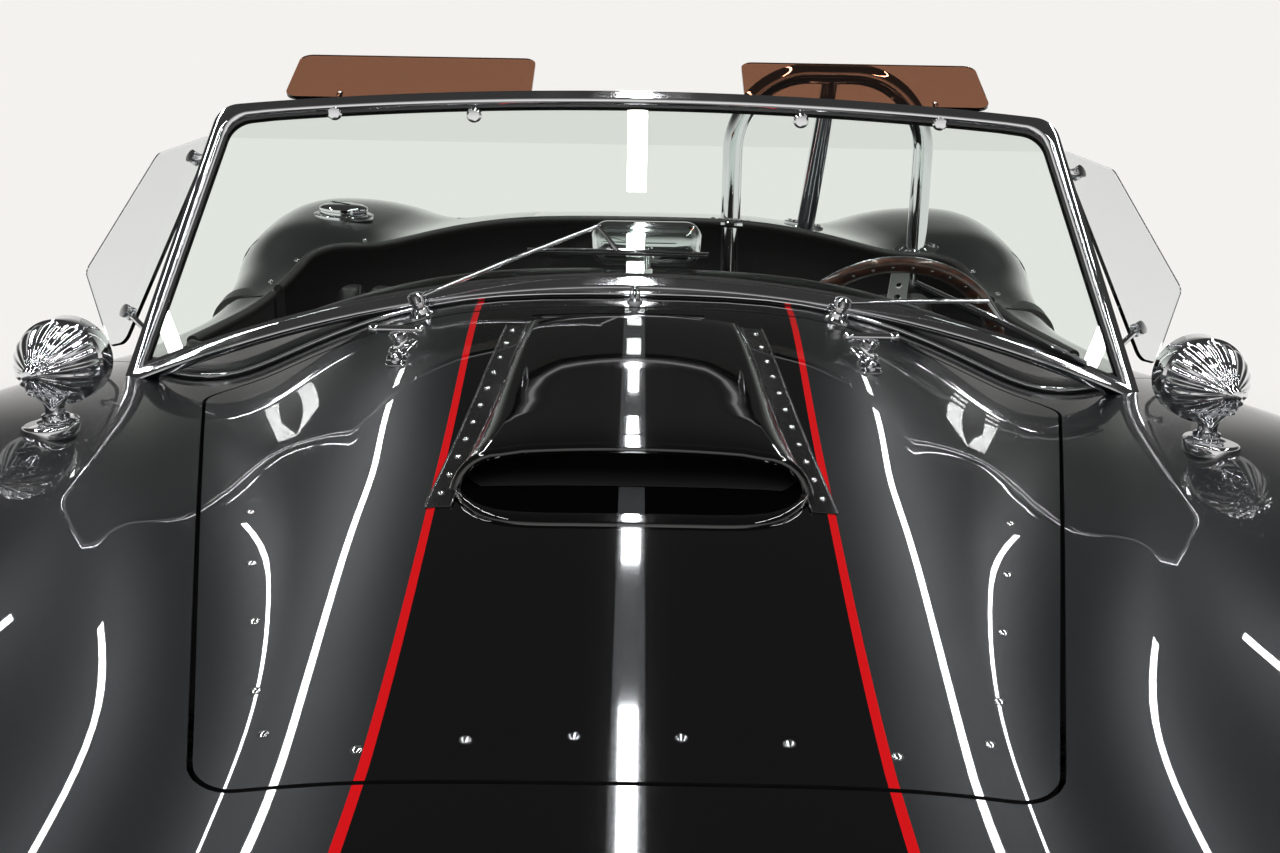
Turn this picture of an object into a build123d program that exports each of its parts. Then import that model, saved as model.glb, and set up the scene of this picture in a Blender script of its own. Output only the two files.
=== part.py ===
from build123d import *
import os
from math import atan2, cos, hypot, pi, radians, sin, tan

# Open two-seat sports car, left-hand drive, in millimetres.
# +Z is up, the car faces -Y, its driver sits on the +X side and X = 0 is its plane of symmetry.
# The origin is on the floor under the middle of the car.

# Running gear
overall_length = 3990.0
wheelbase = 2286.0
front_axle_y = -1250.0
rear_axle_y = front_axle_y + wheelbase
front_track = 1420.0
rear_track = 1440.0
front_tyre_d = 680.0
front_tyre_w = 226.0
rear_tyre_d = 704.0
rear_tyre_w = 276.0
tyre_shoulder = 24.0
tyre_crown_in = 26.0
tyre_bead_in = 22.0
tyre_flange_gap = 2.0
tyre_bead_d = 384.0
rim_flange_d = 412.0
rim_wall = 9.0
spoke_count = 6
rim_inset = 17.0
disc_inset = 46.0
hub_back = 10.0
spindle_d = 60.0
kingpin_x = 652.0
brake_disc_d = 292.0
brake_disc_t = 20.0
run_gap = 0.3

# Body skin and its shut lines
skin = 6.0
shut_gap = 6.0
seat_gap = 0.3
fillet_reach = 0.47
front_arch_r = 400.0
rear_arch_r = 392.0
front_house_x = 452.0
rear_house_x = 566.0
house_wall = 5.0
link_window = 172.0
link_window_rise = 186.0
floor_cut_half = 620.0
floor_cut_top = 330.0
floor_cut_front = -1780.0
floor_cut_rear = 1840.0

# Bonnet, doors, boot lid and cockpit opening
hood_front_y = -1268.0
hood_rear_y = -482.0
hood_front_half = 288.0
hood_rear_half = 492.0
hood_hinge_y = -1370.0
hood_hinge_z = 606.0
hood_corner_r = 46.0
door_front_y = -384.0
door_rear_y = 240.0
door_bottom_z = 306.0
door_inner_x = 640.0
door_pocket_x = 684.0
door_pocket_top = 690.0
door_corner_r = 60.0
door_hinge_x = 738.0
door_hinge_y = -368.0
door_hinge_r = 9.0
door_hinge_h = 34.0
DOOR_HINGES_Z = (420.0, 610.0)
lid_front_y = 1010.0
lid_rear_y = 1740.0
lid_front_half = 440.0
lid_rear_half = 350.0
lid_corner_r = 70.0
lid_hinge_y = 930.0
lid_hinge_z = 770.0
cockpit_front_y = -286.0
cockpit_rear_y = 580.0
cockpit_half = 640.0
cockpit_corner_r = 110.0

# Body sections from nose to tail: one row each, half the outline from the floor up to the centre.
SECTION_COLUMNS = (
    "y", "z_floor", "x_sill", "x_low", "z_low", "x_out", "z_out",
    "x_in", "z_in", "x_dip", "z_dip", "x_top", "z_top",
)
BODY_SECTIONS = (
    (-1948, 330, 330, 420, 365, 430, 500, 350, 545, 270, 553, 140, 558),
    (-1890, 285, 430, 590, 340, 600, 590, 470, 628, 350, 592, 180, 588),
    (-1790, 262, 520, 705, 340, 722, 715, 500, 722, 345, 622, 185, 618),
    (-1560, 235, 600, 795, 330, 805, 790, 535, 792, 320, 640, 185, 648),
    (-1250, 215, 690, 838, 340, 840, 806, 545, 804, 330, 655, 190, 676),
    (-816, 200, 690, 808, 330, 806, 796, 575, 798, 425, 705, 220, 772),
    (-440, 192, 690, 752, 330, 748, 768, 635, 770, 520, 742, 260, 868),
    (-200, 190, 690, 740, 330, 742, 742, 655, 750, 600, 760, 280, 875),
    (80, 190, 690, 740, 330, 742, 735, 650, 745, 600, 765, 280, 875),
    (430, 195, 690, 785, 340, 790, 778, 640, 782, 560, 785, 280, 870),
    (720, 205, 690, 848, 345, 850, 842, 615, 842, 515, 810, 270, 862),
    (1036, 225, 690, 872, 355, 872, 868, 600, 862, 480, 812, 260, 846),
    (1400, 255, 640, 838, 370, 836, 822, 575, 820, 450, 775, 250, 800),
    (1700, 290, 540, 740, 390, 740, 712, 520, 722, 410, 705, 230, 728),
    (1890, 345, 430, 590, 410, 596, 580, 450, 625, 350, 628, 200, 640),
    (1944, 400, 330, 440, 430, 442, 500, 360, 545, 280, 550, 150, 556),
)
SECTION_CORNERS = (
    ("x_sill", "z_floor"), ("x_low", "z_low"), ("x_out", "z_out"),
    ("x_in", "z_in"), ("x_dip", "z_dip"), ("x_top", "z_top"),
)

# Nose and tail
mouth_half = 262.0
mouth_low_z = 352.0
mouth_high_z = 528.0
mouth_corner_r = 78.0
grille_bar = 7.0
grille_bar_count = 15
grille_depth = 12.0
lamp_x = 556.0
lamp_z = 600.0
lamp_d = 178.0
lamp_bezel_w = 13.0
lamp_face_y = -1894.0
lamp_wall = 6.0
lamp_depth = 90.0
turn_lamp_x = 540.0
turn_lamp_z = 450.0
turn_lamp_d = 82.0
turn_lamp_reach = 34.0
tail_lamp_x = 470.0
tail_lamp_z = 545.0
tail_lamp_d = 86.0
tail_lamp_reach = 40.0
jack_x = 236.0
jack_tube = 38.0
jack_low_z = 372.0
jack_high_z = 566.0
jack_bend = 46.0

# Frame, tubs and engine
rail_x = 250.0
rail_d = 102.0
rail_z = 178.0
rail_front_y = -1650.0
rail_rear_y = 1600.0
cross_d = 76.0
pad_half = 24.0
CROSS_TUBES_Y = (-1610.0, -1250.0, -300.0, 640.0, 1036.0, 1560.0)
floor_t = 5.0
floor_z = rail_z + rail_d / 2 + floor_t
firewall_y = -452.0
bulkhead_y = 668.0
panel_t = 5.0
tunnel_half = 150.0
tunnel_top = 430.0
floor_half = 684.0
trunk_floor_z = 470.0
trunk_rear_y = 1790.0
engine_half = 255.0
engine_low_z = 250.0
engine_high_z = 610.0
engine_front_y = -1130.0
engine_rear_y = -500.0
radiator_half = 262.0
radiator_y = -1600.0
radiator_t = 60.0
radiator_low_z = 250.0
radiator_high_z = 560.0

# Windscreen: a flat pane in a bright frame, raked back
screen_y = -420.0
screen_z = 872.0
screen_rake = 27.0
screen_base_half = 628.0
screen_base_drop = 138.0
screen_top_half = 540.0
screen_top_corner = 240.0
screen_top_centre = 264.0
screen_bar = 19.0
screen_bar_t = 22.0
screen_corner_r = 48.0
glass_t = 6.0
wing_length = 200.0
wing_t = 5.0
wing_edge = 6.0
wing_splay = 22.0
visor_half_gap = 148.0
visor_w = 344.0
visor_chord = 118.0
visor_lift = 28.0
visor_t = 5.0
VISOR_CLIPS = (0.22, 0.78)
bracket_d = 12.0

# Cockpit
seat_x = 385.0
seat_w = 420.0
seat_front_y = 60.0
seat_back_y = 560.0
seat_cushion_h = 165.0
seat_back_h = 520.0
seat_back_t = 130.0
seat_recline = 18.0
wheel_x = 405.0
wheel_y = -20.0
wheel_z = 706.0
wheel_d = 372.0
wheel_rim_t = 26.0
wheel_tilt = 20.0
hub_d = 92.0
column_d = 44.0
column_l = 520.0
dash_y = -304.0
dash_t = 14.0
dash_low_z = 655.0
dash_half = 590.0
GAUGES = (
    # x, z, diameter
    (345.0, 716.0, 96.0),
    (462.0, 708.0, 96.0),
    (170.0, 770.0, 60.0),
    (90.0, 770.0, 60.0),
    (10.0, 770.0, 60.0),
    (-70.0, 770.0, 60.0),
)
gauge_reach = 9.0

# Roll hoop
hoop_x = 385.0
hoop_half = 192.0
hoop_y = 612.0
hoop_top_z = 1178.0
hoop_d = 40.0
hoop_bend = 150.0
hoop_foot_d = 96.0
hoop_foot_t = 8.0
brace_foot_y = 930.0
brace_foot_z = 800.0

# Fittings on the skin
latch_x = 268.0
latch_y = -560.0
latch_reach = 26.0
scoop_front_y = -946.0
scoop_rear_y = -500.0
scoop_front_half = 158.0
scoop_rear_half = 124.0
scoop_front_h = 62.0
scoop_rear_h = 14.0
scoop_wall = 3.0
scoop_flange = 16.0
mirror_x = 640.0
mirror_y = -620.0
mirror_head_d = 98.0
mirror_head_l = 112.0
mirror_post_h = 62.0
mirror_post_d = 20.0
mirror_foot_l = 84.0
mirror_foot_w = 46.0
filler_x = 640.0
filler_y = 800.0
filler_d = 104.0
filler_h = 26.0
exhaust_x = 742.0
exhaust_z = 222.0
exhaust_d = 96.0
exhaust_front_y = -760.0
exhaust_rear_y = 560.0
header_d = 46.0
HEADERS_Y = (-760.0, -705.0, -650.0, -595.0)
vent_y = -700.0
vent_l = 200.0
vent_low_z = 420.0
vent_high_z = 560.0
vent_blades = 5
vent_blade_t = 5.0


def section_edges(row, inset):
    """Corner points and corner radii of one closed section, drawn inside the skin by inset."""
    half = [(row[x], row[z]) for x, z in SECTION_CORNERS]
    ring = half + [(-x, z) for x, z in reversed(half)]
    count = len(ring)
    heading = []
    length = []
    for i in range(count):
        run_x = ring[(i + 1) % count][0] - ring[i][0]
        run_z = ring[(i + 1) % count][1] - ring[i][1]
        heading.append(atan2(run_z, run_x))
        length.append(hypot(run_x, run_z))
    points = []
    radii = []
    for i in range(count):
        turn = (heading[i] - heading[i - 1] + pi) % (2 * pi) - pi
        radius = fillet_reach * min(length[i], length[i - 1]) / tan(abs(turn) / 2)
        radii.append(radius - inset if turn > 0 else radius + inset)
        middle = heading[i - 1] + turn / 2 + pi / 2
        reach = inset / cos(turn / 2)
        points.append(Vector(ring[i][0] + reach * cos(middle), ring[i][1] + reach * sin(middle)))
    return points, radii


def section_sketch(row, inset, y):
    """One body section of lines and arcs, on the plane across the car at y."""
    points, radii = section_edges(row, inset)
    arcs = []
    for i, corner in enumerate(points):
        back = (points[i - 1] - corner).normalized()
        ahead = (points[(i + 1) % len(points)] - corner).normalized()
        turn = pi - radians(back.get_angle(ahead))
        reach = radii[i] * tan(turn / 2)
        middle = corner + (back + ahead).normalized() * radii[i] * (1 / cos(turn / 2) - 1)
        arcs.append((corner + back * reach, middle, corner + ahead * reach))
    with BuildSketch(Plane(origin=(0, y, 0), x_dir=(1, 0, 0), z_dir=(0, -1, 0))) as section:
        with BuildLine():
            for i, arc in enumerate(arcs):
                Line(arcs[i - 1][2], arc[0])
                ThreePointArc(*arc)
        make_face()
    return section.sketch


def body_solid(inset):
    """The whole body as one solid, drawn inside the skin by inset."""
    rows = [dict(zip(SECTION_COLUMNS, values)) for values in BODY_SECTIONS]
    sections = []
    for i, row in enumerate(rows):
        shift = inset if i == 0 else -inset if i == len(rows) - 1 else 0
        sections.append(section_sketch(row, inset, row["y"] + shift))
    with BuildPart() as solid:
        loft(sections=sections, ruled=True)
    return solid.part


def plan_prism(points, corner_r, low, high, inset=0.0):
    """Upright prism over a plan outline with round corners."""
    with BuildPart() as prism:
        with BuildSketch(Plane.XY.offset(low)):
            with BuildLine():
                Polyline(*points, close=True)
            make_face()
            fillet(vertices(), corner_r)
            if inset:
                offset(amount=-inset)
        extrude(amount=high - low)
    return prism.part


def side_prism(points, corner_r, x_low, x_high, inset=0.0):
    """Prism across the car over an outline of (y, z) points with round corners."""
    with BuildPart() as prism:
        with BuildSketch(Plane.YZ.offset(x_low)):
            with BuildLine():
                Polyline(*points, close=True)
            make_face()
            if corner_r:
                fillet(vertices(), corner_r)
            if inset:
                offset(amount=-inset)
        extrude(amount=x_high - x_low)
    return prism.part


def block(x, y, z):
    """Box between pairs of limits."""
    with BuildPart() as box:
        with BuildSketch(Plane.XY.offset(z[0])):
            with Locations(((x[0] + x[1]) / 2, (y[0] + y[1]) / 2)):
                Rectangle(x[1] - x[0], y[1] - y[0])
        extrude(amount=z[1] - z[0])
    return box.part


def rod(start, end, diameter, bore=0.0):
    """Straight round bar or tube between two points."""
    run = Vector(*end) - Vector(*start)
    with BuildPart() as bar:
        with BuildSketch(Plane(origin=start, z_dir=run)):
            Circle(diameter / 2)
            if bore:
                Circle(bore / 2, mode=Mode.SUBTRACT)
        extrude(amount=run.length)
    return bar.part


def bent_tube(points, bend, diameter):
    """Round bar along straight runs joined by arcs."""
    with BuildPart() as tube:
        with BuildLine() as route:
            FilletPolyline(*points, radius=bend)
        with BuildSketch(Plane(origin=route.line @ 0, z_dir=route.line % 0)):
            Circle(diameter / 2)
        sweep()
    return tube.part


def both_sides(solid):
    """The solid and its mirror image across the car's middle plane."""
    return [solid, solid.mirror(Plane.YZ)]


def skin_height(x, y):
    """Height of the body's upper skin near a plan place, read along its straight-sided sections."""
    rows = [dict(zip(SECTION_COLUMNS, values)) for values in BODY_SECTIONS]
    heights = []
    for row in rows:
        corners = [(0, row["z_top"])] + [(row[a], row[b]) for a, b in reversed(SECTION_CORNERS[2:])]
        height = corners[-1][1]
        for (x0, z0), (x1, z1) in zip(corners, corners[1:]):
            if x0 <= abs(x) <= x1:
                height = z0 + (z1 - z0) * (abs(x) - x0) / (x1 - x0)
        heights.append(height)
    for i in range(len(rows) - 1):
        y0, y1 = rows[i]["y"], rows[i + 1]["y"]
        if y0 <= y <= y1:
            return heights[i] + (heights[i + 1] - heights[i]) * (y - y0) / (y1 - y0)
    return heights[-1]


def finish(piece, name):
    """Name one piece and write it."""
    piece.label = name
    export_step(piece, "parts/" + name + ".step")


os.makedirs("parts", exist_ok=True)

# Master surfaces
outer = body_solid(0.0)
inner = body_solid(skin)
shell = outer - inner

nose_y = BODY_SECTIONS[0][0]
tail_y = BODY_SECTIONS[-1][0]
above = 1100.0
beyond = 1000.0

# Outlines of the openings
hood_outline = [
    (-hood_front_half, hood_front_y), (hood_front_half, hood_front_y),
    (hood_rear_half, hood_rear_y), (-hood_rear_half, hood_rear_y),
]
lid_outline = [
    (-lid_front_half, lid_front_y), (lid_front_half, lid_front_y),
    (lid_rear_half, lid_rear_y), (-lid_rear_half, lid_rear_y),
]
cockpit_outline = [
    (-cockpit_half, cockpit_front_y), (cockpit_half, cockpit_front_y),
    (cockpit_half, cockpit_rear_y), (-cockpit_half, cockpit_rear_y),
]
door_outline = [
    (door_front_y, door_bottom_z), (door_rear_y, door_bottom_z),
    (door_rear_y, above), (door_front_y, above),
]
hood_low = 560.0
lid_low = 600.0
hood_prism = plan_prism(hood_outline, hood_corner_r, hood_low, above)
lid_prism = plan_prism(lid_outline, lid_corner_r, lid_low, above)
cockpit_prism = plan_prism(cockpit_outline, cockpit_corner_r, lid_low, above)
door_prism = side_prism(door_outline, door_corner_r, cockpit_half - skin, beyond)

# Lamp tunnels through the skin
lamp_hole = rod((lamp_x, nose_y - 50, lamp_z), (lamp_x, lamp_face_y + lamp_depth + 60, lamp_z), lamp_d + 2 * seat_gap)
lamp_clear = rod((lamp_x, nose_y - 50, lamp_z), (lamp_x, lamp_face_y, lamp_z), lamp_d + 2 * lamp_bezel_w + 2 * seat_gap)
lamp_collar = rod((lamp_x, lamp_face_y, lamp_z), (lamp_x, lamp_face_y + lamp_depth + 60, lamp_z), lamp_d + 2 * lamp_wall)
turn_hole = rod((turn_lamp_x, nose_y - 50, turn_lamp_z), (turn_lamp_x, floor_cut_front, turn_lamp_z), turn_lamp_d)
tail_hole = rod((tail_lamp_x, trunk_rear_y, tail_lamp_z), (tail_lamp_x, tail_y + 50, tail_lamp_z), tail_lamp_d)
mouth_outline = [
    (-mouth_half, mouth_low_z), (mouth_half, mouth_low_z),
    (mouth_half, mouth_high_z), (-mouth_half, mouth_high_z),
]
with BuildPart() as mouth_hole:
    with BuildSketch(Plane(origin=(0, nose_y - 20, 0), x_dir=(1, 0, 0), z_dir=(0, -1, 0))):
        with BuildLine():
            Polyline(*mouth_outline, close=True)
        make_face()
        fillet(vertices(), mouth_corner_r)
    extrude(amount=-60)

# Wheel arches and the wells behind them
ARCHES = (
    # axle y, axle z, arch radius, inner wall x
    (front_axle_y, front_tyre_d / 2, front_arch_r, front_house_x),
    (rear_axle_y, rear_tyre_d / 2, rear_arch_r, rear_house_x),
)
arch_cuts = []
well_clear = []
wells = []
for axle_y, axle_z, arch_r, wall_x in ARCHES:
    clear_x = wall_x - house_wall - seat_gap
    clear_d = 2 * (arch_r + house_wall + seat_gap)
    well_clear += both_sides(rod((clear_x, axle_y, axle_z), (beyond, axle_y, axle_z), clear_d))
    arch_cuts += both_sides(rod((wall_x, axle_y, axle_z), (beyond, axle_y, axle_z), 2 * arch_r))
    drum = rod((wall_x - house_wall, axle_y, axle_z), (beyond, axle_y, axle_z), 2 * (arch_r + house_wall))
    drum = drum - rod((wall_x, axle_y, axle_z), (beyond, axle_y, axle_z), 2 * arch_r)
    drum = drum & inner
    drum = drum - block((0, beyond), (axle_y - 500, axle_y + 500), (0, axle_z - 60))
    drum = drum - block(
        (wall_x - 2 * house_wall, wall_x + house_wall), (axle_y - link_window, axle_y + link_window),
        (0, axle_z + link_window_rise),
    )
    wells += both_sides(drum)

# Quick-jack bars, front and rear
front_bar_y = -overall_length / 2 + jack_tube / 2
rear_bar_y = overall_length / 2 - jack_tube / 2
jacks = []
for bar_y, root_y in ((front_bar_y, nose_y + 60), (rear_bar_y, tail_y - 60)):
    points = [
        (jack_x, root_y, jack_low_z), (jack_x, bar_y, jack_low_z),
        (jack_x, bar_y, jack_high_z), (jack_x, root_y, jack_high_z),
    ]
    jacks += both_sides(bent_tube(points, jack_bend, jack_tube))

# Roll hoop: legs stand on the floor behind the seat, with a brace to the deck
hoop_points = [
    (hoop_x - hoop_half, hoop_y, floor_z), (hoop_x - hoop_half, hoop_y, hoop_top_z - hoop_d / 2),
    (hoop_x + hoop_half, hoop_y, hoop_top_z - hoop_d / 2), (hoop_x + hoop_half, hoop_y, floor_z),
]
hoop_tube = bent_tube(hoop_points, hoop_bend, hoop_d)
brace_top = (hoop_x, hoop_y, hoop_top_z - hoop_d / 2)
brace_end = (hoop_x, brace_foot_y, brace_foot_z)
brace_tube = rod(brace_top, brace_end, hoop_d)

# Side pipes with their headers
pipe = bent_tube(
    [
        (exhaust_x, exhaust_front_y, exhaust_z), (exhaust_x, exhaust_rear_y - 90, exhaust_z),
        (exhaust_x + 60, exhaust_rear_y, exhaust_z),
    ],
    110.0, exhaust_d,
)
headers = []
for header_y in HEADERS_Y:
    headers.append(bent_tube(
        [
            (engine_half, header_y - 40, exhaust_z + 150), (exhaust_x - 130, header_y - 40, exhaust_z + 150),
            (exhaust_x - 20, header_y, exhaust_z + 150),
            (exhaust_x + 10, header_y + 70, exhaust_z + 14),
        ],
        52.0, header_d,
    ))
pipe_right = pipe.fuse(*headers)

# Side vents
vent_window = side_prism(
    [
        (vent_y - vent_l / 2, vent_low_z), (vent_y + vent_l / 2, vent_low_z),
        (vent_y + vent_l / 2, vent_high_z), (vent_y - vent_l / 2, vent_high_z),
    ],
    18.0, door_inner_x, beyond,
)

# Body shell
floor_cut = block((-floor_cut_half, floor_cut_half), (floor_cut_front, floor_cut_rear), (0, floor_cut_top))
nacelles = [piece - inner for piece in both_sides(lamp_collar)]
header_window = side_prism(
    [
        (HEADERS_Y[0] - 44, exhaust_z), (HEADERS_Y[-1] + 100, exhaust_z),
        (HEADERS_Y[-1] + 100, exhaust_z + 180), (HEADERS_Y[0] - 44, exhaust_z + 180),
    ],
    20.0, door_inner_x, beyond,
)
pipe_notch = side_prism(
    [
        (exhaust_front_y - 30, 0), (exhaust_rear_y + 60, 0),
        (exhaust_rear_y + 60, exhaust_z + exhaust_d / 2 + 14), (exhaust_front_y - 30, exhaust_z + exhaust_d / 2 + 14),
    ],
    0.0, exhaust_x - exhaust_d / 2 - 14, beyond,
)
cuts = arch_cuts + jacks + [
    hood_prism, lid_prism, cockpit_prism, floor_cut, mouth_hole.part, hoop_tube, brace_tube,
]
for solid in (door_prism, lamp_hole, lamp_clear, turn_hole, tail_hole, vent_window, header_window, pipe_notch):
    cuts += both_sides(solid)
with BuildPart() as body_shell:
    add(shell)
    add(nacelles)
    add(cuts, mode=Mode.SUBTRACT)
finish(body_shell.part, "body_shell")

# Opening panels
hood_skin = shell & plan_prism(hood_outline, hood_corner_r, hood_low, above, shut_gap)
lid_skin = shell & plan_prism(lid_outline, lid_corner_r, lid_low, above, shut_gap)


hood_arm_x = 190.0
lid_arm_x = 300.0
hinge_pin_d = 12.0
hinge_eye_d = 30.0
arm_w = 14.0
arm_h = 22.0


def hinge_arm(x, hinge_y, hinge_z, gap_y, dip, reach):
    """Goose-neck arm from a hinge pin, under the body's edge and up to the panel behind it."""
    points = [
        (x, hinge_y, hinge_z), (x, hinge_y + 50, hinge_z - dip), (x, gap_y + 46, hinge_z - dip),
        (x, gap_y + reach, hinge_z), (x, gap_y + reach, above - 200),
    ]
    with BuildPart() as arm:
        with BuildLine() as route:
            FilletPolyline(*points, radius=20)
        with BuildSketch(Plane(origin=route.line @ 0, x_dir=(1, 0, 0), z_dir=route.line % 0)):
            Rectangle(arm_w, arm_h)
        sweep()
    eye_low = (x - arm_w / 2, hinge_y, hinge_z)
    eye_high = (x + arm_w / 2, hinge_y, hinge_z)
    solid = (arm.part & inner) + rod(eye_low, eye_high, hinge_eye_d)
    return solid - rod(eye_low, eye_high, hinge_pin_d + 2 * seat_gap)


with BuildPart() as hood_panel:
    add(hood_skin)
    for piece in both_sides(hinge_arm(hood_arm_x, hood_hinge_y, hood_hinge_z, hood_front_y, 46.0, 90.0)):
        add(piece)
finish(hood_panel.part, "hood_panel")

with BuildPart() as trunk_lid:
    add(lid_skin)
    for piece in both_sides(hinge_arm(lid_arm_x, lid_hinge_y, lid_hinge_z, lid_front_y, 60.0, 80.0)):
        add(piece)
finish(trunk_lid.part, "trunk_lid")

door_cut = side_prism(door_outline, door_corner_r, door_inner_x, beyond, shut_gap)
door_pocket = block((0, door_pocket_x), (door_front_y, door_rear_y), (0, door_pocket_top))
door_swing_r = door_rear_y - shut_gap - door_hinge_y
door_swing = rod((door_hinge_x, door_hinge_y, 0), (door_hinge_x, door_hinge_y, above), 2 * door_swing_r)
door_body = ((outer & door_cut) - door_pocket) & door_swing
for z in DOOR_HINGES_Z:
    notch_r = door_hinge_r + seat_gap
    span = (z - door_hinge_h / 2 - seat_gap, z + door_hinge_h / 2 + seat_gap)
    door_body = door_body - block((door_hinge_x - notch_r, beyond), (door_front_y, door_hinge_y), span)
    door_body = door_body - rod((door_hinge_x, door_hinge_y, span[0]), (door_hinge_x, door_hinge_y, span[1]), 2 * notch_r)
finish(door_body, "door_driver")
finish(door_body.mirror(Plane.YZ), "door_passenger")

# Bonnet scoop, riveted down over the bonnet
def scoop_loft(inset, front_y, rear_y):
    """Body of the scoop as a tapering box with rounded shoulders, sunk below the bonnet."""
    sections = []
    for y, half, rise in ((front_y, scoop_front_half, scoop_front_h), (rear_y, scoop_rear_half, scoop_rear_h)):
        top = skin_height(0, y) + rise - inset
        with BuildSketch(Plane(origin=(0, y, 0), x_dir=(1, 0, 0), z_dir=(0, -1, 0))) as outline:
            with BuildLine():
                FilletPolyline(
                    (-half + inset, top - 160), (-half + inset, top - 8), (0, top + 8),
                    (half - inset, top - 8), (half - inset, top - 160), radius=24 - inset,
                    close=False,
                )
                Line((-half + inset, top - 160), (half - inset, top - 160))
            make_face()
        sections.append(outline.sketch)
    with BuildPart() as solid:
        loft(sections=sections)
    return solid.part


scoop_plan = [
    (-scoop_front_half - scoop_flange, scoop_front_y), (scoop_front_half + scoop_flange, scoop_front_y),
    (scoop_rear_half + scoop_flange, scoop_rear_y), (-scoop_rear_half - scoop_flange, scoop_rear_y),
]
scoop_outer = scoop_loft(0.0, scoop_front_y, scoop_rear_y)
scoop_inner = scoop_loft(scoop_wall, scoop_front_y - 1, scoop_rear_y - scoop_wall)
lifted = outer.moved(Location((0, 0, scoop_wall)))
scoop_base = lifted & plan_prism(scoop_plan, 6.0, hood_low, above)
hood_scoop = (scoop_outer + scoop_base) - scoop_inner - outer
finish(hood_scoop, "hood_scoop")

# Bonnet latches: T handles on round bases
latch_z = skin_height(latch_x, latch_y)
latch = rod((latch_x, latch_y, latch_z - 40), (latch_x, latch_y, latch_z + 10), 34.0)
latch = latch + rod((latch_x, latch_y, latch_z), (latch_x, latch_y, latch_z + latch_reach), 12.0)
latch = latch + rod((latch_x - 34, latch_y, latch_z + latch_reach), (latch_x + 34, latch_y, latch_z + latch_reach), 11.0)
latch = latch - outer
with BuildPart() as hood_latches:
    for piece in both_sides(latch):
        add(piece)
finish(hood_latches.part, "hood_latches")

# Wheel wells
with BuildPart() as wheel_wells:
    for piece in wells:
        add(piece)
finish(wheel_wells.part, "wheel_wells")

# Pads that carry the engine and the radiator on the rails
MOUNT_PADS = (
    # y, height of what stands on the pad
    (engine_front_y + 120, engine_low_z),
    (engine_rear_y - 120, engine_low_z),
    (radiator_y + radiator_t / 2, radiator_low_z),
)

# Frame: round side rails and cross tubes, with hinge brackets for the bonnet
with BuildPart() as frame_rails:
    for x in (-rail_x, rail_x):
        add(rod((x, rail_front_y, rail_z), (x, rail_rear_y, rail_z), rail_d))
    for y in CROSS_TUBES_Y:
        add(rod((-rail_x, y, rail_z), (rail_x, y, rail_z), cross_d))
    for y, top in MOUNT_PADS:
        for x in (-rail_x, rail_x):
            add(block((x - pad_half, x + pad_half), (y - pad_half, y + pad_half), (rail_z, top - seat_gap)))
finish(frame_rails.part, "frame_rails")

# Cockpit tub: floor, tunnel, firewall and rear bulkhead
tub_span = (firewall_y, bulkhead_y)
tub_parts = [
    block((-floor_half, floor_half), tub_span, (floor_z - floor_t, floor_z)),
    block((-tunnel_half, tunnel_half), tub_span, (tunnel_top - panel_t, tunnel_top)),
    block((-tunnel_half, -tunnel_half + panel_t), tub_span, (floor_z, tunnel_top)),
    block((tunnel_half - panel_t, tunnel_half), tub_span, (floor_z, tunnel_top)),
]
for wall_y in (firewall_y, bulkhead_y - panel_t):
    tub_parts.append(inner & block((-beyond, beyond), (wall_y, wall_y + panel_t), (floor_z - floor_t, above)))
with BuildPart() as cockpit_tub:
    add(tub_parts)
    add(well_clear + both_sides(pipe_notch), mode=Mode.SUBTRACT)
finish(cockpit_tub.part, "cockpit_tub")

# Door posts inside the skin, before and behind each door
front_post = inner & block((cockpit_half, beyond), (door_front_y - 60, door_front_y - skin), (floor_z, above))
rear_post = inner & block((cockpit_half, beyond), (door_rear_y + skin, door_rear_y + 60), (floor_z, above))
sill_box = inner & block((cockpit_half, beyond), (door_front_y - skin, door_rear_y + skin), (floor_z, door_bottom_z - skin))
door_barrels = []
for z in DOOR_HINGES_Z:
    span = (z - door_hinge_h / 2, z + door_hinge_h / 2)
    barrel = rod((door_hinge_x, door_hinge_y, span[0]), (door_hinge_x, door_hinge_y, span[1]), 2 * door_hinge_r)
    leaf = block((door_hinge_x - door_hinge_r, door_hinge_x), (door_front_y - skin, door_hinge_y), span)
    door_barrels.append(barrel + leaf)
hangers = []
for arm_x, pin_y, pin_z in ((hood_arm_x, hood_hinge_y, hood_hinge_z), (lid_arm_x, lid_hinge_y, lid_hinge_z)):
    side_x = arm_x + arm_w / 2 + seat_gap
    hanger = block((side_x, side_x + arm_w), (pin_y - hinge_eye_d / 2, pin_y + hinge_eye_d / 2), (pin_z - hinge_eye_d / 2, above)) & inner
    hangers.append(hanger + rod((arm_x - arm_w / 2, pin_y, pin_z), (side_x + 1, pin_y, pin_z), hinge_pin_d))
with BuildPart() as door_posts:
    for solid in [front_post, rear_post, sill_box] + door_barrels + hangers:
        for piece in both_sides(solid):
            add(piece)
    for piece in both_sides(pipe_notch):
        add(piece, mode=Mode.SUBTRACT)
finish(door_posts.part, "door_posts")

# Trunk tub between the rear wheel wells
trunk_side = rear_house_x - house_wall - seat_gap
trunk_box = [
    block((-trunk_side, trunk_side), (bulkhead_y, trunk_rear_y), (trunk_floor_z - panel_t, trunk_floor_z)),
    block((-trunk_side, trunk_side), (trunk_rear_y - panel_t, trunk_rear_y), (trunk_floor_z - panel_t, 600)),
]
with BuildPart() as trunk_tub:
    for piece in trunk_box:
        add(piece)
    add(inner, mode=Mode.INTERSECT)
finish(trunk_tub.part, "trunk_tub")

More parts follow.
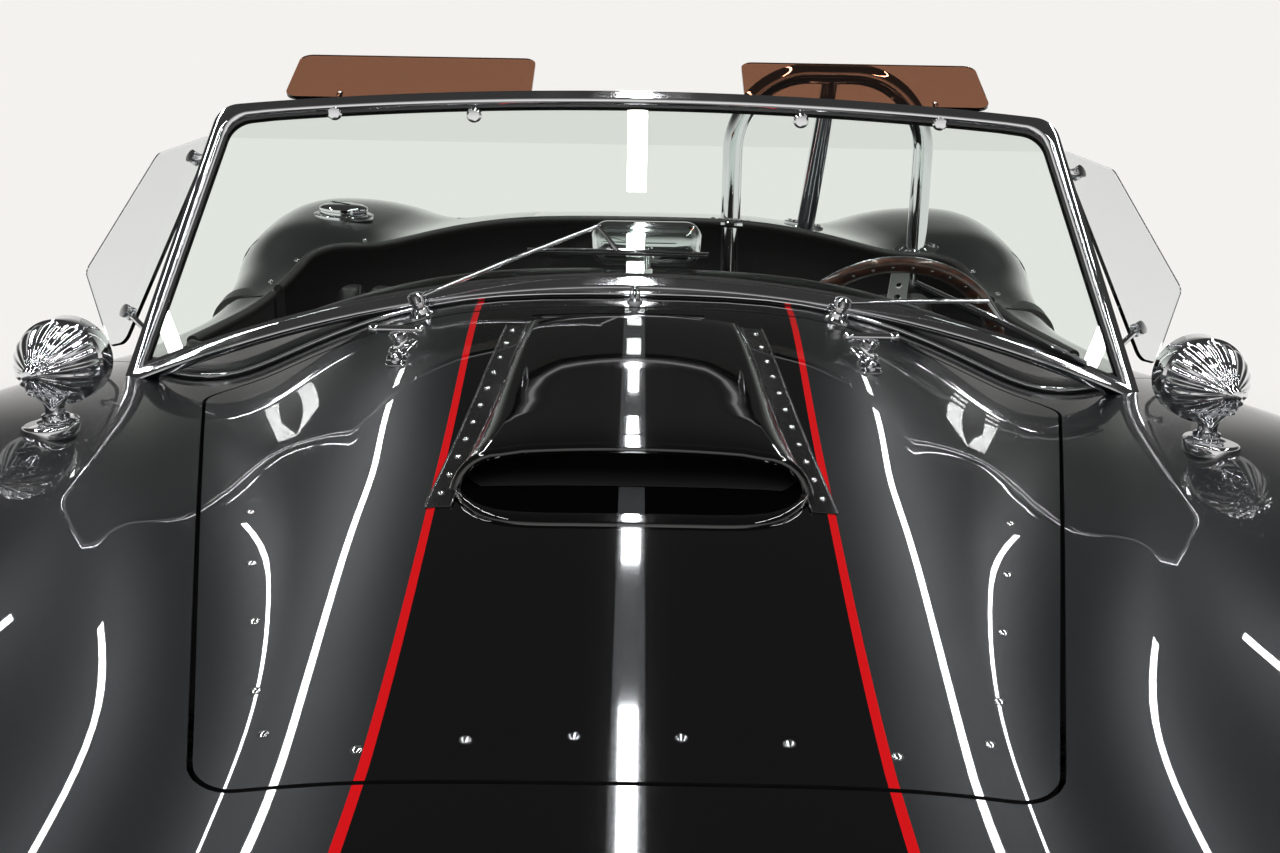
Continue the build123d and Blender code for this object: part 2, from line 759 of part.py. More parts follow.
# Engine as one block, and the radiator behind the mouth
with BuildPart() as engine_block:
    add(block((-engine_half, engine_half), (engine_front_y, engine_rear_y), (engine_low_z, engine_high_z)))
    chamfer(engine_block.edges().filter_by(Axis.Y).group_by(Axis.Z)[-1], 60)
finish(engine_block.part, "engine_block")

with BuildPart() as radiator:
    add(block((-radiator_half, radiator_half), (radiator_y, radiator_y + radiator_t), (radiator_low_z, radiator_high_z)))
    fillet(radiator.edges().filter_by(Axis.Y), 14)
finish(radiator.part, "radiator")

# Grille of upright bars, in a rim that fits the mouth
with BuildPart() as mouth_grille:
    with BuildSketch(Plane(origin=(0, nose_y + 2 * skin, 0), x_dir=(1, 0, 0), z_dir=(0, -1, 0))) as grille_plan:
        with BuildLine():
            Polyline(*mouth_outline, close=True)
        make_face()
        fillet(vertices(), mouth_corner_r)
        offset(amount=-seat_gap)
        offset(amount=-grille_bar, mode=Mode.SUBTRACT)
    extrude(amount=-grille_depth)
    grille_pitch = 2 * mouth_half / (grille_bar_count + 1)
    with BuildSketch(Plane.XY.offset(mouth_low_z)):
        with Locations((0, nose_y + 2 * skin + grille_depth / 2)):
            with GridLocations(grille_pitch, 1, grille_bar_count, 1):
                Rectangle(grille_bar / 2, grille_depth - 2)
    extrude(amount=mouth_high_z - mouth_low_z)
    with BuildSketch(Plane(origin=(0, nose_y + 2 * skin, 0), x_dir=(1, 0, 0), z_dir=(0, -1, 0))):
        with BuildLine():
            Polyline(*mouth_outline, close=True)
        make_face()
        fillet(vertices(), mouth_corner_r)
        offset(amount=-seat_gap)
    extrude(amount=-grille_depth, mode=Mode.INTERSECT)
    add(jacks, mode=Mode.SUBTRACT)
finish(mouth_grille.part, "mouth_grille")

# Lamps
bezel = rod((lamp_x, lamp_face_y - 8, lamp_z), (lamp_x, lamp_face_y, lamp_z), lamp_d + 2 * lamp_bezel_w, lamp_d - 2 * lamp_bezel_w)
bucket = rod((lamp_x, lamp_face_y, lamp_z), (lamp_x, lamp_face_y + lamp_depth, lamp_z), lamp_d, lamp_d - 8)
bucket = bucket + rod((lamp_x, lamp_face_y + lamp_depth - 4, lamp_z), (lamp_x, lamp_face_y + lamp_depth, lamp_z), lamp_d)
with BuildPart() as headlamp_bezels:
    for piece in both_sides(bezel + bucket):
        add(piece)
finish(headlamp_bezels.part, "headlamp_bezels")

lens_d = lamp_d - 2 * lamp_bezel_w - 2 * seat_gap
lens_bulge = 22.0
lens_sphere_r = (lens_d ** 2 / 4 + lens_bulge ** 2) / (2 * lens_bulge)
with BuildPart() as lens:
    with BuildSketch(Plane(origin=(lamp_x, lamp_face_y + 6, lamp_z), x_dir=(1, 0, 0), z_dir=(0, 0, 1))):
        with BuildLine():
            Line((0, 0), (lens_d / 2, 0))
            Line((lens_d / 2, 0), (lens_d / 2, -8))
            ThreePointArc(
                (lens_d / 2, -8),
                (lens_d / 4, -8 - (lens_sphere_r ** 2 - lens_d ** 2 / 16) ** 0.5 + lens_sphere_r - lens_bulge),
                (0, -8 - lens_bulge),
            )
            Line((0, -8 - lens_bulge), (0, 0))
        make_face()
    revolve(axis=Axis((lamp_x, 0, lamp_z), (0, 1, 0)))
with BuildPart() as headlamp_lenses:
    for piece in both_sides(lens.part):
        add(piece)
finish(headlamp_lenses.part, "headlamp_lenses")

turn_lamp = rod((turn_lamp_x, nose_y + 10, turn_lamp_z), (turn_lamp_x, floor_cut_front, turn_lamp_z), turn_lamp_d)
turn_lamp = turn_lamp & outer.moved(Location((0, -turn_lamp_reach / 2, 0)))
turn_lamp = turn_lamp - inner.moved(Location((0, turn_lamp_reach / 2, 0)))
with BuildPart() as turn_lamps:
    for piece in both_sides(turn_lamp):
        add(piece)
finish(turn_lamps.part, "turn_lamps")

tail_lamp = rod((tail_lamp_x, trunk_rear_y + 20, tail_lamp_z), (tail_lamp_x, tail_y - 10, tail_lamp_z), tail_lamp_d)
tail_lamp = tail_lamp & outer.moved(Location((0, tail_lamp_reach / 2, 0)))
tail_lamp = tail_lamp - inner.moved(Location((0, -tail_lamp_reach / 2, 0)))
with BuildPart() as tail_lamps:
    for piece in both_sides(tail_lamp):
        add(piece)
finish(tail_lamps.part, "tail_lamps")

with BuildPart() as quick_jacks:
    for piece in jacks:
        add(piece)
finish(quick_jacks.part, "quick_jacks")

with BuildPart() as side_exhausts:
    for piece in both_sides(pipe_right):
        add(piece)
finish(side_exhausts.part, "side_exhausts")

# Side vents: slanting blades in a thin frame set in the skin
vent_ring = side_prism(
    [
        (vent_y - vent_l / 2, vent_low_z), (vent_y + vent_l / 2, vent_low_z),
        (vent_y + vent_l / 2, vent_high_z), (vent_y - vent_l / 2, vent_high_z),
    ],
    18.0, door_inner_x, beyond, seat_gap,
)
vent_hole = side_prism(
    [
        (vent_y - vent_l / 2, vent_low_z), (vent_y + vent_l / 2, vent_low_z),
        (vent_y + vent_l / 2, vent_high_z), (vent_y - vent_l / 2, vent_high_z),
    ],
    18.0, door_inner_x, beyond, seat_gap + vent_blade_t,
)
vent_body = vent_ring - vent_hole
for i in range(vent_blades):
    blade_y = vent_y - vent_l / 2 + vent_l * (i + 1) / (vent_blades + 1)
    vent_body = vent_body + (vent_ring & block((door_inner_x, beyond), (blade_y, blade_y + vent_blade_t), (vent_low_z, vent_high_z)))
vent_body = (vent_body & outer) - inner.moved(Location((-20, 0, 0)))
with BuildPart() as side_vents:
    for piece in both_sides(vent_body):
        add(piece)
finish(side_vents.part, "side_vents")

# Windscreen: outline in its own raked plane, x across and y up the glass
screen_plane = Plane(
    origin=(0, screen_y, screen_z), x_dir=(1, 0, 0),
    z_dir=(0, -cos(radians(screen_rake)), sin(radians(screen_rake))),
)


def screen_sheet(inset, thickness, drop=0.0):
    """Sheet over the windscreen's outline, inset from its edge."""
    with BuildPart() as sheet:
        with BuildSketch(screen_plane):
            with BuildLine():
                ThreePointArc(
                    (-screen_base_half, -screen_base_drop - drop), (0, -drop),
                    (screen_base_half, -screen_base_drop - drop),
                )
                Line((screen_base_half, -screen_base_drop - drop), (screen_top_half, screen_top_corner))
                ThreePointArc(
                    (screen_top_half, screen_top_corner), (0, screen_top_centre),
                    (-screen_top_half, screen_top_corner),
                )
                Line((-screen_top_half, screen_top_corner), (-screen_base_half, -screen_base_drop - drop))
            make_face()
            fillet(vertices().group_by(Axis.Z)[-1], screen_corner_r)
            if inset:
                offset(amount=-inset)
        extrude(amount=thickness / 2, both=True)
    return sheet.part


pane = screen_sheet(screen_bar, glass_t)
screen_frame = screen_sheet(0.0, screen_bar_t, 14.0) - screen_sheet(screen_bar, screen_bar_t + 2) - outer
finish(pane, "windscreen_glass")

# Wind wings: clear plates hung behind the windscreen's posts, splayed outwards
post_low = screen_plane.from_local_coords((screen_base_half + 8, -screen_base_drop + 60, -20))
post_high = screen_plane.from_local_coords((screen_top_half + 8, screen_top_corner - 30, -20))
wing_out = Vector(sin(radians(wing_splay)), cos(radians(wing_splay)), 0)
wing_up = (post_high - post_low).normalized()
wing_plane = Plane(origin=post_low, x_dir=wing_out, z_dir=wing_out.cross(wing_up))
wing_tip = wing_plane.to_local_coords(post_high)
with BuildPart() as wing:
    with BuildSketch(wing_plane):
        with BuildLine():
            Polyline(
                (wing_edge, 4), (wing_length * 0.8, -20), (wing_length, wing_tip.Y * 0.4),
                (wing_tip.X + wing_length * 0.5, wing_tip.Y - 10), (wing_tip.X + wing_edge, wing_tip.Y), close=True,
            )
        make_face()
        fillet(vertices(), 14)
    extrude(amount=wing_t)
wing_body = wing.part - outer
brackets = []
for share in (0.12, 0.86):
    post_point = screen_plane.from_local_coords((
        screen_base_half - 8 + (screen_top_half - screen_base_half) * share,
        -screen_base_drop + 40 + (screen_top_corner + screen_base_drop - 60) * share, 0,
    ))
    wing_point = wing_plane.from_local_coords((wing_tip.X * share + 30, wing_tip.Y * share + 6, wing_t / 2))
    brackets.append(rod(tuple(post_point), tuple(wing_point), bracket_d))
with BuildPart() as wind_wings:
    for piece in both_sides(wing_body):
        add(piece)
finish(wind_wings.part, "wind_wings")

# Sun visors above the windscreen's top rail
visor_base = screen_plane.from_local_coords((0, screen_top_centre + 2, 0))
visor_plane = Plane(
    origin=visor_base, x_dir=(1, 0, 0),
    z_dir=(0, -sin(radians(visor_lift)), cos(radians(visor_lift))),
)
with BuildPart() as sun_visors:
    with BuildSketch(visor_plane):
        for side in (-1, 1):
            with Locations((side * (visor_half_gap + visor_w / 2), visor_chord / 2)):
                RectangleRounded(visor_w, visor_chord, 18)
    extrude(amount=visor_t)
finish(sun_visors.part, "sun_visors")
for side in (-1, 1):
    for reach in VISOR_CLIPS:
        clip_x = side * (visor_half_gap + visor_w * reach)
        rail_point = screen_plane.from_local_coords((clip_x, screen_top_centre - screen_bar / 2 - 10, 0))
        clip_point = visor_plane.from_local_coords((clip_x, 26, 0))
        brackets.append(rod(tuple(rail_point), tuple(clip_point), bracket_d))
screen_fittings = []
for piece in brackets:
    screen_fittings.append(piece - pane - sun_visors.part - wing_body - wing_body.mirror(Plane.YZ))
with BuildPart() as windscreen_frame:
    add(screen_frame)
    for piece in screen_fittings[:2]:
        add(both_sides(piece))
    add(screen_fittings[2:])
finish(windscreen_frame.part, "windscreen_frame")

# Wipers: spindle, arm and blade for each, lying on the glass
glass_normal = screen_plane.z_dir
WIPERS = (
    # spindle x, elbow (x, up), blade start (x, up), blade end (x, up), on the glass
    (-262.0, (-48.0, 78.0), (-136.0, 48.0), (92.0, 46.0)),
    (250.0, (440.0, -12.0), (352.0, 14.0), (560.0, -88.0)),
)
wiper_solids = []
for spindle_x, elbow, blade_a, blade_b in WIPERS:
    base_y = screen_y - 44
    base_z = skin_height(spindle_x, base_y)
    nut = rod((spindle_x, base_y, base_z - 30), (spindle_x, base_y, base_z + 24), 22.0) - outer
    off = 20.0
    elbow_point = screen_plane.from_local_coords((elbow[0], elbow[1], off))
    start_point = screen_plane.from_local_coords((blade_a[0], blade_a[1], off - 5))
    end_point = screen_plane.from_local_coords((blade_b[0], blade_b[1], off - 5))
    arm = rod((spindle_x, base_y, base_z + 18), elbow_point, 8.0)
    tip = rod(elbow_point, (start_point + end_point) / 2, 8.0)
    blade = rod(start_point, end_point, 8.0)
    wiper_solids.append(nut + arm + tip + blade)
with BuildPart() as wiper_arms:
    for piece in wiper_solids:
        add(piece)
finish(wiper_arms.part, "wiper_arms")

# Fender mirrors: oval foot, post and a bullet head
mirror_foot_z = skin_height(mirror_x, mirror_y)
head_z = mirror_foot_z + mirror_post_h + mirror_head_d / 2
with BuildPart() as mirror_head:
    with BuildSketch(Plane(origin=(mirror_x, mirror_y, head_z), x_dir=(1, 0, 0), z_dir=(0, 0, 1))):
        with BuildLine():
            Line((0, mirror_head_l / 2), (mirror_head_d / 2, mirror_head_l / 2))
            Line((mirror_head_d / 2, mirror_head_l / 2), (mirror_head_d / 2, mirror_head_l / 4))
            ThreePointArc(
                (mirror_head_d / 2, mirror_head_l / 4), (mirror_head_d * 0.36, -mirror_head_l * 0.2),
                (0, -mirror_head_l / 2),
            )
            Line((0, -mirror_head_l / 2), (0, mirror_head_l / 2))
        make_face()
    revolve(axis=Axis((mirror_x, 0, head_z), (0, 1, 0)))
mirror_post = rod((mirror_x, mirror_y, mirror_foot_z - 20), (mirror_x, mirror_y, head_z), mirror_post_d)
with BuildPart() as mirror_foot:
    with BuildSketch(Plane.XY.offset(mirror_foot_z - 30)):
        with Locations((mirror_x, mirror_y)):
            SlotOverall(mirror_foot_l, mirror_foot_w, rotation=90)
    extrude(amount=42)
mirror_solid = (mirror_head.part + mirror_post + mirror_foot.part) - outer
with BuildPart() as fender_mirrors:
    for piece in both_sides(mirror_solid):
        add(piece)
finish(fender_mirrors.part, "fender_mirrors")

# Cabin mirror on a stalk from the cowl
cabin_y = screen_y + 148.0
cabin_z = 914.0
with BuildPart() as cabin_mirror:
    with BuildSketch(Plane.XZ.offset(-cabin_y)):
        with Locations((15, cabin_z)):
            RectangleRounded(150, 60, 22)
    extrude(amount=18, both=True)
cabin_stalk = rod((15, cabin_y, cabin_z), (15, cabin_y - 40, skin_height(0, cabin_y) - 40), 14.0) - outer
finish(cabin_mirror.part + cabin_stalk, "cabin_mirror")

# Dashboard and gauges
dash_panel = block((-dash_half, dash_half), (dash_y, dash_y + dash_t), (dash_low_z, above))
dash_panel = dash_panel & inner
finish(dash_panel, "dashboard")
with BuildPart() as gauges:
    for x, z, diameter in GAUGES:
        add(rod((x, dash_y + dash_t, z), (x, dash_y + dash_t + gauge_reach, z), diameter))
finish(gauges.part, "gauges")

# Seats: one simple closed solid each
def seat_solid(x):
    """Bucket seat as a cushion and a reclined back in one closed form."""
    back_shift = seat_back_h * tan(radians(seat_recline)) * 0.5
    low = floor_z + seat_gap
    points = [
        (seat_front_y, low), (seat_back_y - back_shift - 60, low),
        (seat_back_y, low + seat_back_h), (seat_back_y - seat_back_t * 0.7, low + seat_back_h),
        (seat_back_y - back_shift - 60 - seat_back_t, low + seat_cushion_h), (seat_front_y, low + seat_cushion_h),
    ]
    return side_prism(points, 28.0, x - seat_w / 2, x + seat_w / 2)


finish(seat_solid(seat_x), "seat_driver")
finish(seat_solid(-seat_x), "seat_passenger")

# Roll hoop with its feet
hoop_feet = []
for x, y in ((hoop_x - hoop_half, hoop_y), (hoop_x + hoop_half, hoop_y), (hoop_x, brace_foot_y)):
    foot_z = skin_height(x, y)
    hoop_feet.append((outer.moved(Location((0, 0, hoop_foot_t))) & rod((x, y, foot_z - 40), (x, y, foot_z + 40), hoop_foot_d)) - outer)
with BuildPart() as roll_hoop:
    add(hoop_tube)
    add(brace_tube)
    for piece in hoop_feet:
        add(piece)
finish(roll_hoop.part, "roll_hoop")

# Fuel filler on the left-hand rear fender
filler_z = skin_height(filler_x, filler_y)
filler = rod((-filler_x, filler_y, filler_z - 40), (-filler_x, filler_y, filler_z + 8), filler_d + 26)
filler = filler + rod((-filler_x, filler_y, filler_z), (-filler_x, filler_y, filler_z + filler_h), filler_d)
filler = filler - outer
finish(filler, "fuel_filler")

# Steering column and small controls
tilt = radians(wheel_tilt)
column_dir = Vector(0, -cos(tilt), -sin(tilt))
wheel_centre = Vector(wheel_x, wheel_y, wheel_z)
column_start = wheel_centre + column_dir * 40
column_end = column_start + column_dir * column_l
column = rod(tuple(column_start + column_dir * run_gap), tuple(column_end), column_d)
column = column & block((0, beyond), (firewall_y + panel_t, beyond), (0, above))
finish(column, "steering_column")

gear_x = 0.0
gear_y = -40.0
gear_lever = rod((gear_x, gear_y, tunnel_top + 10), (gear_x, gear_y + 20, tunnel_top + 130), 14.0)
gear_lever = gear_lever + rod((gear_x, gear_y, tunnel_top), (gear_x, gear_y, tunnel_top + 20), 90.0)
with BuildPart() as gear_ball:
    with BuildSketch(Plane(origin=(gear_x, gear_y + 20, tunnel_top + 130), x_dir=(1, 0, 0), z_dir=(0, 0, 1))):
        with BuildLine():
            CenterArc((0, 0), 24, -90, 180)
            Line((0, -24), (0, 24))
        make_face()
    revolve(axis=Axis((gear_x, gear_y + 20, tunnel_top + 130), (0, 1, 0)))
brake_lever = rod((-100, 60, tunnel_top + 13), (-100, -90, tunnel_top + 84), 20.0)
brake_lever = brake_lever + block((-118, -82), (30, 110), (tunnel_top, tunnel_top + 22))
with BuildPart() as cockpit_levers:
    add(gear_lever + gear_ball.part)
    add(brake_lever)
finish(cockpit_levers.part, "cockpit_levers")

PEDALS_X = (290.0, 350.0, 470.0)
pedal_pivot_z = 605.0
with BuildPart() as pedals:
    add(block((PEDALS_X[0] - 20, PEDALS_X[-1] + 20), (firewall_y + panel_t, firewall_y + 36), (pedal_pivot_z - 15, pedal_pivot_z + 15)))
    for x in PEDALS_X:
        add(rod((x, firewall_y + 24, pedal_pivot_z), (x, firewall_y + 95, 400), 14.0))
        add(block((x - 28, x + 28), (firewall_y + 90, firewall_y + 100), (350, 420)))
finish(pedals.part, "pedals")

# Front suspension: upper and lower arms with spring units, on a cross member
lower_arm_z = 236.0
upper_arm_z = 470.0
arm_root_x = 330.0
arm_tip_x = kingpin_x
joint_rise = 22.0
joint_d = 50.0
arm_spread = 120.0
arm_d = 26.0
front_links = []
for z, root_x in ((lower_arm_z, arm_root_x), (upper_arm_z, arm_root_x + 40)):
    for spread in (-arm_spread, arm_spread):
        front_links.append(rod((root_x, front_axle_y + spread, z), (arm_tip_x, front_axle_y, z), arm_d))
    front_links.append(rod((root_x, front_axle_y - arm_spread, z), (root_x, front_axle_y + arm_spread, z), 34.0))
    front_links.append(rod((arm_tip_x, front_axle_y, z - joint_rise), (arm_tip_x, front_axle_y, z + joint_rise), joint_d))
front_links.append(rod((arm_root_x, front_axle_y, lower_arm_z), (arm_root_x + 50, front_axle_y, upper_arm_z + 40), 60.0))
front_links.append(rod((arm_tip_x - 120, front_axle_y, lower_arm_z + 6), (arm_root_x + 60, front_axle_y, upper_arm_z + 40), 56.0))
front_links.append(rod((rail_x, front_axle_y, rail_z + 14), (arm_root_x + 20, front_axle_y, lower_arm_z + 14), 60.0))
front_side = front_links[0].fuse(*front_links[1:])
with BuildPart() as front_suspension:
    for piece in both_sides(front_side):
        add(piece)
    for piece in both_sides(rod((rail_x, rail_front_y, rail_z), (rail_x, rail_rear_y, rail_z), rail_d)):
        add(piece, mode=Mode.SUBTRACT)
    add(rod((-rail_x, front_axle_y, rail_z), (rail_x, front_axle_y, rail_z), cross_d), mode=Mode.SUBTRACT)
finish(front_suspension.part, "front_suspension")

# Rear axle: differential, half shafts and hub carriers
rear_hub_x = rear_track / 2 - 62.0
rear_z = rear_tyre_d / 2
rear_face_x = rear_track / 2 + rear_tyre_w / 2 - rim_inset - disc_inset - hub_back - seat_gap
rear_pieces = [
    rod((0, rear_axle_y - 130, rear_z), (0, rear_axle_y + 110, rear_z), 190.0),
    rod((-130, rear_axle_y, rear_z), (130, rear_axle_y, rear_z), 130.0),
]
for side in (-1, 1):
    rear_pieces.append(rod((side * 120, rear_axle_y, rear_z), (side * (rear_hub_x - 20), rear_axle_y, rear_z), 46.0))
    rear_pieces.append(rod((side * (rear_hub_x - 40), rear_axle_y, rear_z), (side * rear_hub_x, rear_axle_y, rear_z), 130.0))
    rear_pieces.append(rod((side * rear_hub_x, rear_axle_y, rear_z), (side * rear_face_x, rear_axle_y, rear_z), spindle_d))
    rear_pieces.append(rod((side * (rear_hub_x - 20), rear_axle_y, rear_z - 100), (side * (rear_hub_x - 20), rear_axle_y, rear_z + 100), 40.0))
    rear_pieces.append(rod((side * (rail_x + 30), rear_axle_y - 150, rail_z + 46), (side * (rear_hub_x - 20), rear_axle_y, rear_z - 95), 30.0))
    rear_pieces.append(rod((side * (rail_x + 30), rear_axle_y + 150, rail_z + 46), (side * (rear_hub_x - 20), rear_axle_y, rear_z - 95), 30.0))
rear_body = rear_pieces[0].fuse(*rear_pieces[1:])
with BuildPart() as rear_suspension:
    add(rear_body)
    for piece in both_sides(rod((rail_x, rail_front_y, rail_z), (rail_x, rail_rear_y, rail_z), rail_d)):
        add(piece, mode=Mode.SUBTRACT)
    add(rod((-rail_x, rear_axle_y, rail_z), (rail_x, rear_axle_y, rail_z), cross_d), mode=Mode.SUBTRACT)
finish(rear_suspension.part, "rear_suspension")

# Steering wheel: wood rim on three spokes
wheel_plane = Plane(origin=wheel_centre, x_dir=(1, 0, 0), z_dir=-column_dir)
with BuildPart() as steering_rim:
    with BuildSketch(Plane(origin=wheel_centre, x_dir=(1, 0, 0), z_dir=wheel_plane.y_dir)):
        with Locations((wheel_d / 2 - wheel_rim_t / 2, 0)):
            Circle(wheel_rim_t / 2)
    revolve(axis=Axis(wheel_centre, -column_dir))
finish(steering_rim.part, "steering_rim")
spoke_t = 4.0
with BuildPart() as steering_spokes:
    with BuildSketch(wheel_plane):
        Circle(hub_d / 2)
        with PolarLocations(wheel_d / 4, 3, start_angle=-90):
            Rectangle(wheel_d / 2 - wheel_rim_t / 2, 34)
        Circle(wheel_d / 2 - wheel_rim_t + 1, mode=Mode.INTERSECT)
    extrude(amount=spoke_t / 2, both=True)
    with BuildSketch(wheel_plane.offset(-40)):
        Circle(hub_d / 2 - 14)
    extrude(amount=52)
spokes_body = steering_spokes.part - steering_rim.part
finish(spokes_body, "steering_spokes")

# Knuckles: upright, stub axle and brake disc
knuckle_z = front_tyre_d / 2
hub_face_x = front_track / 2 + front_tyre_w / 2 - rim_inset - disc_inset - hub_back - seat_gap
upright = rod(
    (kingpin_x, front_axle_y, lower_arm_z + joint_rise + seat_gap),
    (kingpin_x, front_axle_y, upper_arm_z - joint_rise - seat_gap), 52.0,
)
upright = upright + rod((kingpin_x - 20, front_axle_y, knuckle_z), (hub_face_x, front_axle_y, knuckle_z), spindle_d)
upright = upright + rod((kingpin_x + 26, front_axle_y, knuckle_z), (kingpin_x + 26 + brake_disc_t, front_axle_y, knuckle_z), brake_disc_d)
finish(upright, "knuckle_driver")
finish(upright.mirror(Plane.YZ), "knuckle_passenger")


# Wheels: a tyre and a cast rim each
def tyre_solid(diameter, width):
    """Tyre turned about the X axis at its own centre, with flat-sided shoulders."""
    half = width / 2
    flank = [
        (half - tyre_bead_in, tyre_bead_d / 2),
        (half - rim_inset - tyre_flange_gap, rim_flange_d / 2 + tyre_flange_gap),
        (half, (diameter + tyre_bead_d) / 4),
        (half - tyre_crown_in / 3, diameter / 2 - tyre_shoulder),
        (half - tyre_crown_in, diameter / 2),
    ]
    with BuildPart() as tyre:
        with BuildSketch(Plane.XY):
            with BuildLine():
                Polyline(*flank, *[(-x, r) for x, r in reversed(flank)], close=True)
            make_face()
        revolve(axis=Axis.X)
    return tyre.part


def rim_solid(width):
    """Cast rim: barrel with flanges, spoked disc and a two-eared spinner; +X is its outside."""
    half = width / 2 - rim_inset
    barrel_r = tyre_bead_d / 2 - run_gap
    disc_x = half - disc_inset
    with BuildPart() as rim:
        with BuildSketch(Plane.XY):
            with BuildLine():
                Polyline(
                    (-half, rim_flange_d / 2), (-half - 4, rim_flange_d / 2), (-half - 4, barrel_r - rim_wall),
                    (half + 4, barrel_r - rim_wall), (half + 4, rim_flange_d / 2), (half, rim_flange_d / 2),
                    (half, barrel_r), (-half, barrel_r), close=True,
                )
            make_face()
        revolve(axis=Axis.X)
        with BuildSketch(Plane.YZ.offset(disc_x)):
            Circle(barrel_r - rim_wall + 1)
            with PolarLocations(118, spoke_count):
                SlotOverall(92, 62, rotation=90, mode=Mode.SUBTRACT)
        extrude(amount=22)
        with BuildSketch(Plane.YZ.offset(disc_x - hub_back)):
            Circle(64)
        extrude(amount=46)
        with BuildSketch(Plane.YZ.offset(disc_x + 36)):
            Circle(34)
        extrude(amount=20)
        with BuildSketch(Plane.YZ.offset(disc_x + 40)):
            Rectangle(150, 26)
            Circle(75, mode=Mode.INTERSECT)
        extrude(amount=14)
    return rim.part


wheel_rows = (
    # name, x, y, diameter, width
    ("front", front_track / 2, front_axle_y, front_tyre_d, front_tyre_w),
    ("rear", rear_track / 2, rear_axle_y, rear_tyre_d, rear_tyre_w),
)
for name, x, y, diameter, width in wheel_rows:
    place = Location((x, y, diameter / 2))
    tyre = tyre_solid(diameter, width).moved(place)
    rim = rim_solid(width).moved(place)
    finish(tyre, "tyre_" + name + "_driver")
    finish(tyre.mirror(Plane.YZ), "tyre_" + name + "_passenger")
    finish(rim, "rim_" + name + "_driver")
    finish(rim.mirror(Plane.YZ), "rim_" + name + "_passenger")

# Lid handle
handle_y = lid_rear_y - 60.0
handle_z = skin_height(0, handle_y)
handle = rod((0, handle_y, handle_z - 30), (0, handle_y, handle_z + 22), 24.0)
handle = handle + rod((-45, handle_y, handle_z + 18), (45, handle_y, handle_z + 18), 12.0)
handle = handle - outer
finish(handle, "trunk_handle")
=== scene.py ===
import logging
import math
from dataclasses import dataclass, field
from enum import Enum

import bmesh
import bpy
from bpy.types import Node, NodeSocket, NodeTree, Object
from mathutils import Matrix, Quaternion, Vector
from mathutils.bvhtree import BVHTree
from mathutils.geometry import barycentric_transform


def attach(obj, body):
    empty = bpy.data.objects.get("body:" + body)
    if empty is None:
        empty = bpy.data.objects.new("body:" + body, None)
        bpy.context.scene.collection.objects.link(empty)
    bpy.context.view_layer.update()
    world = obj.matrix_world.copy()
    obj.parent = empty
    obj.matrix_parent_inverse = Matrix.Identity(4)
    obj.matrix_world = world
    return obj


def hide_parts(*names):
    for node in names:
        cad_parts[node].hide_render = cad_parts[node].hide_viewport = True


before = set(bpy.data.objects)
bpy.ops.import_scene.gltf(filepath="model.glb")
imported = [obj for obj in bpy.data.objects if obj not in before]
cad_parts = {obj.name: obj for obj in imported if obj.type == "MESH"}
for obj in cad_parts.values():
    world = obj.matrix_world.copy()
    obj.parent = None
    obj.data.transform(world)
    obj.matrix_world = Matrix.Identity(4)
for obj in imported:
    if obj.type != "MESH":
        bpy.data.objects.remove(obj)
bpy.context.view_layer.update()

# Open two-seat roadster with a riveted bonnet scoop. Lengths are in millimetres until a mesh is made.
MM = 0.001
LOG = logging.getLogger("roadster")
UP = Vector((0, 0, 1))
AHEAD = Vector((0, -1, 0))
OUT = Vector((1, 0, 0))
BACK = Vector((0, 1, 0))
SIDES = (("driver", 1), ("passenger", -1))

# Places that an opening of the skin shares with the piece in it, in millimetres.
HEADLAMP = (556.0, -1894.0, 600.0)
HEADLAMP_D = 178.0
TURN_LAMP = (540.0, -1915.0, 450.0)
TAIL_LAMP = (470.0, 1895.0, 545.0)
MOUTH = (-262.0, 262.0, 352.0, 528.0)
MOUTH_CORNER = 78.0
JACK_X = 236.0
JACK_Z = (372.0, 566.0)
VENT_Y = (-800.0, -600.0)
VENT_Z = (420.0, 560.0)
VENT_CORNER = 18.0


def mm(x: float, y: float, z: float) -> Vector:
    """Place in metres of a point given in millimetres."""
    return Vector((x * MM, y * MM, z * MM))


def linear(code: str) -> tuple[float, float, float, float]:
    """Turn an sRGB hex colour into linear light.

    Args:
        code: six hex digits.

    Returns:
        Red, green, blue and full alpha.
    """
    parts = [int(code[i:i + 2], 16) / 255 for i in (0, 2, 4)]
    light = [p / 12.92 if p <= 0.04045 else ((p + 0.055) / 1.055) ** 2.4 for p in parts]
    return (light[0], light[1], light[2], 1.0)


def add_node(tree: NodeTree, kind: str, inputs: dict | None = None, **settings: object) -> Node:
    """Add one node with its settings and links.

    Args:
        tree: the tree it goes in.
        kind: the node's type name.
        inputs: socket name or index to a value, or to the output socket that feeds it.
        settings: attributes of the node.

    Returns:
        The new node.
    """
    item = tree.nodes.new(kind)
    for key, value in settings.items():
        setattr(item, key, value)
    for key, value in (inputs or {}).items():
        if isinstance(value, NodeSocket):
            tree.links.new(value, item.inputs[key])
        else:
            item.inputs[key].default_value = value
    return item


def set_inputs(node: Node, values: dict) -> None:
    """Set values of a node's input sockets by their names."""
    for name, value in values.items():
        node.inputs[name].default_value = value


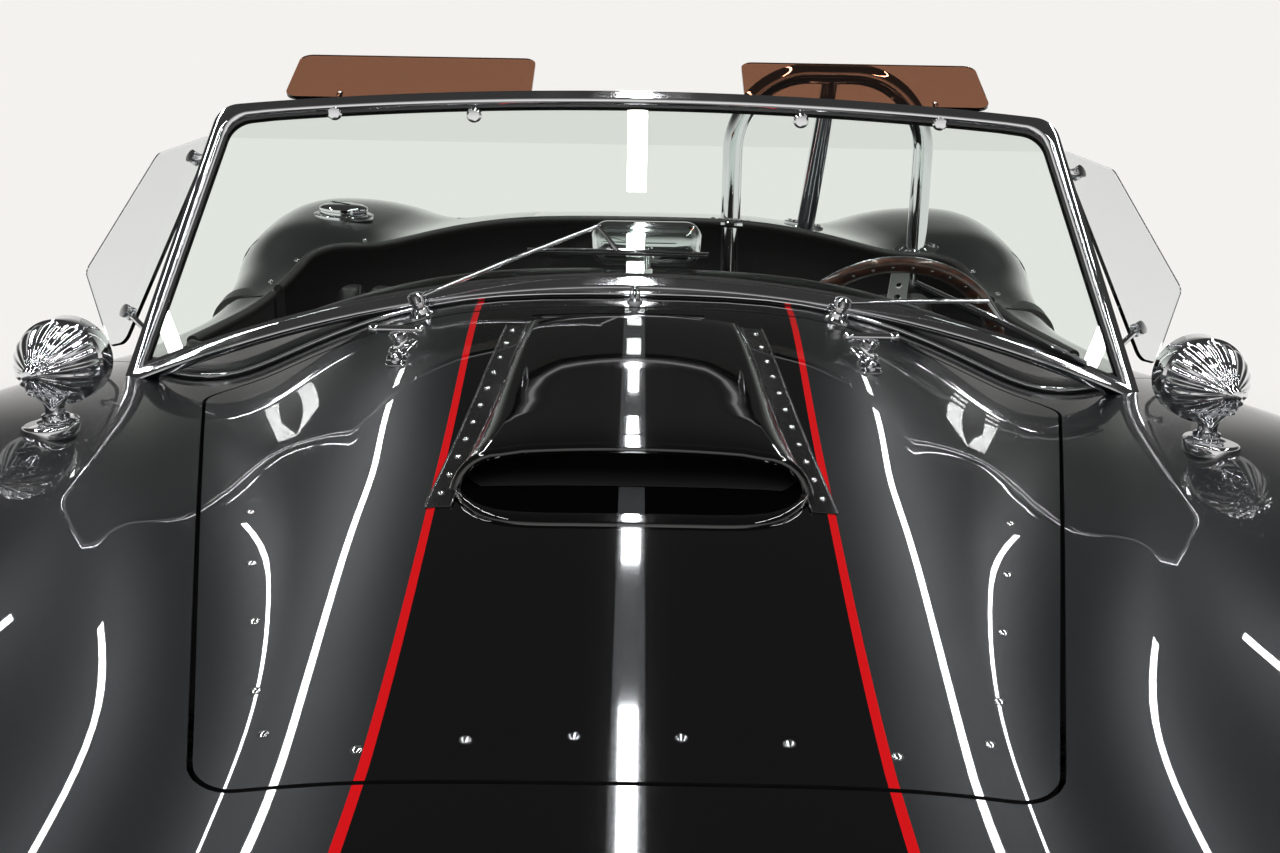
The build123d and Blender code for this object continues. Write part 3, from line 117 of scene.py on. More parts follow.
@dataclass(frozen=True)
class Finish:
    """A surface finish, made once as a material and shared by the pieces that have it."""

    name: str
    slot: str

    def material(self) -> bpy.types.Material:
        """The finish's material, built on its first use."""
        known = bpy.data.materials.get(self.name)
        if known:
            return known
        made = bpy.data.materials.new(self.name)
        made.use_nodes = True
        tree = made.node_tree
        tree.nodes.clear()
        shader = add_node(tree, "ShaderNodeBsdfPrincipled")
        add_node(tree, "ShaderNodeOutputMaterial", {"Surface": shader.outputs[0]})
        self.look(tree, shader)
        return made

    def look(self, tree: NodeTree, shader: Node) -> None:
        """Set the shader's sockets and patterns."""
        raise NotImplementedError

    def grain(self, tree: NodeTree, size_mm: float, detail: float = 2.0,
              stretch: tuple[float, float, float] = (1, 1, 1)) -> NodeSocket:
        """Noise whose blotches are about size_mm across, on the piece's own coordinates.

        Args:
            tree: the material's tree.
            size_mm: width of one blotch.
            detail: octaves of finer noise.
            stretch: scale along each axis.

        Returns:
            The noise factor socket.
        """
        place = add_node(tree, "ShaderNodeTexCoord").outputs["Object"]
        turned = add_node(tree, "ShaderNodeMapping", {"Vector": place, "Scale": stretch})
        noise = add_node(tree, "ShaderNodeTexNoise", {
            "Vector": turned.outputs[0], "Scale": 1000 / size_mm, "Detail": detail,
        })
        return noise.outputs["Fac"]

    def rough_range(self, tree: NodeTree, fac: NodeSocket, low: float, high: float,
                    shader: Node) -> None:
        """Let the roughness wander between two values with a pattern.

        Args:
            tree: the material's tree.
            fac: pattern from 0 to 1.
            low: roughness at 0.3 of the pattern.
            high: roughness at 0.7 of the pattern.
            shader: the surface shader.
        """
        span = add_node(tree, "ShaderNodeMapRange", {
            "Value": fac, "From Min": 0.3, "From Max": 0.7, "To Min": low, "To Max": high,
        })
        tree.links.new(span.outputs[0], shader.inputs["Roughness"])

    def two_tone(self, tree: NodeTree, fac: NodeSocket, low: str, high: str,
                 shader: Node) -> None:
        """Let the colour wander between two with a pattern.

        Args:
            tree: the material's tree.
            fac: pattern from 0 to 1.
            low: colour at 0 of the pattern.
            high: colour at 1 of the pattern.
            shader: the surface shader.
        """
        mixed = add_node(tree, "ShaderNodeMix", {0: fac, 6: linear(low), 7: linear(high)}, data_type="RGBA")
        tree.links.new(mixed.outputs[2], shader.inputs["Base Color"])

    def bump(self, tree: NodeTree, height: NodeSocket, depth_mm: float, strength: float,
             shader: Node) -> None:
        """Raise the surface by a pattern.

        Args:
            tree: the material's tree.
            height: pattern from 0 to 1.
            depth_mm: height of the relief.
            strength: how much of it shows.
            shader: the surface shader.
        """
        relief = add_node(tree, "ShaderNodeBump", {"Height": height, "Distance": depth_mm * MM, "Strength": strength})
        tree.links.new(relief.outputs[0], shader.inputs["Normal"])


@dataclass(frozen=True)
class StripedPaint(Finish):
    """Metallic base coat with fine flake under a deep clear coat, and the twin stripes along the car.

    The eye sees a dark grey that is nearly black face on, mirror sharp streaks of light and a faint sparkle.
    """

    colour: str = "212427"
    stripe: str = "060607"
    centre: str = "5C5E60"
    edge: str = "C4070E"
    nose_half: float = 179.0
    cowl_half: float = 195.0
    deck_half: float = 222.0
    edge_w: float = 7.5
    centre_half: float = 12.0

    def look(self, tree: NodeTree, shader: Node) -> None:
        """Mix the stripes over the flake by the distance from the car's middle."""
        place = add_node(tree, "ShaderNodeTexCoord").outputs["Object"]
        axes = add_node(tree, "ShaderNodeSeparateXYZ", {0: place})
        across = add_node(tree, "ShaderNodeMath", {0: axes.outputs["X"]}, operation="ABSOLUTE").outputs[0]
        front = add_node(tree, "ShaderNodeMapRange", {
            "Value": axes.outputs["Y"], "From Min": -1.25, "From Max": -0.48,
            "To Min": self.nose_half * MM, "To Max": self.cowl_half * MM,
        })
        rear = add_node(tree, "ShaderNodeMapRange", {
            "Value": axes.outputs["Y"], "From Min": -0.3, "From Max": 0.8,
            "To Min": 0.0, "To Max": (self.deck_half - self.cowl_half) * MM,
        })
        half = add_node(tree, "ShaderNodeMath", {0: front.outputs[0], 1: rear.outputs[0]}, operation="ADD").outputs[0]
        inner = add_node(tree, "ShaderNodeMath", {0: half, 1: self.edge_w * MM}, operation="SUBTRACT").outputs[0]
        in_edge = add_node(tree, "ShaderNodeMath", {0: across, 1: half}, operation="LESS_THAN").outputs[0]
        in_black = add_node(tree, "ShaderNodeMath", {0: across, 1: inner}, operation="LESS_THAN").outputs[0]
        in_line = add_node(tree, "ShaderNodeMath", {0: across, 1: self.centre_half * MM},
                           operation="LESS_THAN").outputs[0]
        flake = add_node(tree, "ShaderNodeTexVoronoi", {"Vector": place, "Scale": 1000 / 1.1})
        sparkle = add_node(tree, "ShaderNodeMapRange", {
            "Value": flake.outputs["Color"], "From Min": 0.0, "From Max": 1.0, "To Min": 0.88, "To Max": 1.12,
        })
        base = add_node(tree, "ShaderNodeVectorMath", {0: linear(self.colour)[:3], "Scale": sparkle.outputs[0]},
                        operation="SCALE")
        colour = base.outputs[0]
        metal = 0.75
        for mask, code, shine in ((in_edge, self.edge, 0.0), (in_black, self.stripe, 0.0),
                                  (in_line, self.centre, 0.6)):
            mixed = add_node(tree, "ShaderNodeMix", {0: mask, 6: colour, 7: linear(code)}, data_type="RGBA")
            colour = mixed.outputs[2]
            level = add_node(tree, "ShaderNodeMix", {0: mask, 2: metal, 3: shine}, data_type="FLOAT")
            metal = level.outputs[0]
        tree.links.new(colour, shader.inputs["Base Color"])
        tree.links.new(metal, shader.inputs["Metallic"])
        haze = add_node(tree, "ShaderNodeMapRange",
                        {"Value": self.grain(tree, 260.0), "To Min": 0.29, "To Max": 0.37})
        gloss = add_node(tree, "ShaderNodeMix", {0: in_edge, 2: haze.outputs[0], 3: 0.04}, data_type="FLOAT")
        tree.links.new(gloss.outputs[0], shader.inputs["Roughness"])
        set_inputs(shader, {"IOR": 1.5, "Coat Weight": 1.0, "Coat Roughness": 0.015, "Coat IOR": 1.55})


@dataclass(frozen=True)
class PlainPaint(Finish):
    """One-colour paint or powder coat: an even colour with a slight orange peel."""

    colour: str = "101011"
    roughness: float = 0.35
    coat: float = 0.0
    peel_mm: float = 2.5

    def look(self, tree: NodeTree, shader: Node) -> None:
        """Even colour, wandering gloss and orange peel."""
        set_inputs(shader, {"Base Color": linear(self.colour), "Coat Weight": self.coat, "Coat Roughness": 0.04})
        self.rough_range(tree, self.grain(tree, 90.0), self.roughness * 0.85, self.roughness * 1.15, shader)
        self.bump(tree, self.grain(tree, self.peel_mm, 0.0), 0.05, 0.25, shader)


@dataclass(frozen=True)
class PolishedMetal(Finish):
    """Plated or polished metal: a mirror with the faint haze that wiping leaves."""

    colour: str = "E4E5E8"
    roughness: float = 0.045
    haze_mm: float = 45.0

    def look(self, tree: NodeTree, shader: Node) -> None:
        """Full metal, with haze in the roughness only."""
        set_inputs(shader, {"Base Color": linear(self.colour), "Metallic": 1.0})
        self.rough_range(tree, self.grain(tree, self.haze_mm, 4.0), self.roughness * 0.6, self.roughness * 1.5,
                         shader)


@dataclass(frozen=True)
class CastMetal(Finish):
    """Metal as it leaves a sand mould or a blasting cabinet: a matt, slightly pitted grey."""

    colour: str = "9A9C9E"
    roughness: float = 0.42
    pit_mm: float = 1.6
    relief_mm: float = 0.12

    def look(self, tree: NodeTree, shader: Node) -> None:
        """Mottled grey with a fine skin."""
        mottle = self.grain(tree, 26.0, 5.0)
        shade = add_node(tree, "ShaderNodeMapRange", {"Value": mottle, "To Min": 0.82, "To Max": 1.12})
        tint = add_node(tree, "ShaderNodeVectorMath", {0: linear(self.colour)[:3], "Scale": shade.outputs[0]},
                        operation="SCALE")
        tree.links.new(tint.outputs[0], shader.inputs["Base Color"])
        set_inputs(shader, {"Metallic": 1.0})
        self.rough_range(tree, mottle, self.roughness * 0.8, self.roughness * 1.2, shader)
        self.bump(tree, self.grain(tree, self.pit_mm, 3.0), self.relief_mm, 0.5, shader)


@dataclass(frozen=True)
class BrushedMetal(Finish):
    """Sheet or tube that was brushed one way: long fine scratches that smear the light."""

    colour: str = "B9BABC"
    roughness: float = 0.26
    along: tuple[float, float, float] = (1.0, 0.03, 1.0)

    def look(self, tree: NodeTree, shader: Node) -> None:
        """Stretched noise in roughness and relief."""
        scratch = self.grain(tree, 0.9, 2.0, self.along)
        set_inputs(shader, {"Base Color": linear(self.colour), "Metallic": 1.0})
        self.rough_range(tree, scratch, self.roughness * 0.7, self.roughness * 1.4, shader)
        self.bump(tree, scratch, 0.03, 0.4, shader)


@dataclass(frozen=True)
class ClearSheet(Finish):
    """Glass or acrylic sheet, polished on both faces; its edge shows more of its tint than its face."""

    colour: str = "F4FAF6"
    index: float = 1.5
    roughness: float = 0.0

    def look(self, tree: NodeTree, shader: Node) -> None:
        """Full transmission with a wiping haze too faint to blur what is behind."""
        set_inputs(shader, {"Base Color": linear(self.colour), "Transmission Weight": 1.0, "IOR": self.index})
        self.rough_range(tree, self.grain(tree, 120.0, 3.0), self.roughness, self.roughness + 0.006, shader)


@dataclass(frozen=True)
class MouldedLens(Finish):
    """Moulded lamp lens with a pattern of small prisms inside: bright, deep colour that breaks up the light."""

    colour: str = "C81408"
    prism_mm: float = 5.0

    def look(self, tree: NodeTree, shader: Node) -> None:
        """Coloured, half clear plastic over a cell pattern."""
        set_inputs(shader, {"Base Color": linear(self.colour), "Transmission Weight": 0.55, "IOR": 1.49,
                            "Coat Weight": 1.0, "Coat Roughness": 0.02})
        self.rough_range(tree, self.grain(tree, 30.0), 0.10, 0.18, shader)
        place = add_node(tree, "ShaderNodeTexCoord").outputs["Object"]
        cells = add_node(tree, "ShaderNodeTexVoronoi", {"Vector": place, "Scale": 1000 / self.prism_mm})
        self.bump(tree, cells.outputs["Distance"], 0.8, 0.7, shader)


@dataclass(frozen=True)
class Rubber(Finish):
    """Moulded rubber: a soft dark grey with a bloom on it."""

    colour: str = "131313"
    roughness: float = 0.62
    skin_mm: float = 1.2

    def look(self, tree: NodeTree, shader: Node) -> None:
        """Dusty mottle over a fine moulded skin."""
        bloom = self.grain(tree, 38.0, 5.0)
        self.two_tone(tree, bloom, self.colour, "202020", shader)
        self.rough_range(tree, bloom, self.roughness * 0.9, self.roughness * 1.15, shader)
        self.bump(tree, self.grain(tree, self.skin_mm), 0.08, 0.5, shader)


@dataclass(frozen=True)
class VarnishedWood(Finish):
    """Laminated hardwood under gloss varnish: brown bands with darker pores under a clear skin."""

    colour: str = "6E3417"
    dark: str = "38190A"
    ring_mm: float = 2.6

    def look(self, tree: NodeTree, shader: Node) -> None:
        """Wavy growth rings bent by noise, and fine pores."""
        place = add_node(tree, "ShaderNodeTexCoord").outputs["Object"]
        rings = add_node(tree, "ShaderNodeTexWave", {
            "Vector": place, "Scale": 1000 / (self.ring_mm * 20), "Distortion": 6.0, "Detail": 3.0,
            "Detail Scale": 2.0,
        }, bands_direction="Z")
        pores = self.grain(tree, 0.8, 2.0, (0.15, 1.0, 1.0))
        blend = add_node(tree, "ShaderNodeMath", {0: rings.outputs["Fac"], 1: pores}, operation="MULTIPLY")
        self.two_tone(tree, blend.outputs[0], self.dark, self.colour, shader)
        self.rough_range(tree, pores, 0.3, 0.42, shader)
        set_inputs(shader, {"Coat Weight": 1.0, "Coat Roughness": 0.03})
        self.bump(tree, pores, 0.03, 0.25, shader)


@dataclass(frozen=True)
class Hide(Finish):
    """Grained leather or its coated cloth: pebbles a millimetre or two across with soft creases between."""

    colour: str = "141314"
    pebble_mm: float = 1.7

    def look(self, tree: NodeTree, shader: Node) -> None:
        """Cell pattern as relief and as a change of gloss."""
        place = add_node(tree, "ShaderNodeTexCoord").outputs["Object"]
        pebbles = add_node(tree, "ShaderNodeTexVoronoi", {"Vector": place, "Scale": 1000 / self.pebble_mm},
                           feature="DISTANCE_TO_EDGE")
        worn = self.grain(tree, 140.0, 3.0)
        self.two_tone(tree, worn, self.colour, "1E1C1B", shader)
        self.rough_range(tree, worn, 0.38, 0.5, shader)
        self.bump(tree, pebbles.outputs["Distance"], 0.25, 0.6, shader)


@dataclass(frozen=True)
class Pile(Finish):
    """Cut pile carpet: matt tufts with a sheen that catches light at their tips, their colour painted lighter on the
    raised tips and darker in the dips between.
    """

    colour: str = "0E0E0F"
    tuft_mm: float = 2.2

    def look(self, tree: NodeTree, shader: Node) -> None:
        """Tuft noise in relief, with sheen, and the same noise in colour as painted shade in the dips between the
        tufts.
        """
        tufts = self.grain(tree, self.tuft_mm, 4.0)
        # Colour follows the tuft relief: painted shade between the tufts and painted highlight on their tips.
        self.two_tone(tree, tufts, self.colour, "242424", shader)
        set_inputs(shader, {"Roughness": 0.95, "Sheen Weight": 0.3})
        self.bump(tree, tufts, 1.4, 0.8, shader)


@dataclass(frozen=True)
class PrintedFace(Finish):
    """Matt screen print on a dial plate or a lamp's ceramic: flat, even and slightly soft."""

    colour: str = "0B0B0B"

    def look(self, tree: NodeTree, shader: Node) -> None:
        """Even colour with a fine ink texture."""
        set_inputs(shader, {"Base Color": linear(self.colour)})
        self.rough_range(tree, self.grain(tree, 6.0), 0.45, 0.6, shader)


BODY_PAINT = StripedPaint("metallic_paint_clear_coat", "body_paint")
CHASSIS_PAINT = PlainPaint("chassis_enamel", "black_paint", roughness=0.4)
GLOSS_BLACK = PlainPaint("gloss_black_enamel", "black_paint", "060607", 0.25, 1.0)
# Matt black of painted shade: the plate inside the scoop is painted shade, and the disc in the pipe tips is soot and
# painted shade.
SHADE_AND_SOOT_BLACK = PlainPaint("shade_and_soot_matt_black", "black_paint", "050505", 0.8)
CHROME = PolishedMetal("chrome_plate", "chrome")
MIRROR_GLASS = PolishedMetal("silvered_mirror", "chrome", "F2F4F4", 0.012, 80.0)
REFLECTOR = PolishedMetal("aluminised_reflector", "chrome", "F0F0F0", 0.09)
STEEL_TUBE = BrushedMetal("brushed_steel", "bright_metal")
SPRING_ENAMEL = PlainPaint("spring_enamel", "black_paint", "1B1C1F", 0.3, 0.4)
RIVET_STEEL = PolishedMetal("rivet_steel", "bright_metal", "D9DADB", 0.12)
CAST_WHEEL = CastMetal("cast_aluminium", "cast_alloy", "B4B6B8", 0.34)
TURNED_WHEEL = BrushedMetal("turned_aluminium", "cast_alloy", "D3D4D6", 0.2, (0.05, 1.0, 1.0))
IRON = CastMetal("cast_iron", "cast_metal", "5B5C5E", 0.55, 2.2, 0.25)
WINDSCREEN = ClearSheet("laminated_glass", "clear_glass", "F3FBF6", 1.52)
ACRYLIC = ClearSheet("clear_acrylic", "clear_plastic", "FBFEFE", 1.49)
BROWN_SHEET = ClearSheet("tinted_acrylic", "tinted_plastic", "96674F", 1.49)
LAMP_GLASS = ClearSheet("fluted_lamp_glass", "clear_glass", "F8FCFB", 1.5, 0.01)
AMBER = MouldedLens("amber_lens", "amber_lens", "F0780A")
RED = MouldedLens("red_lens", "red_lens", "C41109")
TYRE_RUBBER = Rubber("tyre_rubber", "tyre")
SEAL_RUBBER = Rubber("seal_rubber", "black_paint", "0B0B0B", 0.45, 0.8)
WOOD = VarnishedWood("varnished_wood", "wood")
LEATHER = Hide("seat_leather", "black_leather")
TRIM = Hide("trim_cloth", "black_trim", "121112", 1.1)
CARPET = Pile("cut_pile_carpet", "carpet")
DIAL = PrintedFace("dial_print_black", "gauge_face")
DIAL_WHITE = PrintedFace("dial_print_white", "gauge_face", "E4E2DA")


def make_object(name: str, points: list, faces: list, sharp: float = 35.0) -> Object:
    """Make a mesh object at the origin.

    Args:
        name: the piece's name.
        points: places in metres.
        faces: corner indices of each face.
        sharp: edges steeper than this many degrees stay sharp.

    Returns:
        The object.
    """
    mesh = bpy.data.meshes.new(name)
    mesh.from_pydata([tuple(p) for p in points], [], faces)
    mesh.update()
    made = bpy.data.objects.new(name, mesh)
    bpy.context.scene.collection.objects.link(made)
    soften(made, sharp)
    return made


def soften(piece: Object, sharp: float) -> None:
    """Smooth shading with sharp edges over an angle in degrees."""
    piece.data.shade_smooth()
    piece.data.set_sharp_from_angle(angle=math.radians(sharp))


def tidy(piece: Object, sharp: float = 35.0) -> Object:
    """Merge doubles and turn faces outwards.

    Args:
        piece: a closed mesh.
        sharp: edges steeper than this stay sharp.

    Returns:
        The same object.
    """
    work = bmesh.new()
    work.from_mesh(piece.data)
    bmesh.ops.remove_doubles(work, verts=work.verts, dist=0.00002)
    bmesh.ops.recalc_face_normals(work, faces=work.faces)
    work.to_mesh(piece.data)
    work.free()
    soften(piece, sharp)
    return piece


def bake(piece: Object) -> Object:
    """Turn the object's modifiers into plain mesh."""
    graph = bpy.context.evaluated_depsgraph_get()
    made = bpy.data.meshes.new_from_object(piece.evaluated_get(graph))
    old = piece.data
    piece.modifiers.clear()
    piece.data = made
    bpy.data.meshes.remove(old)
    return piece


def rounded(piece: Object, width: float, steps: int = 2, sharp: float = 40.0) -> Object:
    """Round the piece's sharp edges.

    Args:
        piece: the object.
        width: size of the rounding in millimetres.
        steps: faces across the rounding.
        sharp: edges steeper than this are rounded.

    Returns:
        The same object, with plain mesh.
    """
    edge = piece.modifiers.new("edge", "BEVEL")
    edge.width = width * MM
    edge.segments = steps
    edge.limit_method = "ANGLE"
    edge.angle_limit = math.radians(sharp)
    bake(piece)
    soften(piece, 60.0)
    flat = piece.modifiers.new("flat", "WEIGHTED_NORMAL")
    flat.keep_sharp = True
    return bake(piece)


def merged(name: str, pieces: list[Object], bare: bool = False) -> Object:
    """Join pieces into one object.

    Args:
        name: name of the result.
        pieces: objects that are used up.
        bare: drop their materials, so that dress gives one to all.

    Returns:
        The joined object.
    """
    with bpy.context.temp_override(active_object=pieces[0], object=pieces[0], selected_objects=pieces,
                                   selected_editable_objects=pieces):
        bpy.ops.object.join()
    pieces[0].name = name
    if bare:
        pieces[0].data.materials.clear()
    return pieces[0]


def mirrored(piece: Object, name: str) -> Object:
    """Copy a piece to the car's other side, with its faces still outwards.

    Args:
        piece: the object on one side.
        name: name of the copy.

    Returns:
        The copy.
    """
    copy = bpy.data.objects.new(name, piece.data.copy())
    bpy.context.scene.collection.objects.link(copy)
    for point in copy.data.vertices:
        point.co.x = -point.co.x
    copy.data.flip_normals()
    copy.data.update()
    return copy


def flipped(piece: Object) -> Object:
    """Put a piece's mirror image in its place, under the same name."""
    name = piece.name
    twin = mirrored(piece, name + "_m")
    bpy.data.objects.remove(piece)
    twin.name = name
    return twin


def both_sides(name: str, piece: Object) -> Object:
    """Join a piece with its mirror image.

    Args:
        name: name of the result.
        piece: object that is used up.

    Returns:
        The joined object.
    """
    return merged(name, [piece, mirrored(piece, "twin")])


def dress(piece: Object, finish: Finish, body: str, *nodes: str) -> None:
    """Give a piece its finish and its body.

    Args:
        piece: the object.
        finish: what it is made of, where it has no material yet.
        body: the body it rides on.
        nodes: solid nodes that it stands for.
    """
    if not piece.data.materials:
        piece.data.materials.append(finish.material())
    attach(piece, body)
    if nodes:
        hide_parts(*nodes)


@dataclass
class Axes:
    """Origin and two directions of a flat working plane; the third is across both."""

    origin: Vector
    x: Vector
    y: Vector

    @property
    def z(self) -> Vector:
        """Direction out of the plane."""
        return self.x.cross(self.y).normalized()

    def at(self, u: float, v: float, w: float = 0.0) -> Vector:
        """Place in metres of plane coordinates in millimetres."""
        return self.origin + (self.x * u + self.y * v + self.z * w) * MM

    @staticmethod
    def about(origin: Vector, axis: Vector) -> "Axes":
        """Working plane square to an axis."""
        turn = axis.normalized().to_track_quat("Z", "Y")
        return Axes(origin, turn @ OUT, turn @ BACK)


def box_outline(x: tuple[float, float], y: tuple[float, float]) -> list[tuple[float, float]]:
    """Rectangle between two pairs of limits."""
    return [(x[0], y[0]), (x[1], y[0]), (x[1], y[1]), (x[0], y[1])]


def corner_arc(here: Vector, back: Vector, ahead: Vector, reach: float, steps: int) -> list[Vector]:
    """Arc that takes a corner's place.

    Args:
        here: the corner.
        back: direction to the point before it.
        ahead: direction to the point after it.
        reach: how far from the corner the arc starts and ends.
        steps: segments of the arc.

    Returns:
        Points of the arc.
    """
    start, end = here + back.normalized() * reach, here + ahead.normalized() * reach
    weight = math.sin(back.angle(ahead) / 2)
    points = []
    for k in range(steps + 1):
        t = k / steps
        down = (1 - t) ** 2 + 2 * weight * t * (1 - t) + t ** 2
        points.append((start * (1 - t) ** 2 + here * (2 * weight * t * (1 - t)) + end * t ** 2) / down)
    return points


def arc_reach(back: Vector, ahead: Vector, radius: float) -> float:
    """How far from a corner a radius starts, where its sides are long enough."""
    return min(radius / math.tan(back.angle(ahead) / 2), back.length * 0.49, ahead.length * 0.49)


def rounded_outline(corners: list[tuple[float, float]], radius: float, steps: int = 6) -> list[tuple[float, float]]:
    """Closed outline with its corners rounded.

    Args:
        corners: plane points in order.
        radius: corner radius.
        steps: segments in each corner.

    Returns:
        Points of the rounded outline.
    """
    points = []
    for i, here in enumerate(corners):
        middle = Vector(here)
        back = Vector(corners[i - 1]) - middle
        ahead = Vector(corners[(i + 1) % len(corners)]) - middle
        points += corner_arc(middle, back, ahead, arc_reach(back, ahead, radius), steps)
    return [(spot.x, spot.y) for spot in points]


def rounded_path(corners: list[Vector], radius: float, steps: int = 6) -> list[Vector]:
    """Open path with its inner corners rounded.

    Args:
        corners: places in metres.
        radius: bend radius in millimetres.
        steps: segments in each bend.

    Returns:
        Places along the path.
    """
    points = [corners[0]]
    for before, here, after in zip(corners, corners[1:], corners[2:]):
        back, ahead = before - here, after - here
        points += corner_arc(here, back, ahead, arc_reach(back, ahead, radius * MM), steps)
    return points + [corners[-1]]


def slab(name: str, axes: Axes, outline: list[tuple[float, float]], low: float, high: float,
         edge: float = 0.0) -> Object:
    """Plate or prism over a plane outline.

    Args:
        name: the piece's name.
        axes: working plane.
        outline: plane points in millimetres.
        low: lower face along the plane's normal.
        high: upper face.
        edge: rounding of its edges.

    Returns:
        The closed object.
    """
    count = len(outline)
    points = [axes.at(u, v, low) for u, v in outline] + [axes.at(u, v, high) for u, v in outline]
    faces = [tuple(range(count - 1, -1, -1)), tuple(range(count, 2 * count))]
    faces += [(i, (i + 1) % count, count + (i + 1) % count, count + i) for i in range(count)]
    made = tidy(make_object(name, points, faces))
    if edge:
        rounded(made, edge)
    return made


def lathe(name: str, origin: Vector, axis: Vector, profile: list[tuple[float, float]], segments: int = 48,
          sharp: float = 35.0, closed: bool = False) -> Object:
    """Turned piece.

    Args:
        name: the piece's name.
        origin: foot of its axis in metres.
        axis: direction of its axis.
        profile: radius and height pairs in millimetres; a radius of 0 is a pole.
        segments: faces round the axis.
        sharp: edges steeper than this stay sharp.
        closed: the profile is a closed loop.

    Returns:
        The object, with its faces outwards.
    """
    axes = Axes.about(origin, axis)
    points: list[Vector] = []
    rings: list[list[int]] = []
    for radius, height in profile:
        if radius <= 1e-6:
            rings.append([len(points)])
            points.append(axes.at(0, 0, height))
            continue
        rings.append(list(range(len(points), len(points) + segments)))
        for k in range(segments):
            angle = 2 * math.pi * k / segments
            points.append(axes.at(radius * math.cos(angle), radius * math.sin(angle), height))
    faces = []
    pairs = list(zip(rings, rings[1:])) + ([(rings[-1], rings[0])] if closed else [])
    for low, high in pairs:
        for k in range(segments):
            m = (k + 1) % segments
            if len(low) == 1 and len(high) == 1:
                continue
            if len(low) == 1:
                faces.append((low[0], high[m], high[k]))
            elif len(high) == 1:
                faces.append((low[k], low[m], high[0]))
            else:
                faces.append((low[k], low[m], high[m], high[k]))
    for ring, flip in ((rings[0], True), (rings[-1], False)):
        if len(ring) > 1 and not closed:
            faces.append(tuple(reversed(ring)) if flip else tuple(ring))
    return tidy(make_object(name, points, faces, sharp), sharp)


def skinned(name: str, rings: list[list[Vector]], sharp: float = 35.0, closed: bool = True,
            caps: bool = True) -> Object:
    """Surface through rings of equal count.

    Args:
        name: the piece's name.
        rings: rows of places in metres.
        sharp: edges steeper than this stay sharp.
        closed: each row is a loop.
        caps: the first and last loops are closed with a face.

    Returns:
        The object, with its faces outwards.
    """
    count = len(rings[0])
    points = [p for ring in rings for p in ring]
    faces = []
    for i in range(len(rings) - 1):
        for k in range(count if closed else count - 1):
            m = (k + 1) % count
            faces.append((i * count + k, i * count + m, (i + 1) * count + m, (i + 1) * count + k))
    if caps and closed:
        faces.append(tuple(range(count - 1, -1, -1)))
        faces.append(tuple((len(rings) - 1) * count + k for k in range(count)))
    return tidy(make_object(name, points, faces, sharp), sharp)


def carve(piece: Object, cutters: list[Object], keep: bool = False) -> Object:
    """Cut a closed piece with closed cutters, which are used up.

    Args:
        piece: the object to cut.
        cutters: cutting objects.
        keep: what is inside the cutters stays, where it would go.

    Returns:
        The same object, with plain mesh.
    """
    for cutter in cutters:
        cut = piece.modifiers.new("cut", "BOOLEAN")
        cut.operation = "INTERSECT" if keep else "DIFFERENCE"
        cut.solver = "MANIFOLD"
        cut.object = cutter
    bake(piece)
    for cutter in cutters:
        bpy.data.objects.remove(cutter)
    return piece


class Shape(Enum):
    """What a repeated small piece is made from."""

    DOME = ("GeometryNodeMeshUVSphere", {"Segments": 14, "Rings": 8, "Radius": 0.5})
    HEXAGON = ("GeometryNodeMeshCylinder", {"Vertices": 6, "Radius": 0.5, "Depth": 1.0})
    PIN = ("GeometryNodeMeshCylinder", {"Vertices": 20, "Radius": 0.5, "Depth": 1.0})
    BLOCK = ("GeometryNodeMeshCube", {"Size": (1.0, 1.0, 1.0)})


@dataclass
class Mark:
    """Where one repeated piece stands: its place, the way it faces, a direction along it and its stretch."""

    place: Vector
    facing: Vector
    along: Vector = field(default_factory=lambda: Vector((1, 0, 0)))
    stretch: Vector = field(default_factory=lambda: Vector((1, 1, 1)))


def bolt_ring(axes: Axes, radius: float, height: float, count: int, up: Vector, phase: float = 0.0) -> list[Mark]:
    """Marks in a ring about a plane's middle.

    Args:
        axes: the plane.
        radius: radius of the ring.
        height: height over the plane.
        count: marks in the ring.
        up: direction each mark faces.
        phase: turn of the first mark, in steps of the ring.

    Returns:
        The marks.
    """
    turns = [2 * math.pi / count * (k + phase) for k in range(count)]
    return [Mark(axes.at(math.cos(a) * radius, math.sin(a) * radius, height), up) for a in turns]


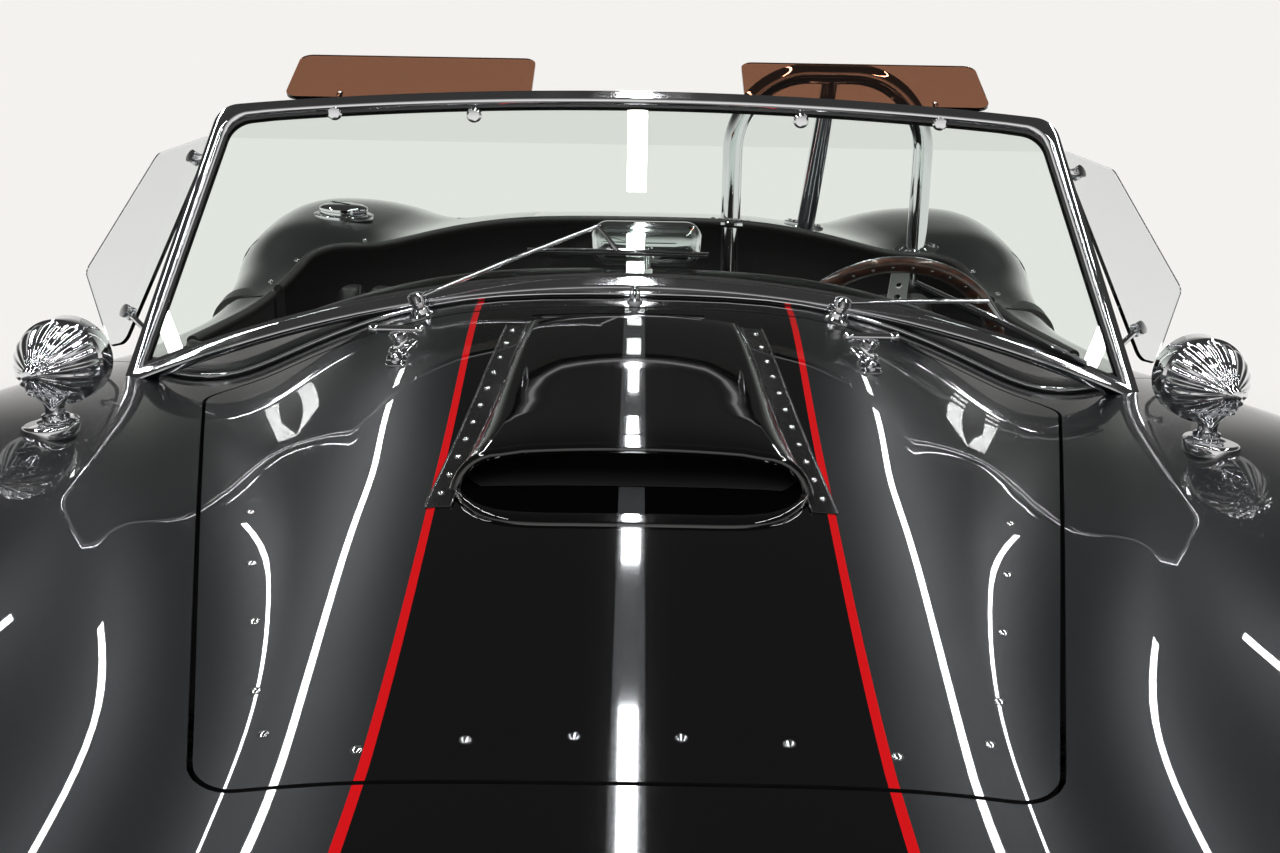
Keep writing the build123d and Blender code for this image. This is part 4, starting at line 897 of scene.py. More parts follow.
@dataclass
class Repeat:
    """Small pieces of one shape set at marks by a Geometry Nodes tree."""

    name: str
    shape: Shape
    width: float
    depth: float
    height: float
    finish: Finish

    def tree(self) -> tuple[NodeTree, dict[str, str]]:
        """Build the tree: the shape on each mark, turned by its attributes, realised and given its material."""
        tree = bpy.data.node_groups.new("repeat_" + self.name, "GeometryNodeTree")
        tree.is_modifier = True
        tree.interface.new_socket("Geometry", in_out="OUTPUT", socket_type="NodeSocketGeometry")
        tree.interface.new_socket("Geometry", in_out="INPUT", socket_type="NodeSocketGeometry")
        keys = {}
        for label in ("Width", "Depth", "Height"):
            keys[label] = tree.interface.new_socket(label, in_out="INPUT", socket_type="NodeSocketFloat").identifier
        source = add_node(tree, "NodeGroupInput")
        kind, sizes = self.shape.value
        form = add_node(tree, kind, sizes)
        read = {}
        for label in ("facing", "along", "stretch"):
            read[label] = add_node(tree, "GeometryNodeInputNamedAttribute", {"Name": label},
                                   data_type="FLOAT_VECTOR").outputs[0]
        up = add_node(tree, "FunctionNodeAlignRotationToVector", {"Vector": read["facing"]}, axis="Z")
        turn = add_node(tree, "FunctionNodeAlignRotationToVector",
                        {"Rotation": up.outputs[0], "Vector": read["along"]},
                        axis="X", pivot_axis="Z")
        size = add_node(tree, "ShaderNodeCombineXYZ", {"X": source.outputs["Width"], "Y": source.outputs["Depth"],
                                                       "Z": source.outputs["Height"]})
        scale = add_node(tree, "ShaderNodeVectorMath", {0: size.outputs[0], 1: read["stretch"]}, operation="MULTIPLY")
        placed = add_node(tree, "GeometryNodeInstanceOnPoints", {
            "Points": source.outputs["Geometry"], "Instance": form.outputs["Mesh"],
            "Rotation": turn.outputs[0], "Scale": scale.outputs[0],
        })
        plain = add_node(tree, "GeometryNodeRealizeInstances", {0: placed.outputs[0]})
        coated = add_node(tree, "GeometryNodeSetMaterial", {0: plain.outputs[0], "Material": self.finish.material()})
        add_node(tree, "NodeGroupOutput", {0: coated.outputs[0]})
        return tree, keys

    def build(self, marks: list[Mark], sharp: float = 35.0) -> Object:
        """Set the pieces.

        Args:
            marks: where they stand.
            sharp: edges steeper than this stay sharp.

        Returns:
            One plain mesh object of all of them.
        """
        mesh = bpy.data.meshes.new(self.name)
        mesh.from_pydata([tuple(m.place) for m in marks], [], [])
        for label in ("facing", "along", "stretch"):
            layer = mesh.attributes.new(label, "FLOAT_VECTOR", "POINT")
            for i, mark in enumerate(marks):
                layer.data[i].vector = getattr(mark, label)
        made = bpy.data.objects.new(self.name, mesh)
        bpy.context.scene.collection.objects.link(made)
        tree, keys = self.tree()
        nodes = made.modifiers.new("repeat", "NODES")
        nodes.node_group = tree
        for label, value in (("Width", self.width), ("Depth", self.depth), ("Height", self.height)):
            nodes[keys[label]] = value * MM
        bake(made)
        soften(made, sharp)
        return made

    def place(self, body: str, marks: list[Mark]) -> None:
        """Build the pieces, give them their finish and set them on a body."""
        dress(self.build(marks), self.finish, body)


@dataclass
class PathTube:
    """Round bar, pipe or bead that follows a path by a Geometry Nodes tree."""

    name: str
    diameter: float
    finish: Finish
    sides: int = 20

    def build(self, path: list[Vector], closed: bool = False) -> Object:
        """Sweep the section.

        Args:
            path: places in metres.
            closed: the path is a loop.

        Returns:
            One plain mesh object.
        """
        mesh = bpy.data.meshes.new(self.name)
        edges = [(i, i + 1) for i in range(len(path) - 1)] + ([(len(path) - 1, 0)] if closed else [])
        mesh.from_pydata([tuple(p) for p in path], edges, [])
        made = bpy.data.objects.new(self.name, mesh)
        bpy.context.scene.collection.objects.link(made)
        tree = bpy.data.node_groups.new("tube_" + self.name, "GeometryNodeTree")
        tree.is_modifier = True
        tree.interface.new_socket("Geometry", in_out="OUTPUT", socket_type="NodeSocketGeometry")
        tree.interface.new_socket("Geometry", in_out="INPUT", socket_type="NodeSocketGeometry")
        key = tree.interface.new_socket("Radius", in_out="INPUT", socket_type="NodeSocketFloat").identifier
        source = add_node(tree, "NodeGroupInput")
        line = add_node(tree, "GeometryNodeMeshToCurve", {0: source.outputs["Geometry"]})
        ring = add_node(tree, "GeometryNodeCurvePrimitiveCircle",
                        {"Resolution": self.sides, "Radius": source.outputs["Radius"]})
        skin = add_node(tree, "GeometryNodeCurveToMesh", {
            "Curve": line.outputs[0], "Profile Curve": ring.outputs[0], "Fill Caps": True,
        })
        plain = add_node(tree, "GeometryNodeRealizeInstances", {0: skin.outputs[0]})
        coated = add_node(tree, "GeometryNodeSetMaterial", {0: plain.outputs[0], "Material": self.finish.material()})
        add_node(tree, "NodeGroupOutput", {0: coated.outputs[0]})
        nodes = made.modifiers.new("tube", "NODES")
        nodes.node_group = tree
        nodes[key] = self.diameter / 2 * MM
        bake(made)
        return tidy(made)


def even_slopes(places: list[float], values: list[float]) -> list[float]:
    """Slopes of a smooth curve through values that rises and falls only where they do.

    Args:
        places: rising places along the car.
        values: the value at each.

    Returns:
        The slope at each place.
    """
    runs = [b - a for a, b in zip(places, places[1:])]
    rises = [(b - a) / run for a, b, run in zip(values, values[1:], runs)]
    slopes = [rises[0]]
    for i in range(1, len(rises)):
        before, after = rises[i - 1], rises[i]
        if before * after <= 0:
            slopes.append(0.0)
            continue
        first = 2 * runs[i] + runs[i - 1]
        second = runs[i] + 2 * runs[i - 1]
        slopes.append((first + second) / (first / before + second / after))
    return slopes + [rises[-1]]


def shrunk(corners: list[tuple[float, float]], inset: float) -> list[tuple[float, float]]:
    """Corners of an outline, which runs anticlockwise, with every side moved inwards.

    Args:
        corners: plane points in order.
        inset: how far the sides move.

    Returns:
        The moved corners.
    """
    moved = []
    for i, here in enumerate(corners):
        first = (Vector(here) - Vector(corners[i - 1])).normalized()
        second = (Vector(corners[(i + 1) % len(corners)]) - Vector(here)).normalized()
        one = Vector((-first.y, first.x))
        two = Vector((-second.y, second.x))
        spot = Vector(here) + (one + two) * (inset / (1 + one.dot(two)))
        moved.append((spot.x, spot.y))
    return moved


@dataclass
class BodyForm:
    """The body's outer form: one smooth surface through the section table from nose to tail."""

    columns: tuple[str, ...] = ("y", "z_floor", "x_sill", "x_low", "z_low", "x_out", "z_out",
                                "x_in", "z_in", "x_dip", "z_dip", "x_top", "z_top")
    rows: tuple[tuple[float, ...], ...] = (
        (-1948, 330, 330, 420, 365, 430, 500, 350, 545, 270, 553, 140, 558),
        (-1890, 285, 430, 590, 340, 600, 590, 470, 628, 350, 592, 180, 588),
        (-1790, 262, 520, 705, 340, 722, 715, 500, 722, 345, 622, 185, 618),
        (-1560, 235, 600, 795, 330, 805, 790, 535, 792, 320, 640, 185, 648),
        (-1250, 215, 690, 838, 340, 840, 806, 545, 804, 330, 655, 190, 676),
        (-816, 200, 690, 808, 330, 806, 796, 575, 798, 425, 705, 220, 772),
        (-440, 192, 690, 752, 330, 748, 768, 635, 770, 520, 742, 260, 868),
        (-200, 190, 690, 740, 330, 742, 742, 655, 750, 600, 760, 280, 875),
        (80, 190, 690, 740, 330, 742, 735, 650, 745, 600, 765, 280, 875),
        (430, 195, 690, 785, 340, 790, 778, 640, 782, 560, 785, 280, 870),
        (720, 205, 690, 848, 345, 850, 842, 615, 842, 515, 810, 270, 862),
        (1036, 225, 690, 872, 355, 872, 868, 600, 862, 480, 812, 260, 846),
        (1400, 255, 640, 838, 370, 836, 822, 575, 820, 450, 775, 250, 800),
        (1700, 290, 540, 740, 390, 740, 712, 520, 722, 410, 705, 230, 728),
        (1890, 345, 430, 590, 410, 596, 580, 450, 625, 350, 628, 200, 640),
        (1944, 400, 330, 440, 430, 442, 500, 360, 545, 280, 550, 150, 556),
    )
    corners: tuple[tuple[str, str], ...] = (("x_sill", "z_floor"), ("x_low", "z_low"), ("x_out", "z_out"),
                                            ("x_in", "z_in"), ("x_dip", "z_dip"), ("x_top", "z_top"))
    reach: float = 0.47
    skin: float = 6.0
    nose_round: float = 17.0
    arc_steps: int = 6
    line_steps: int = 4
    even_passes: int = 5

    def __post_init__(self) -> None:
        """Work out the curves of every column, the outer surface and its search tree."""
        self.places = [row[0] for row in self.rows]
        self.slopes = [even_slopes(self.places, [row[c] for row in self.rows]) for c in range(len(self.columns))]
        self.outer = self.surface()
        graph = self.outer.data
        graph.calc_loop_triangles()
        self.points = [v.co.copy() for v in graph.vertices]
        self.normals = [v.normal.copy() for v in graph.vertices]
        self.corners_of = [tuple(t.vertices) for t in graph.loop_triangles]
        self.search = BVHTree.FromPolygons(self.points, self.corners_of)

    def row(self, y: float) -> dict[str, float]:
        """Section sizes at a place along the car."""
        i = max(k for k in range(len(self.places) - 1) if self.places[k] <= y)
        run = self.places[i + 1] - self.places[i]
        t = (y - self.places[i]) / run
        values = {}
        for c, label in enumerate(self.columns):
            low, high = self.rows[i][c], self.rows[i + 1][c]
            first, last = self.slopes[c][i] * run, self.slopes[c][i + 1] * run
            values[label] = (low * (2 * t ** 3 - 3 * t ** 2 + 1) + first * (t ** 3 - 2 * t ** 2 + t)
                             + high * (3 * t ** 2 - 2 * t ** 3) + last * (t ** 3 - t ** 2))
        return values

    def ring(self, y: float) -> list[tuple[float, float]]:
        """Section outline at y, its corners rounded as far as its sides allow."""
        row = self.row(y)
        half = [(row[a], row[b]) for a, b in self.corners]
        loop = half + [(-x, z) for x, z in reversed(half)]
        points = []
        count = len(loop)
        for i, corner in enumerate(loop):
            here, far = Vector(corner), Vector(loop[(i + 1) % count])
            back, ahead = Vector(loop[i - 1]) - here, far - here
            after = Vector(loop[(i + 2) % count]) - far
            reach = self.reach * min(back.length, ahead.length)
            points += corner_arc(here, back, ahead, reach, self.arc_steps)
            end = here + ahead.normalized() * reach
            stop = far - ahead.normalized() * self.reach * min(ahead.length, after.length)
            points += [end.lerp(stop, k / self.line_steps) for k in range(1, self.line_steps)]
        return [(p.x, p.y) for p in points]

    def stations(self) -> list[float]:
        """Places of the rings, closer together where the form turns quickly."""
        places = [self.places[0]]
        while places[-1] < self.places[-1]:
            from_end = min(places[-1] - self.places[0], self.places[-1] - places[-1])
            places.append(places[-1] + (7.0 if from_end < 60 else 13.0 if from_end < 260 else 24.0))
        places[-1] = self.places[-1]
        return places

    def surface(self) -> Object:
        """Closed mesh of the outer form, evened along the car and rounded at its ends."""
        places = self.stations()
        grid = [[Vector((x, y, z)) for x, z in self.ring(y)] for y in places]
        for _ in range(self.even_passes):
            grid = [grid[0]] + [
                [(a + b * 2 + c) / 4 for a, b, c in zip(grid[i - 1], grid[i], grid[i + 1])]
                for i in range(1, len(grid) - 1)
            ] + [grid[-1]]
            grid = [[(ring[k - 1] + ring[k] * 2 + ring[(k + 1) % len(ring)]) / 4 for k in range(len(ring))]
                    for ring in grid]
        rings = []
        for ring in grid:
            from_end = min(ring[0].y - self.places[0], self.places[-1] - ring[0].y)
            inset = 0.0
            if from_end < self.nose_round:
                inset = self.nose_round - math.sqrt(self.nose_round ** 2 - (self.nose_round - from_end) ** 2)
            middle = sum(p.z for p in ring) / len(ring)
            wide = max(p.x for p in ring)
            tall = max(p.z for p in ring) - middle
            narrow, flat = 1 - inset / wide, 1 - inset / tall
            rings.append([mm(p.x * narrow, p.y, middle + (p.z - middle) * flat) for p in ring])
        return skinned("body_form", rings, sharp=60.0)

    def solid(self, name: str) -> Object:
        """Copy of the closed outer form."""
        made = bpy.data.objects.new(name, self.outer.data.copy())
        bpy.context.scene.collection.objects.link(made)
        return made

    def shell(self, name: str) -> Object:
        """The form as a hollow skin of its wall thickness."""
        wall = self.skin * MM
        source = self.outer.data
        count = len(source.vertices)
        points = self.points + [p - n * wall for p, n in zip(self.points, self.normals)]
        faces = [tuple(f.vertices) for f in source.polygons]
        faces += [tuple(count + v for v in reversed(f.vertices)) for f in source.polygons]
        return make_object(name, points, faces, 60.0)

    def seat(self, x: float, y: float) -> tuple[Vector, Vector]:
        """Place on the upper skin over a plan point in millimetres, and the way out of the skin there."""
        hit, _, index, _ = self.search.ray_cast(mm(x, y, 1500), -UP)
        return hit, self.normal_at(hit, index)

    def side(self, y: float, z: float) -> tuple[Vector, Vector]:
        """Place on the driver's side of the skin at a height, and the way out of the skin there."""
        hit, _, index, _ = self.search.ray_cast(mm(1500, y, z), -OUT)
        return hit, self.normal_at(hit, index)

    def normal_at(self, place: Vector, index: int) -> Vector:
        """Smooth normal at a place on a triangle of the outer surface."""
        a, b, c = self.corners_of[index]
        return barycentric_transform(place, self.points[a], self.points[b], self.points[c],
                                     self.normals[a], self.normals[b], self.normals[c]).normalized()

    def finish_skin(self, piece: Object, outside: Finish, inside: Finish) -> None:
        """Give a cut piece the smooth form's normals on its outside, and another finish elsewhere.

        Args:
            piece: a piece cut from the shell or the solid.
            outside: finish of the outer skin.
            inside: finish of all other faces.
        """
        mesh = piece.data
        mesh.materials.clear()
        mesh.materials.append(outside.material())
        mesh.materials.append(inside.material())
        soften(piece, 35.0)
        lookup: list[Vector | None] = []
        for point in mesh.vertices:
            hit, _, index, distance = self.search.find_nearest(point.co)
            lookup.append(self.normal_at(hit, index) if distance < 0.0004 else None)
        normals = []
        for face in mesh.polygons:
            outer = all(lookup[v] is not None and lookup[v].dot(face.normal) > 0.7 for v in face.vertices)
            face.material_index = 0 if outer else 1
            normals += [lookup[v] if outer else Vector((0, 0, 0)) for v in face.vertices]
        mesh.normals_split_custom_set(normals)


def plan_cutter(corners: list[tuple[float, float]], radius: float, low: float, high: float,
                inset: float = 0.0) -> Object:
    """Upright cutter over a plan outline, its sides moved inwards by inset."""
    outline = rounded_outline(shrunk(corners, inset), max(radius - inset, 1.0), 8)
    return slab("cutter", Axes(Vector(), OUT, BACK), outline, low, high)


def side_cutter(corners: list[tuple[float, float]], radius: float, low: float, high: float,
                inset: float = 0.0) -> Object:
    """Cutter across the car over an outline of y and z, between two places x."""
    outline = shrunk(corners, inset)
    if radius:
        outline = rounded_outline(outline, max(radius - inset, 1.0), 8)
    return slab("cutter", Axes(Vector(), BACK, Vector((0, 0, 1))), outline, low, high)


def round_cutter(start: Vector, end: Vector, diameter: float, segments: int = 72) -> Object:
    """Round cutter between two places."""
    run = end - start
    return lathe("cutter", start, run,
                 [(0, 0), (diameter / 2, 0), (diameter / 2, run.length / MM), (0, run.length / MM)], segments)


def box_cutter(x: tuple[float, float], y: tuple[float, float], z: tuple[float, float]) -> Object:
    """Box cutter between pairs of limits."""
    return slab("cutter", Axes(Vector(), OUT, BACK), box_outline(x, y), *z)


@dataclass
class Bodywork:
    """Painted skin: shell, bonnet, boot lid and doors, cut from one form so that their surfaces run on."""

    form: BodyForm
    hood: tuple[tuple[float, float], ...] = ((-288, -1268), (288, -1268), (530, -482), (-530, -482))
    hood_corner: float = 46.0
    lid: tuple[tuple[float, float], ...] = ((-440, 1010), (440, 1010), (350, 1740), (-350, 1740))
    lid_corner: float = 70.0
    cockpit: tuple[tuple[float, float], ...] = ((-640, -286), (640, -286), (640, 580), (-640, 580))
    cockpit_corner: float = 110.0
    door: tuple[tuple[float, float], ...] = ((-384, 306), (240, 306), (240, 1100), (-384, 1100))
    door_corner: float = 60.0
    shut_gap: float = 4.2
    swing_r: float = 602.0
    door_inner: float = 640.0
    pocket_x: float = 684.0
    pocket_top: float = 690.0
    hinge_x: float = 738.0
    hinge_y: float = -368.0
    hinge_r: float = 9.6
    hinge_h: float = 35.0
    hinges_z: tuple[float, ...] = (420.0, 610.0)
    arches: tuple[tuple[float, float, float, float], ...] = ((-1250, 340, 400, 452), (1036, 352, 392, 566))
    header_gap: tuple[tuple[float, float], ...] = ((-804, 222), (-495, 222), (-495, 402), (-804, 402))
    header_corner: float = 20.0
    sill_cut: tuple[tuple[float, float], ...] = ((-790, -10), (620, -10), (620, 284), (-790, 284))
    sill_x: float = 680.0
    skin_x: float = 634.0
    past_side: float = 1000.0
    past_end: float = 2100.0
    hood_z: tuple[float, float] = (560.0, 1100.0)
    lid_z: tuple[float, float] = (600.0, 1100.0)
    floor: tuple[tuple[float, float], ...] = ((-620, 620), (-1780, 1840), (-10, 330))
    mouth_y: float = -1975.0
    collar_step: float = 26.6
    hole_gap: float = 0.6
    bowl_depth: float = 150.0
    turn_hole: tuple[float, float] = (-1780.0, 82.6)
    tail_hole: tuple[float, float] = (1790.0, 86.6)
    jack_hole: tuple[float, float] = (1850.0, 46.0)

    def shell_cutters(self) -> list[Object]:
        """Every opening of the shell as a closed cutter."""
        cutters = [
            plan_cutter(list(self.hood), self.hood_corner, *self.hood_z),
            plan_cutter(list(self.lid), self.lid_corner, *self.lid_z),
            plan_cutter(list(self.cockpit), self.cockpit_corner, *self.lid_z),
            box_cutter(*self.floor),
            slab("cutter", Axes(mm(0, self.mouth_y, 0), OUT, UP),
                 rounded_outline(box_outline(MOUTH[:2], MOUTH[2:]), MOUTH_CORNER, 10), -70, 10),
        ]
        x, y, z = HEADLAMP
        holes = [(x, z, -self.past_end, y + self.bowl_depth, HEADLAMP_D + self.hole_gap, 72),
                 (x, z, -self.past_end, y, HEADLAMP_D + self.collar_step, 72),
                 (TURN_LAMP[0], TURN_LAMP[2], -self.past_end, *self.turn_hole, 72),
                 (TAIL_LAMP[0], TAIL_LAMP[2], self.tail_hole[0], self.past_end, self.tail_hole[1], 72)]
        depth, jack_d = self.jack_hole
        for z in JACK_Z:
            holes += [(JACK_X, z, -self.past_end, -depth, jack_d, 32), (JACK_X, z, depth, self.past_end, jack_d, 32)]
        gaps = ((self.door, self.door_corner, self.skin_x),
                (box_outline(VENT_Y, VENT_Z), VENT_CORNER, self.skin_x),
                (self.header_gap, self.header_corner, self.skin_x), (self.sill_cut, 0.0, self.sill_x))
        for side in (1, -1):
            for y, z, radius, wall in self.arches:
                start, end = mm(side * wall, y, z), mm(side * self.past_side, y, z)
                cutters.append(round_cutter(start, end, 2 * radius, 120))
            for outline, corner, inner in gaps:
                cutters.append(side_cutter(list(outline), corner, *sorted((side * inner, side * self.past_side))))
            for x, z, start, end, diameter, segments in holes:
                cutters.append(round_cutter(mm(side * x, start, z), mm(side * x, end, z), diameter, segments))
        return cutters

    def doors(self) -> None:
        """Both doors as hollowed solids with trimmed inner faces."""
        door = carve(self.form.solid("door_driver_skin"),
                     [side_cutter(list(self.door), self.door_corner, self.door_inner, 1000,
                                   self.shut_gap)], keep=True)
        cutters = [box_cutter((0, self.pocket_x), (-500, 400), (0, self.pocket_top))]
        for z in self.hinges_z:
            cutters.append(box_cutter((self.hinge_x - self.hinge_r, 1000), (-500, self.hinge_y),
                                      (z - self.hinge_h / 2, z + self.hinge_h / 2)))
        carve(door, cutters)
        carve(door, [round_cutter(mm(self.hinge_x, self.hinge_y, 0), mm(self.hinge_x, self.hinge_y, 1100),
                                  2 * self.swing_r, 180)], keep=True)
        twin = mirrored(door, "door_passenger_skin")
        for piece, (side, _) in zip((door, twin), SIDES):
            self.form.finish_skin(piece, BODY_PAINT, TRIM)
            dress(piece, BODY_PAINT, "door_" + side, "door_" + side)

    def build(self) -> None:
        """Cut and finish the shell, the opening panels and the lamp collars."""
        form = self.form
        shell = carve(form.shell("body_skin"), self.shell_cutters())
        hood = plan_cutter(list(self.hood), self.hood_corner, *self.hood_z, self.shut_gap)
        hood = carve(form.shell("bonnet_skin"), [hood], keep=True)
        lid = plan_cutter(list(self.lid), self.lid_corner, *self.lid_z, self.shut_gap)
        lid = carve(form.shell("boot_skin"), [lid], keep=True)
        rows = ((shell, "root", "body_shell"), (hood, "hood", "hood_panel"), (lid, "trunk", "trunk_lid"))
        for piece, body, node in rows:
            form.finish_skin(piece, BODY_PAINT, CHASSIS_PAINT)
            dress(piece, BODY_PAINT, body, node)
        self.doors()
        x, y, z = HEADLAMP
        wall = HEADLAMP_D / 2
        for side, sign in SIDES:
            collar = lathe("lamp_collar_" + side, mm(sign * x, y, z), BACK,
                           [(wall + 0.3, 0), (wall + 5, 0), (wall + 6, 1), (wall + 6, 150), (wall + 0.3, 150)], 72,
                           closed=True)
            dress(collar, BODY_PAINT, "root")
        self.hinges()
        bpy.data.objects.remove(form.outer)

    def hinges(self) -> None:
        """Goose-neck arms that carry the bonnet and the boot lid on their pins."""
        rows = (("hood", 190, -1370, 606, -1268, 46, 90), ("trunk", 300, 930, 770, 1010, 60, 80))
        for body, x, y, z, gap, dip, reach in rows:
            arms = []
            for sign in (1, -1):
                top = self.form.seat(sign * x, gap + reach)[0].z / MM - self.form.skin
                path = rounded_path([mm(sign * x, y, z), mm(sign * x, y + 50, z - dip),
                                     mm(sign * x, gap + 46, z - dip),
                                     mm(sign * x, gap + reach, z), mm(sign * x, gap + reach, top)], 18)
                arms.append(PathTube(body + "_arm", 15, CHASSIS_PAINT, 12).build(path))
            dress(merged(body + "_hinge_arms", arms), CHASSIS_PAINT, body)


@dataclass
class BonnetFittings:
    """Riveted air scoop, exposed rivets and T-handle latches."""

    form: BodyForm
    front_y: float = -905.0
    rear_y: float = -545.0
    front_half: float = 166.0
    rear_half: float = 127.0
    front_h: float = 48.0
    rear_h: float = 12.0
    flange: float = 24.0
    shoulder: float = 44.0
    wall: float = 2.5
    lean: float = 30.0
    lip_d: float = 11.0
    chin: float = 45.0
    rivet_pitch: float = 31.0
    latch: tuple[float, float] = (268.0, -560.0)
    rivet_u: tuple[tuple[float, float], ...] = (
        (-361, -864), (-332, -962), (-304, -1053), (-276, -1148), (-255, -1203),
        (-184, -1230), (-111, -1221), (-37, -1216), (37, -1216), (111, -1220), (184, -1229),
    )

    def half_at(self, t: float) -> float:
        """Half width of the scoop's body, 0 at its mouth and 1 at its rear end."""
        return self.front_half + (self.rear_half - self.front_half) * t

    def arch(self, y: float, t: float, inset: float) -> list[Vector]:
        """One cross row of the scoop from flank to flank, standing on the bonnet.

        Args:
            y: place along the car.
            t: 0 at the mouth and 1 at the rear end.
            inset: how far inside the outer face.

        Returns:
            Places in metres.
        """
        half = self.half_at(t) - inset
        rise = self.front_h + (self.rear_h - self.front_h) * t ** 1.15 - inset
        top = self.form.seat(0, y)[0].z / MM + rise
        row = []
        steps = 8
        for sign in (-1, 1):
            side = []
            foot = self.form.seat(half, y)[0].z / MM
            reach = min(self.shoulder, (top - foot) * 0.85 + 4)
            crown = top - 7
            for k in range(3):
                side.append((half + 3 * (1 - k / 2), foot - 3 + (crown - reach - foot + 3) * k / 3))
            for k in range(steps + 1):
                angle = math.pi / 2 * k / steps
                side.append((half - reach + reach * math.cos(angle), crown - reach + reach * math.sin(angle)))
            for k in range(1, 6):
                x = (half - reach) * (1 - k / 6)
                side.append((x, top - 7 * (x / half) ** 2 * half / (half - reach)))
            points = [mm(sign * x, y, z) for x, z in side]
            row += points if sign < 0 else [mm(0, y, top)] + points[::-1]
        return row

    def scoop(self) -> None:
        """Body of the scoop: an arched skin with a rolled front lip, flanges, and a black floor inside that is
        painted shade.
        """
        steps = 26
        rows, inner = [], []
        for i in range(steps + 1):
            t = i / steps
            y = self.front_y + (self.rear_y - self.front_y) * t
            rows.append(self.arch(y, t, 0.0))
            inner.append(self.arch(y, t, self.wall))
        count = len(rows[0])
        for k in range(count):
            across = abs(k / (count - 1) * 2 - 1)
            lean = self.lean * (1 - across ** 6)
            for i in range(6):
                fade = (1 - i / 6) ** 2
                rows[i][k] = rows[i][k] + mm(0, lean * fade, 0)
                inner[i][k] = inner[i][k] + mm(0, lean * fade, 0)
        ring_rows = [row + below[::-1] for row, below in zip(rows, inner)]
        body = skinned("scoop_shell", ring_rows, 40.0)
        rounded(body, 1.0, 2, 50.0)
        path = [p + mm(0, 1, -self.lip_d / 2 + 0.4) for p in rows[0][4:-4]]
        lip = PathTube("scoop_lip", self.lip_d, BODY_PAINT, 16).build(path)
        body.data.materials.append(BODY_PAINT.material())
        dress(merged("scoop_shell", [body, lip]), BODY_PAINT, "hood", "hood_scoop")
        self.flanges()
        # Black plate 1.2 mm over the bonnet inside the scoop: painted shade of the dark mouth.
        floor = []
        for i in range(9):
            y = self.front_y + 26 + (self.rear_y - self.front_y - 30) * i / 8
            t = (y - self.front_y) / (self.rear_y - self.front_y)
            half = self.half_at(t) - self.wall - 0.5
            floor.append([self.form.seat(half * (k / 8 * 2 - 1), y)[0] + mm(0, 0, 1.2) for k in range(9)])
        shade_floor = skinned("scoop_shade_floor", floor, closed=False)
        dress(shade_floor, SHADE_AND_SOOT_BLACK, "hood")
        chin = []
        for k in range(33):
            u = k / 16 - 1
            front = self.front_y - self.chin * (1 - abs(u) ** 7) + 6
            row = []
            for reach, rise in ((0, -1), (0, 2.5), (2, 5.5), (6, 7), (11, 6.5), (20, 4), (48, 1.4), (48, -1)):
                row.append(self.form.seat(u * (self.front_half - 4), front + reach)[0] + UP * rise * MM)
            chin.append(row)
        dress(skinned("scoop_chin", chin, 60.0), BODY_PAINT, "hood")

    def flanges(self) -> None:
        """Flat riveted flanges down both sides of the scoop."""
        strips, marks, borders = [], [], []
        for sign in (-1, 1):
            rows = []
            borders.append(rows)
            for i in range(15):
                t = i / 14
                y = self.front_y - 6 + (self.rear_y - self.front_y + 6) * t
                half = self.half_at(t) - 2
                rows.append([])
                for x in (half, half + self.flange * 0.5, half + self.flange):
                    place, normal = self.form.seat(sign * x, y)
                    rows[-1].append((place, normal))
            rings = [[p + n * 0.0016 for p, n in row] + [p - n * 0.0004 for p, n in reversed(row)] for row in rows]
            strips.append(rounded(skinned("flange", rings, 40.0), 0.5, 1, 50.0))
            count = int((self.rear_y - self.front_y) / self.rivet_pitch)
            for k in range(count):
                t = (k + 0.5) / count
                y = self.front_y + (self.rear_y - self.front_y) * t
                place, normal = self.form.seat(sign * (self.half_at(t) + self.flange * 0.5), y)
                marks.append(Mark(place + normal * 0.0016, normal))
        edges = [[row[k] for row in rows_of] for rows_of in borders for k in (0, 2)]
        edges = [[p + n * 0.0016 for p, n in edge] for edge in edges]
        beads = [PathTube("flange_edge", 2.0, RIVET_STEEL, 8).build(edge) for edge in edges]
        dress(merged("scoop_flanges", strips), GLOSS_BLACK, "hood")
        dress(merged("scoop_flange_edges", beads), RIVET_STEEL, "hood")
        Repeat("scoop_rivets", Shape.DOME, 6.4, 6.4, 4.0, RIVET_STEEL).place("hood", marks)

    def rivets(self) -> None:
        """Exposed rivets in a U over the bonnet."""
        marks = []
        for x, y in self.rivet_u + tuple((-x, y) for x, y in self.rivet_u[:5]):
            place, normal = self.form.seat(x, y)
            marks.append(Mark(place, normal))
        Repeat("bonnet_rivets", Shape.DOME, 9.0, 9.0, 3.2, RIVET_STEEL).place("hood", marks)

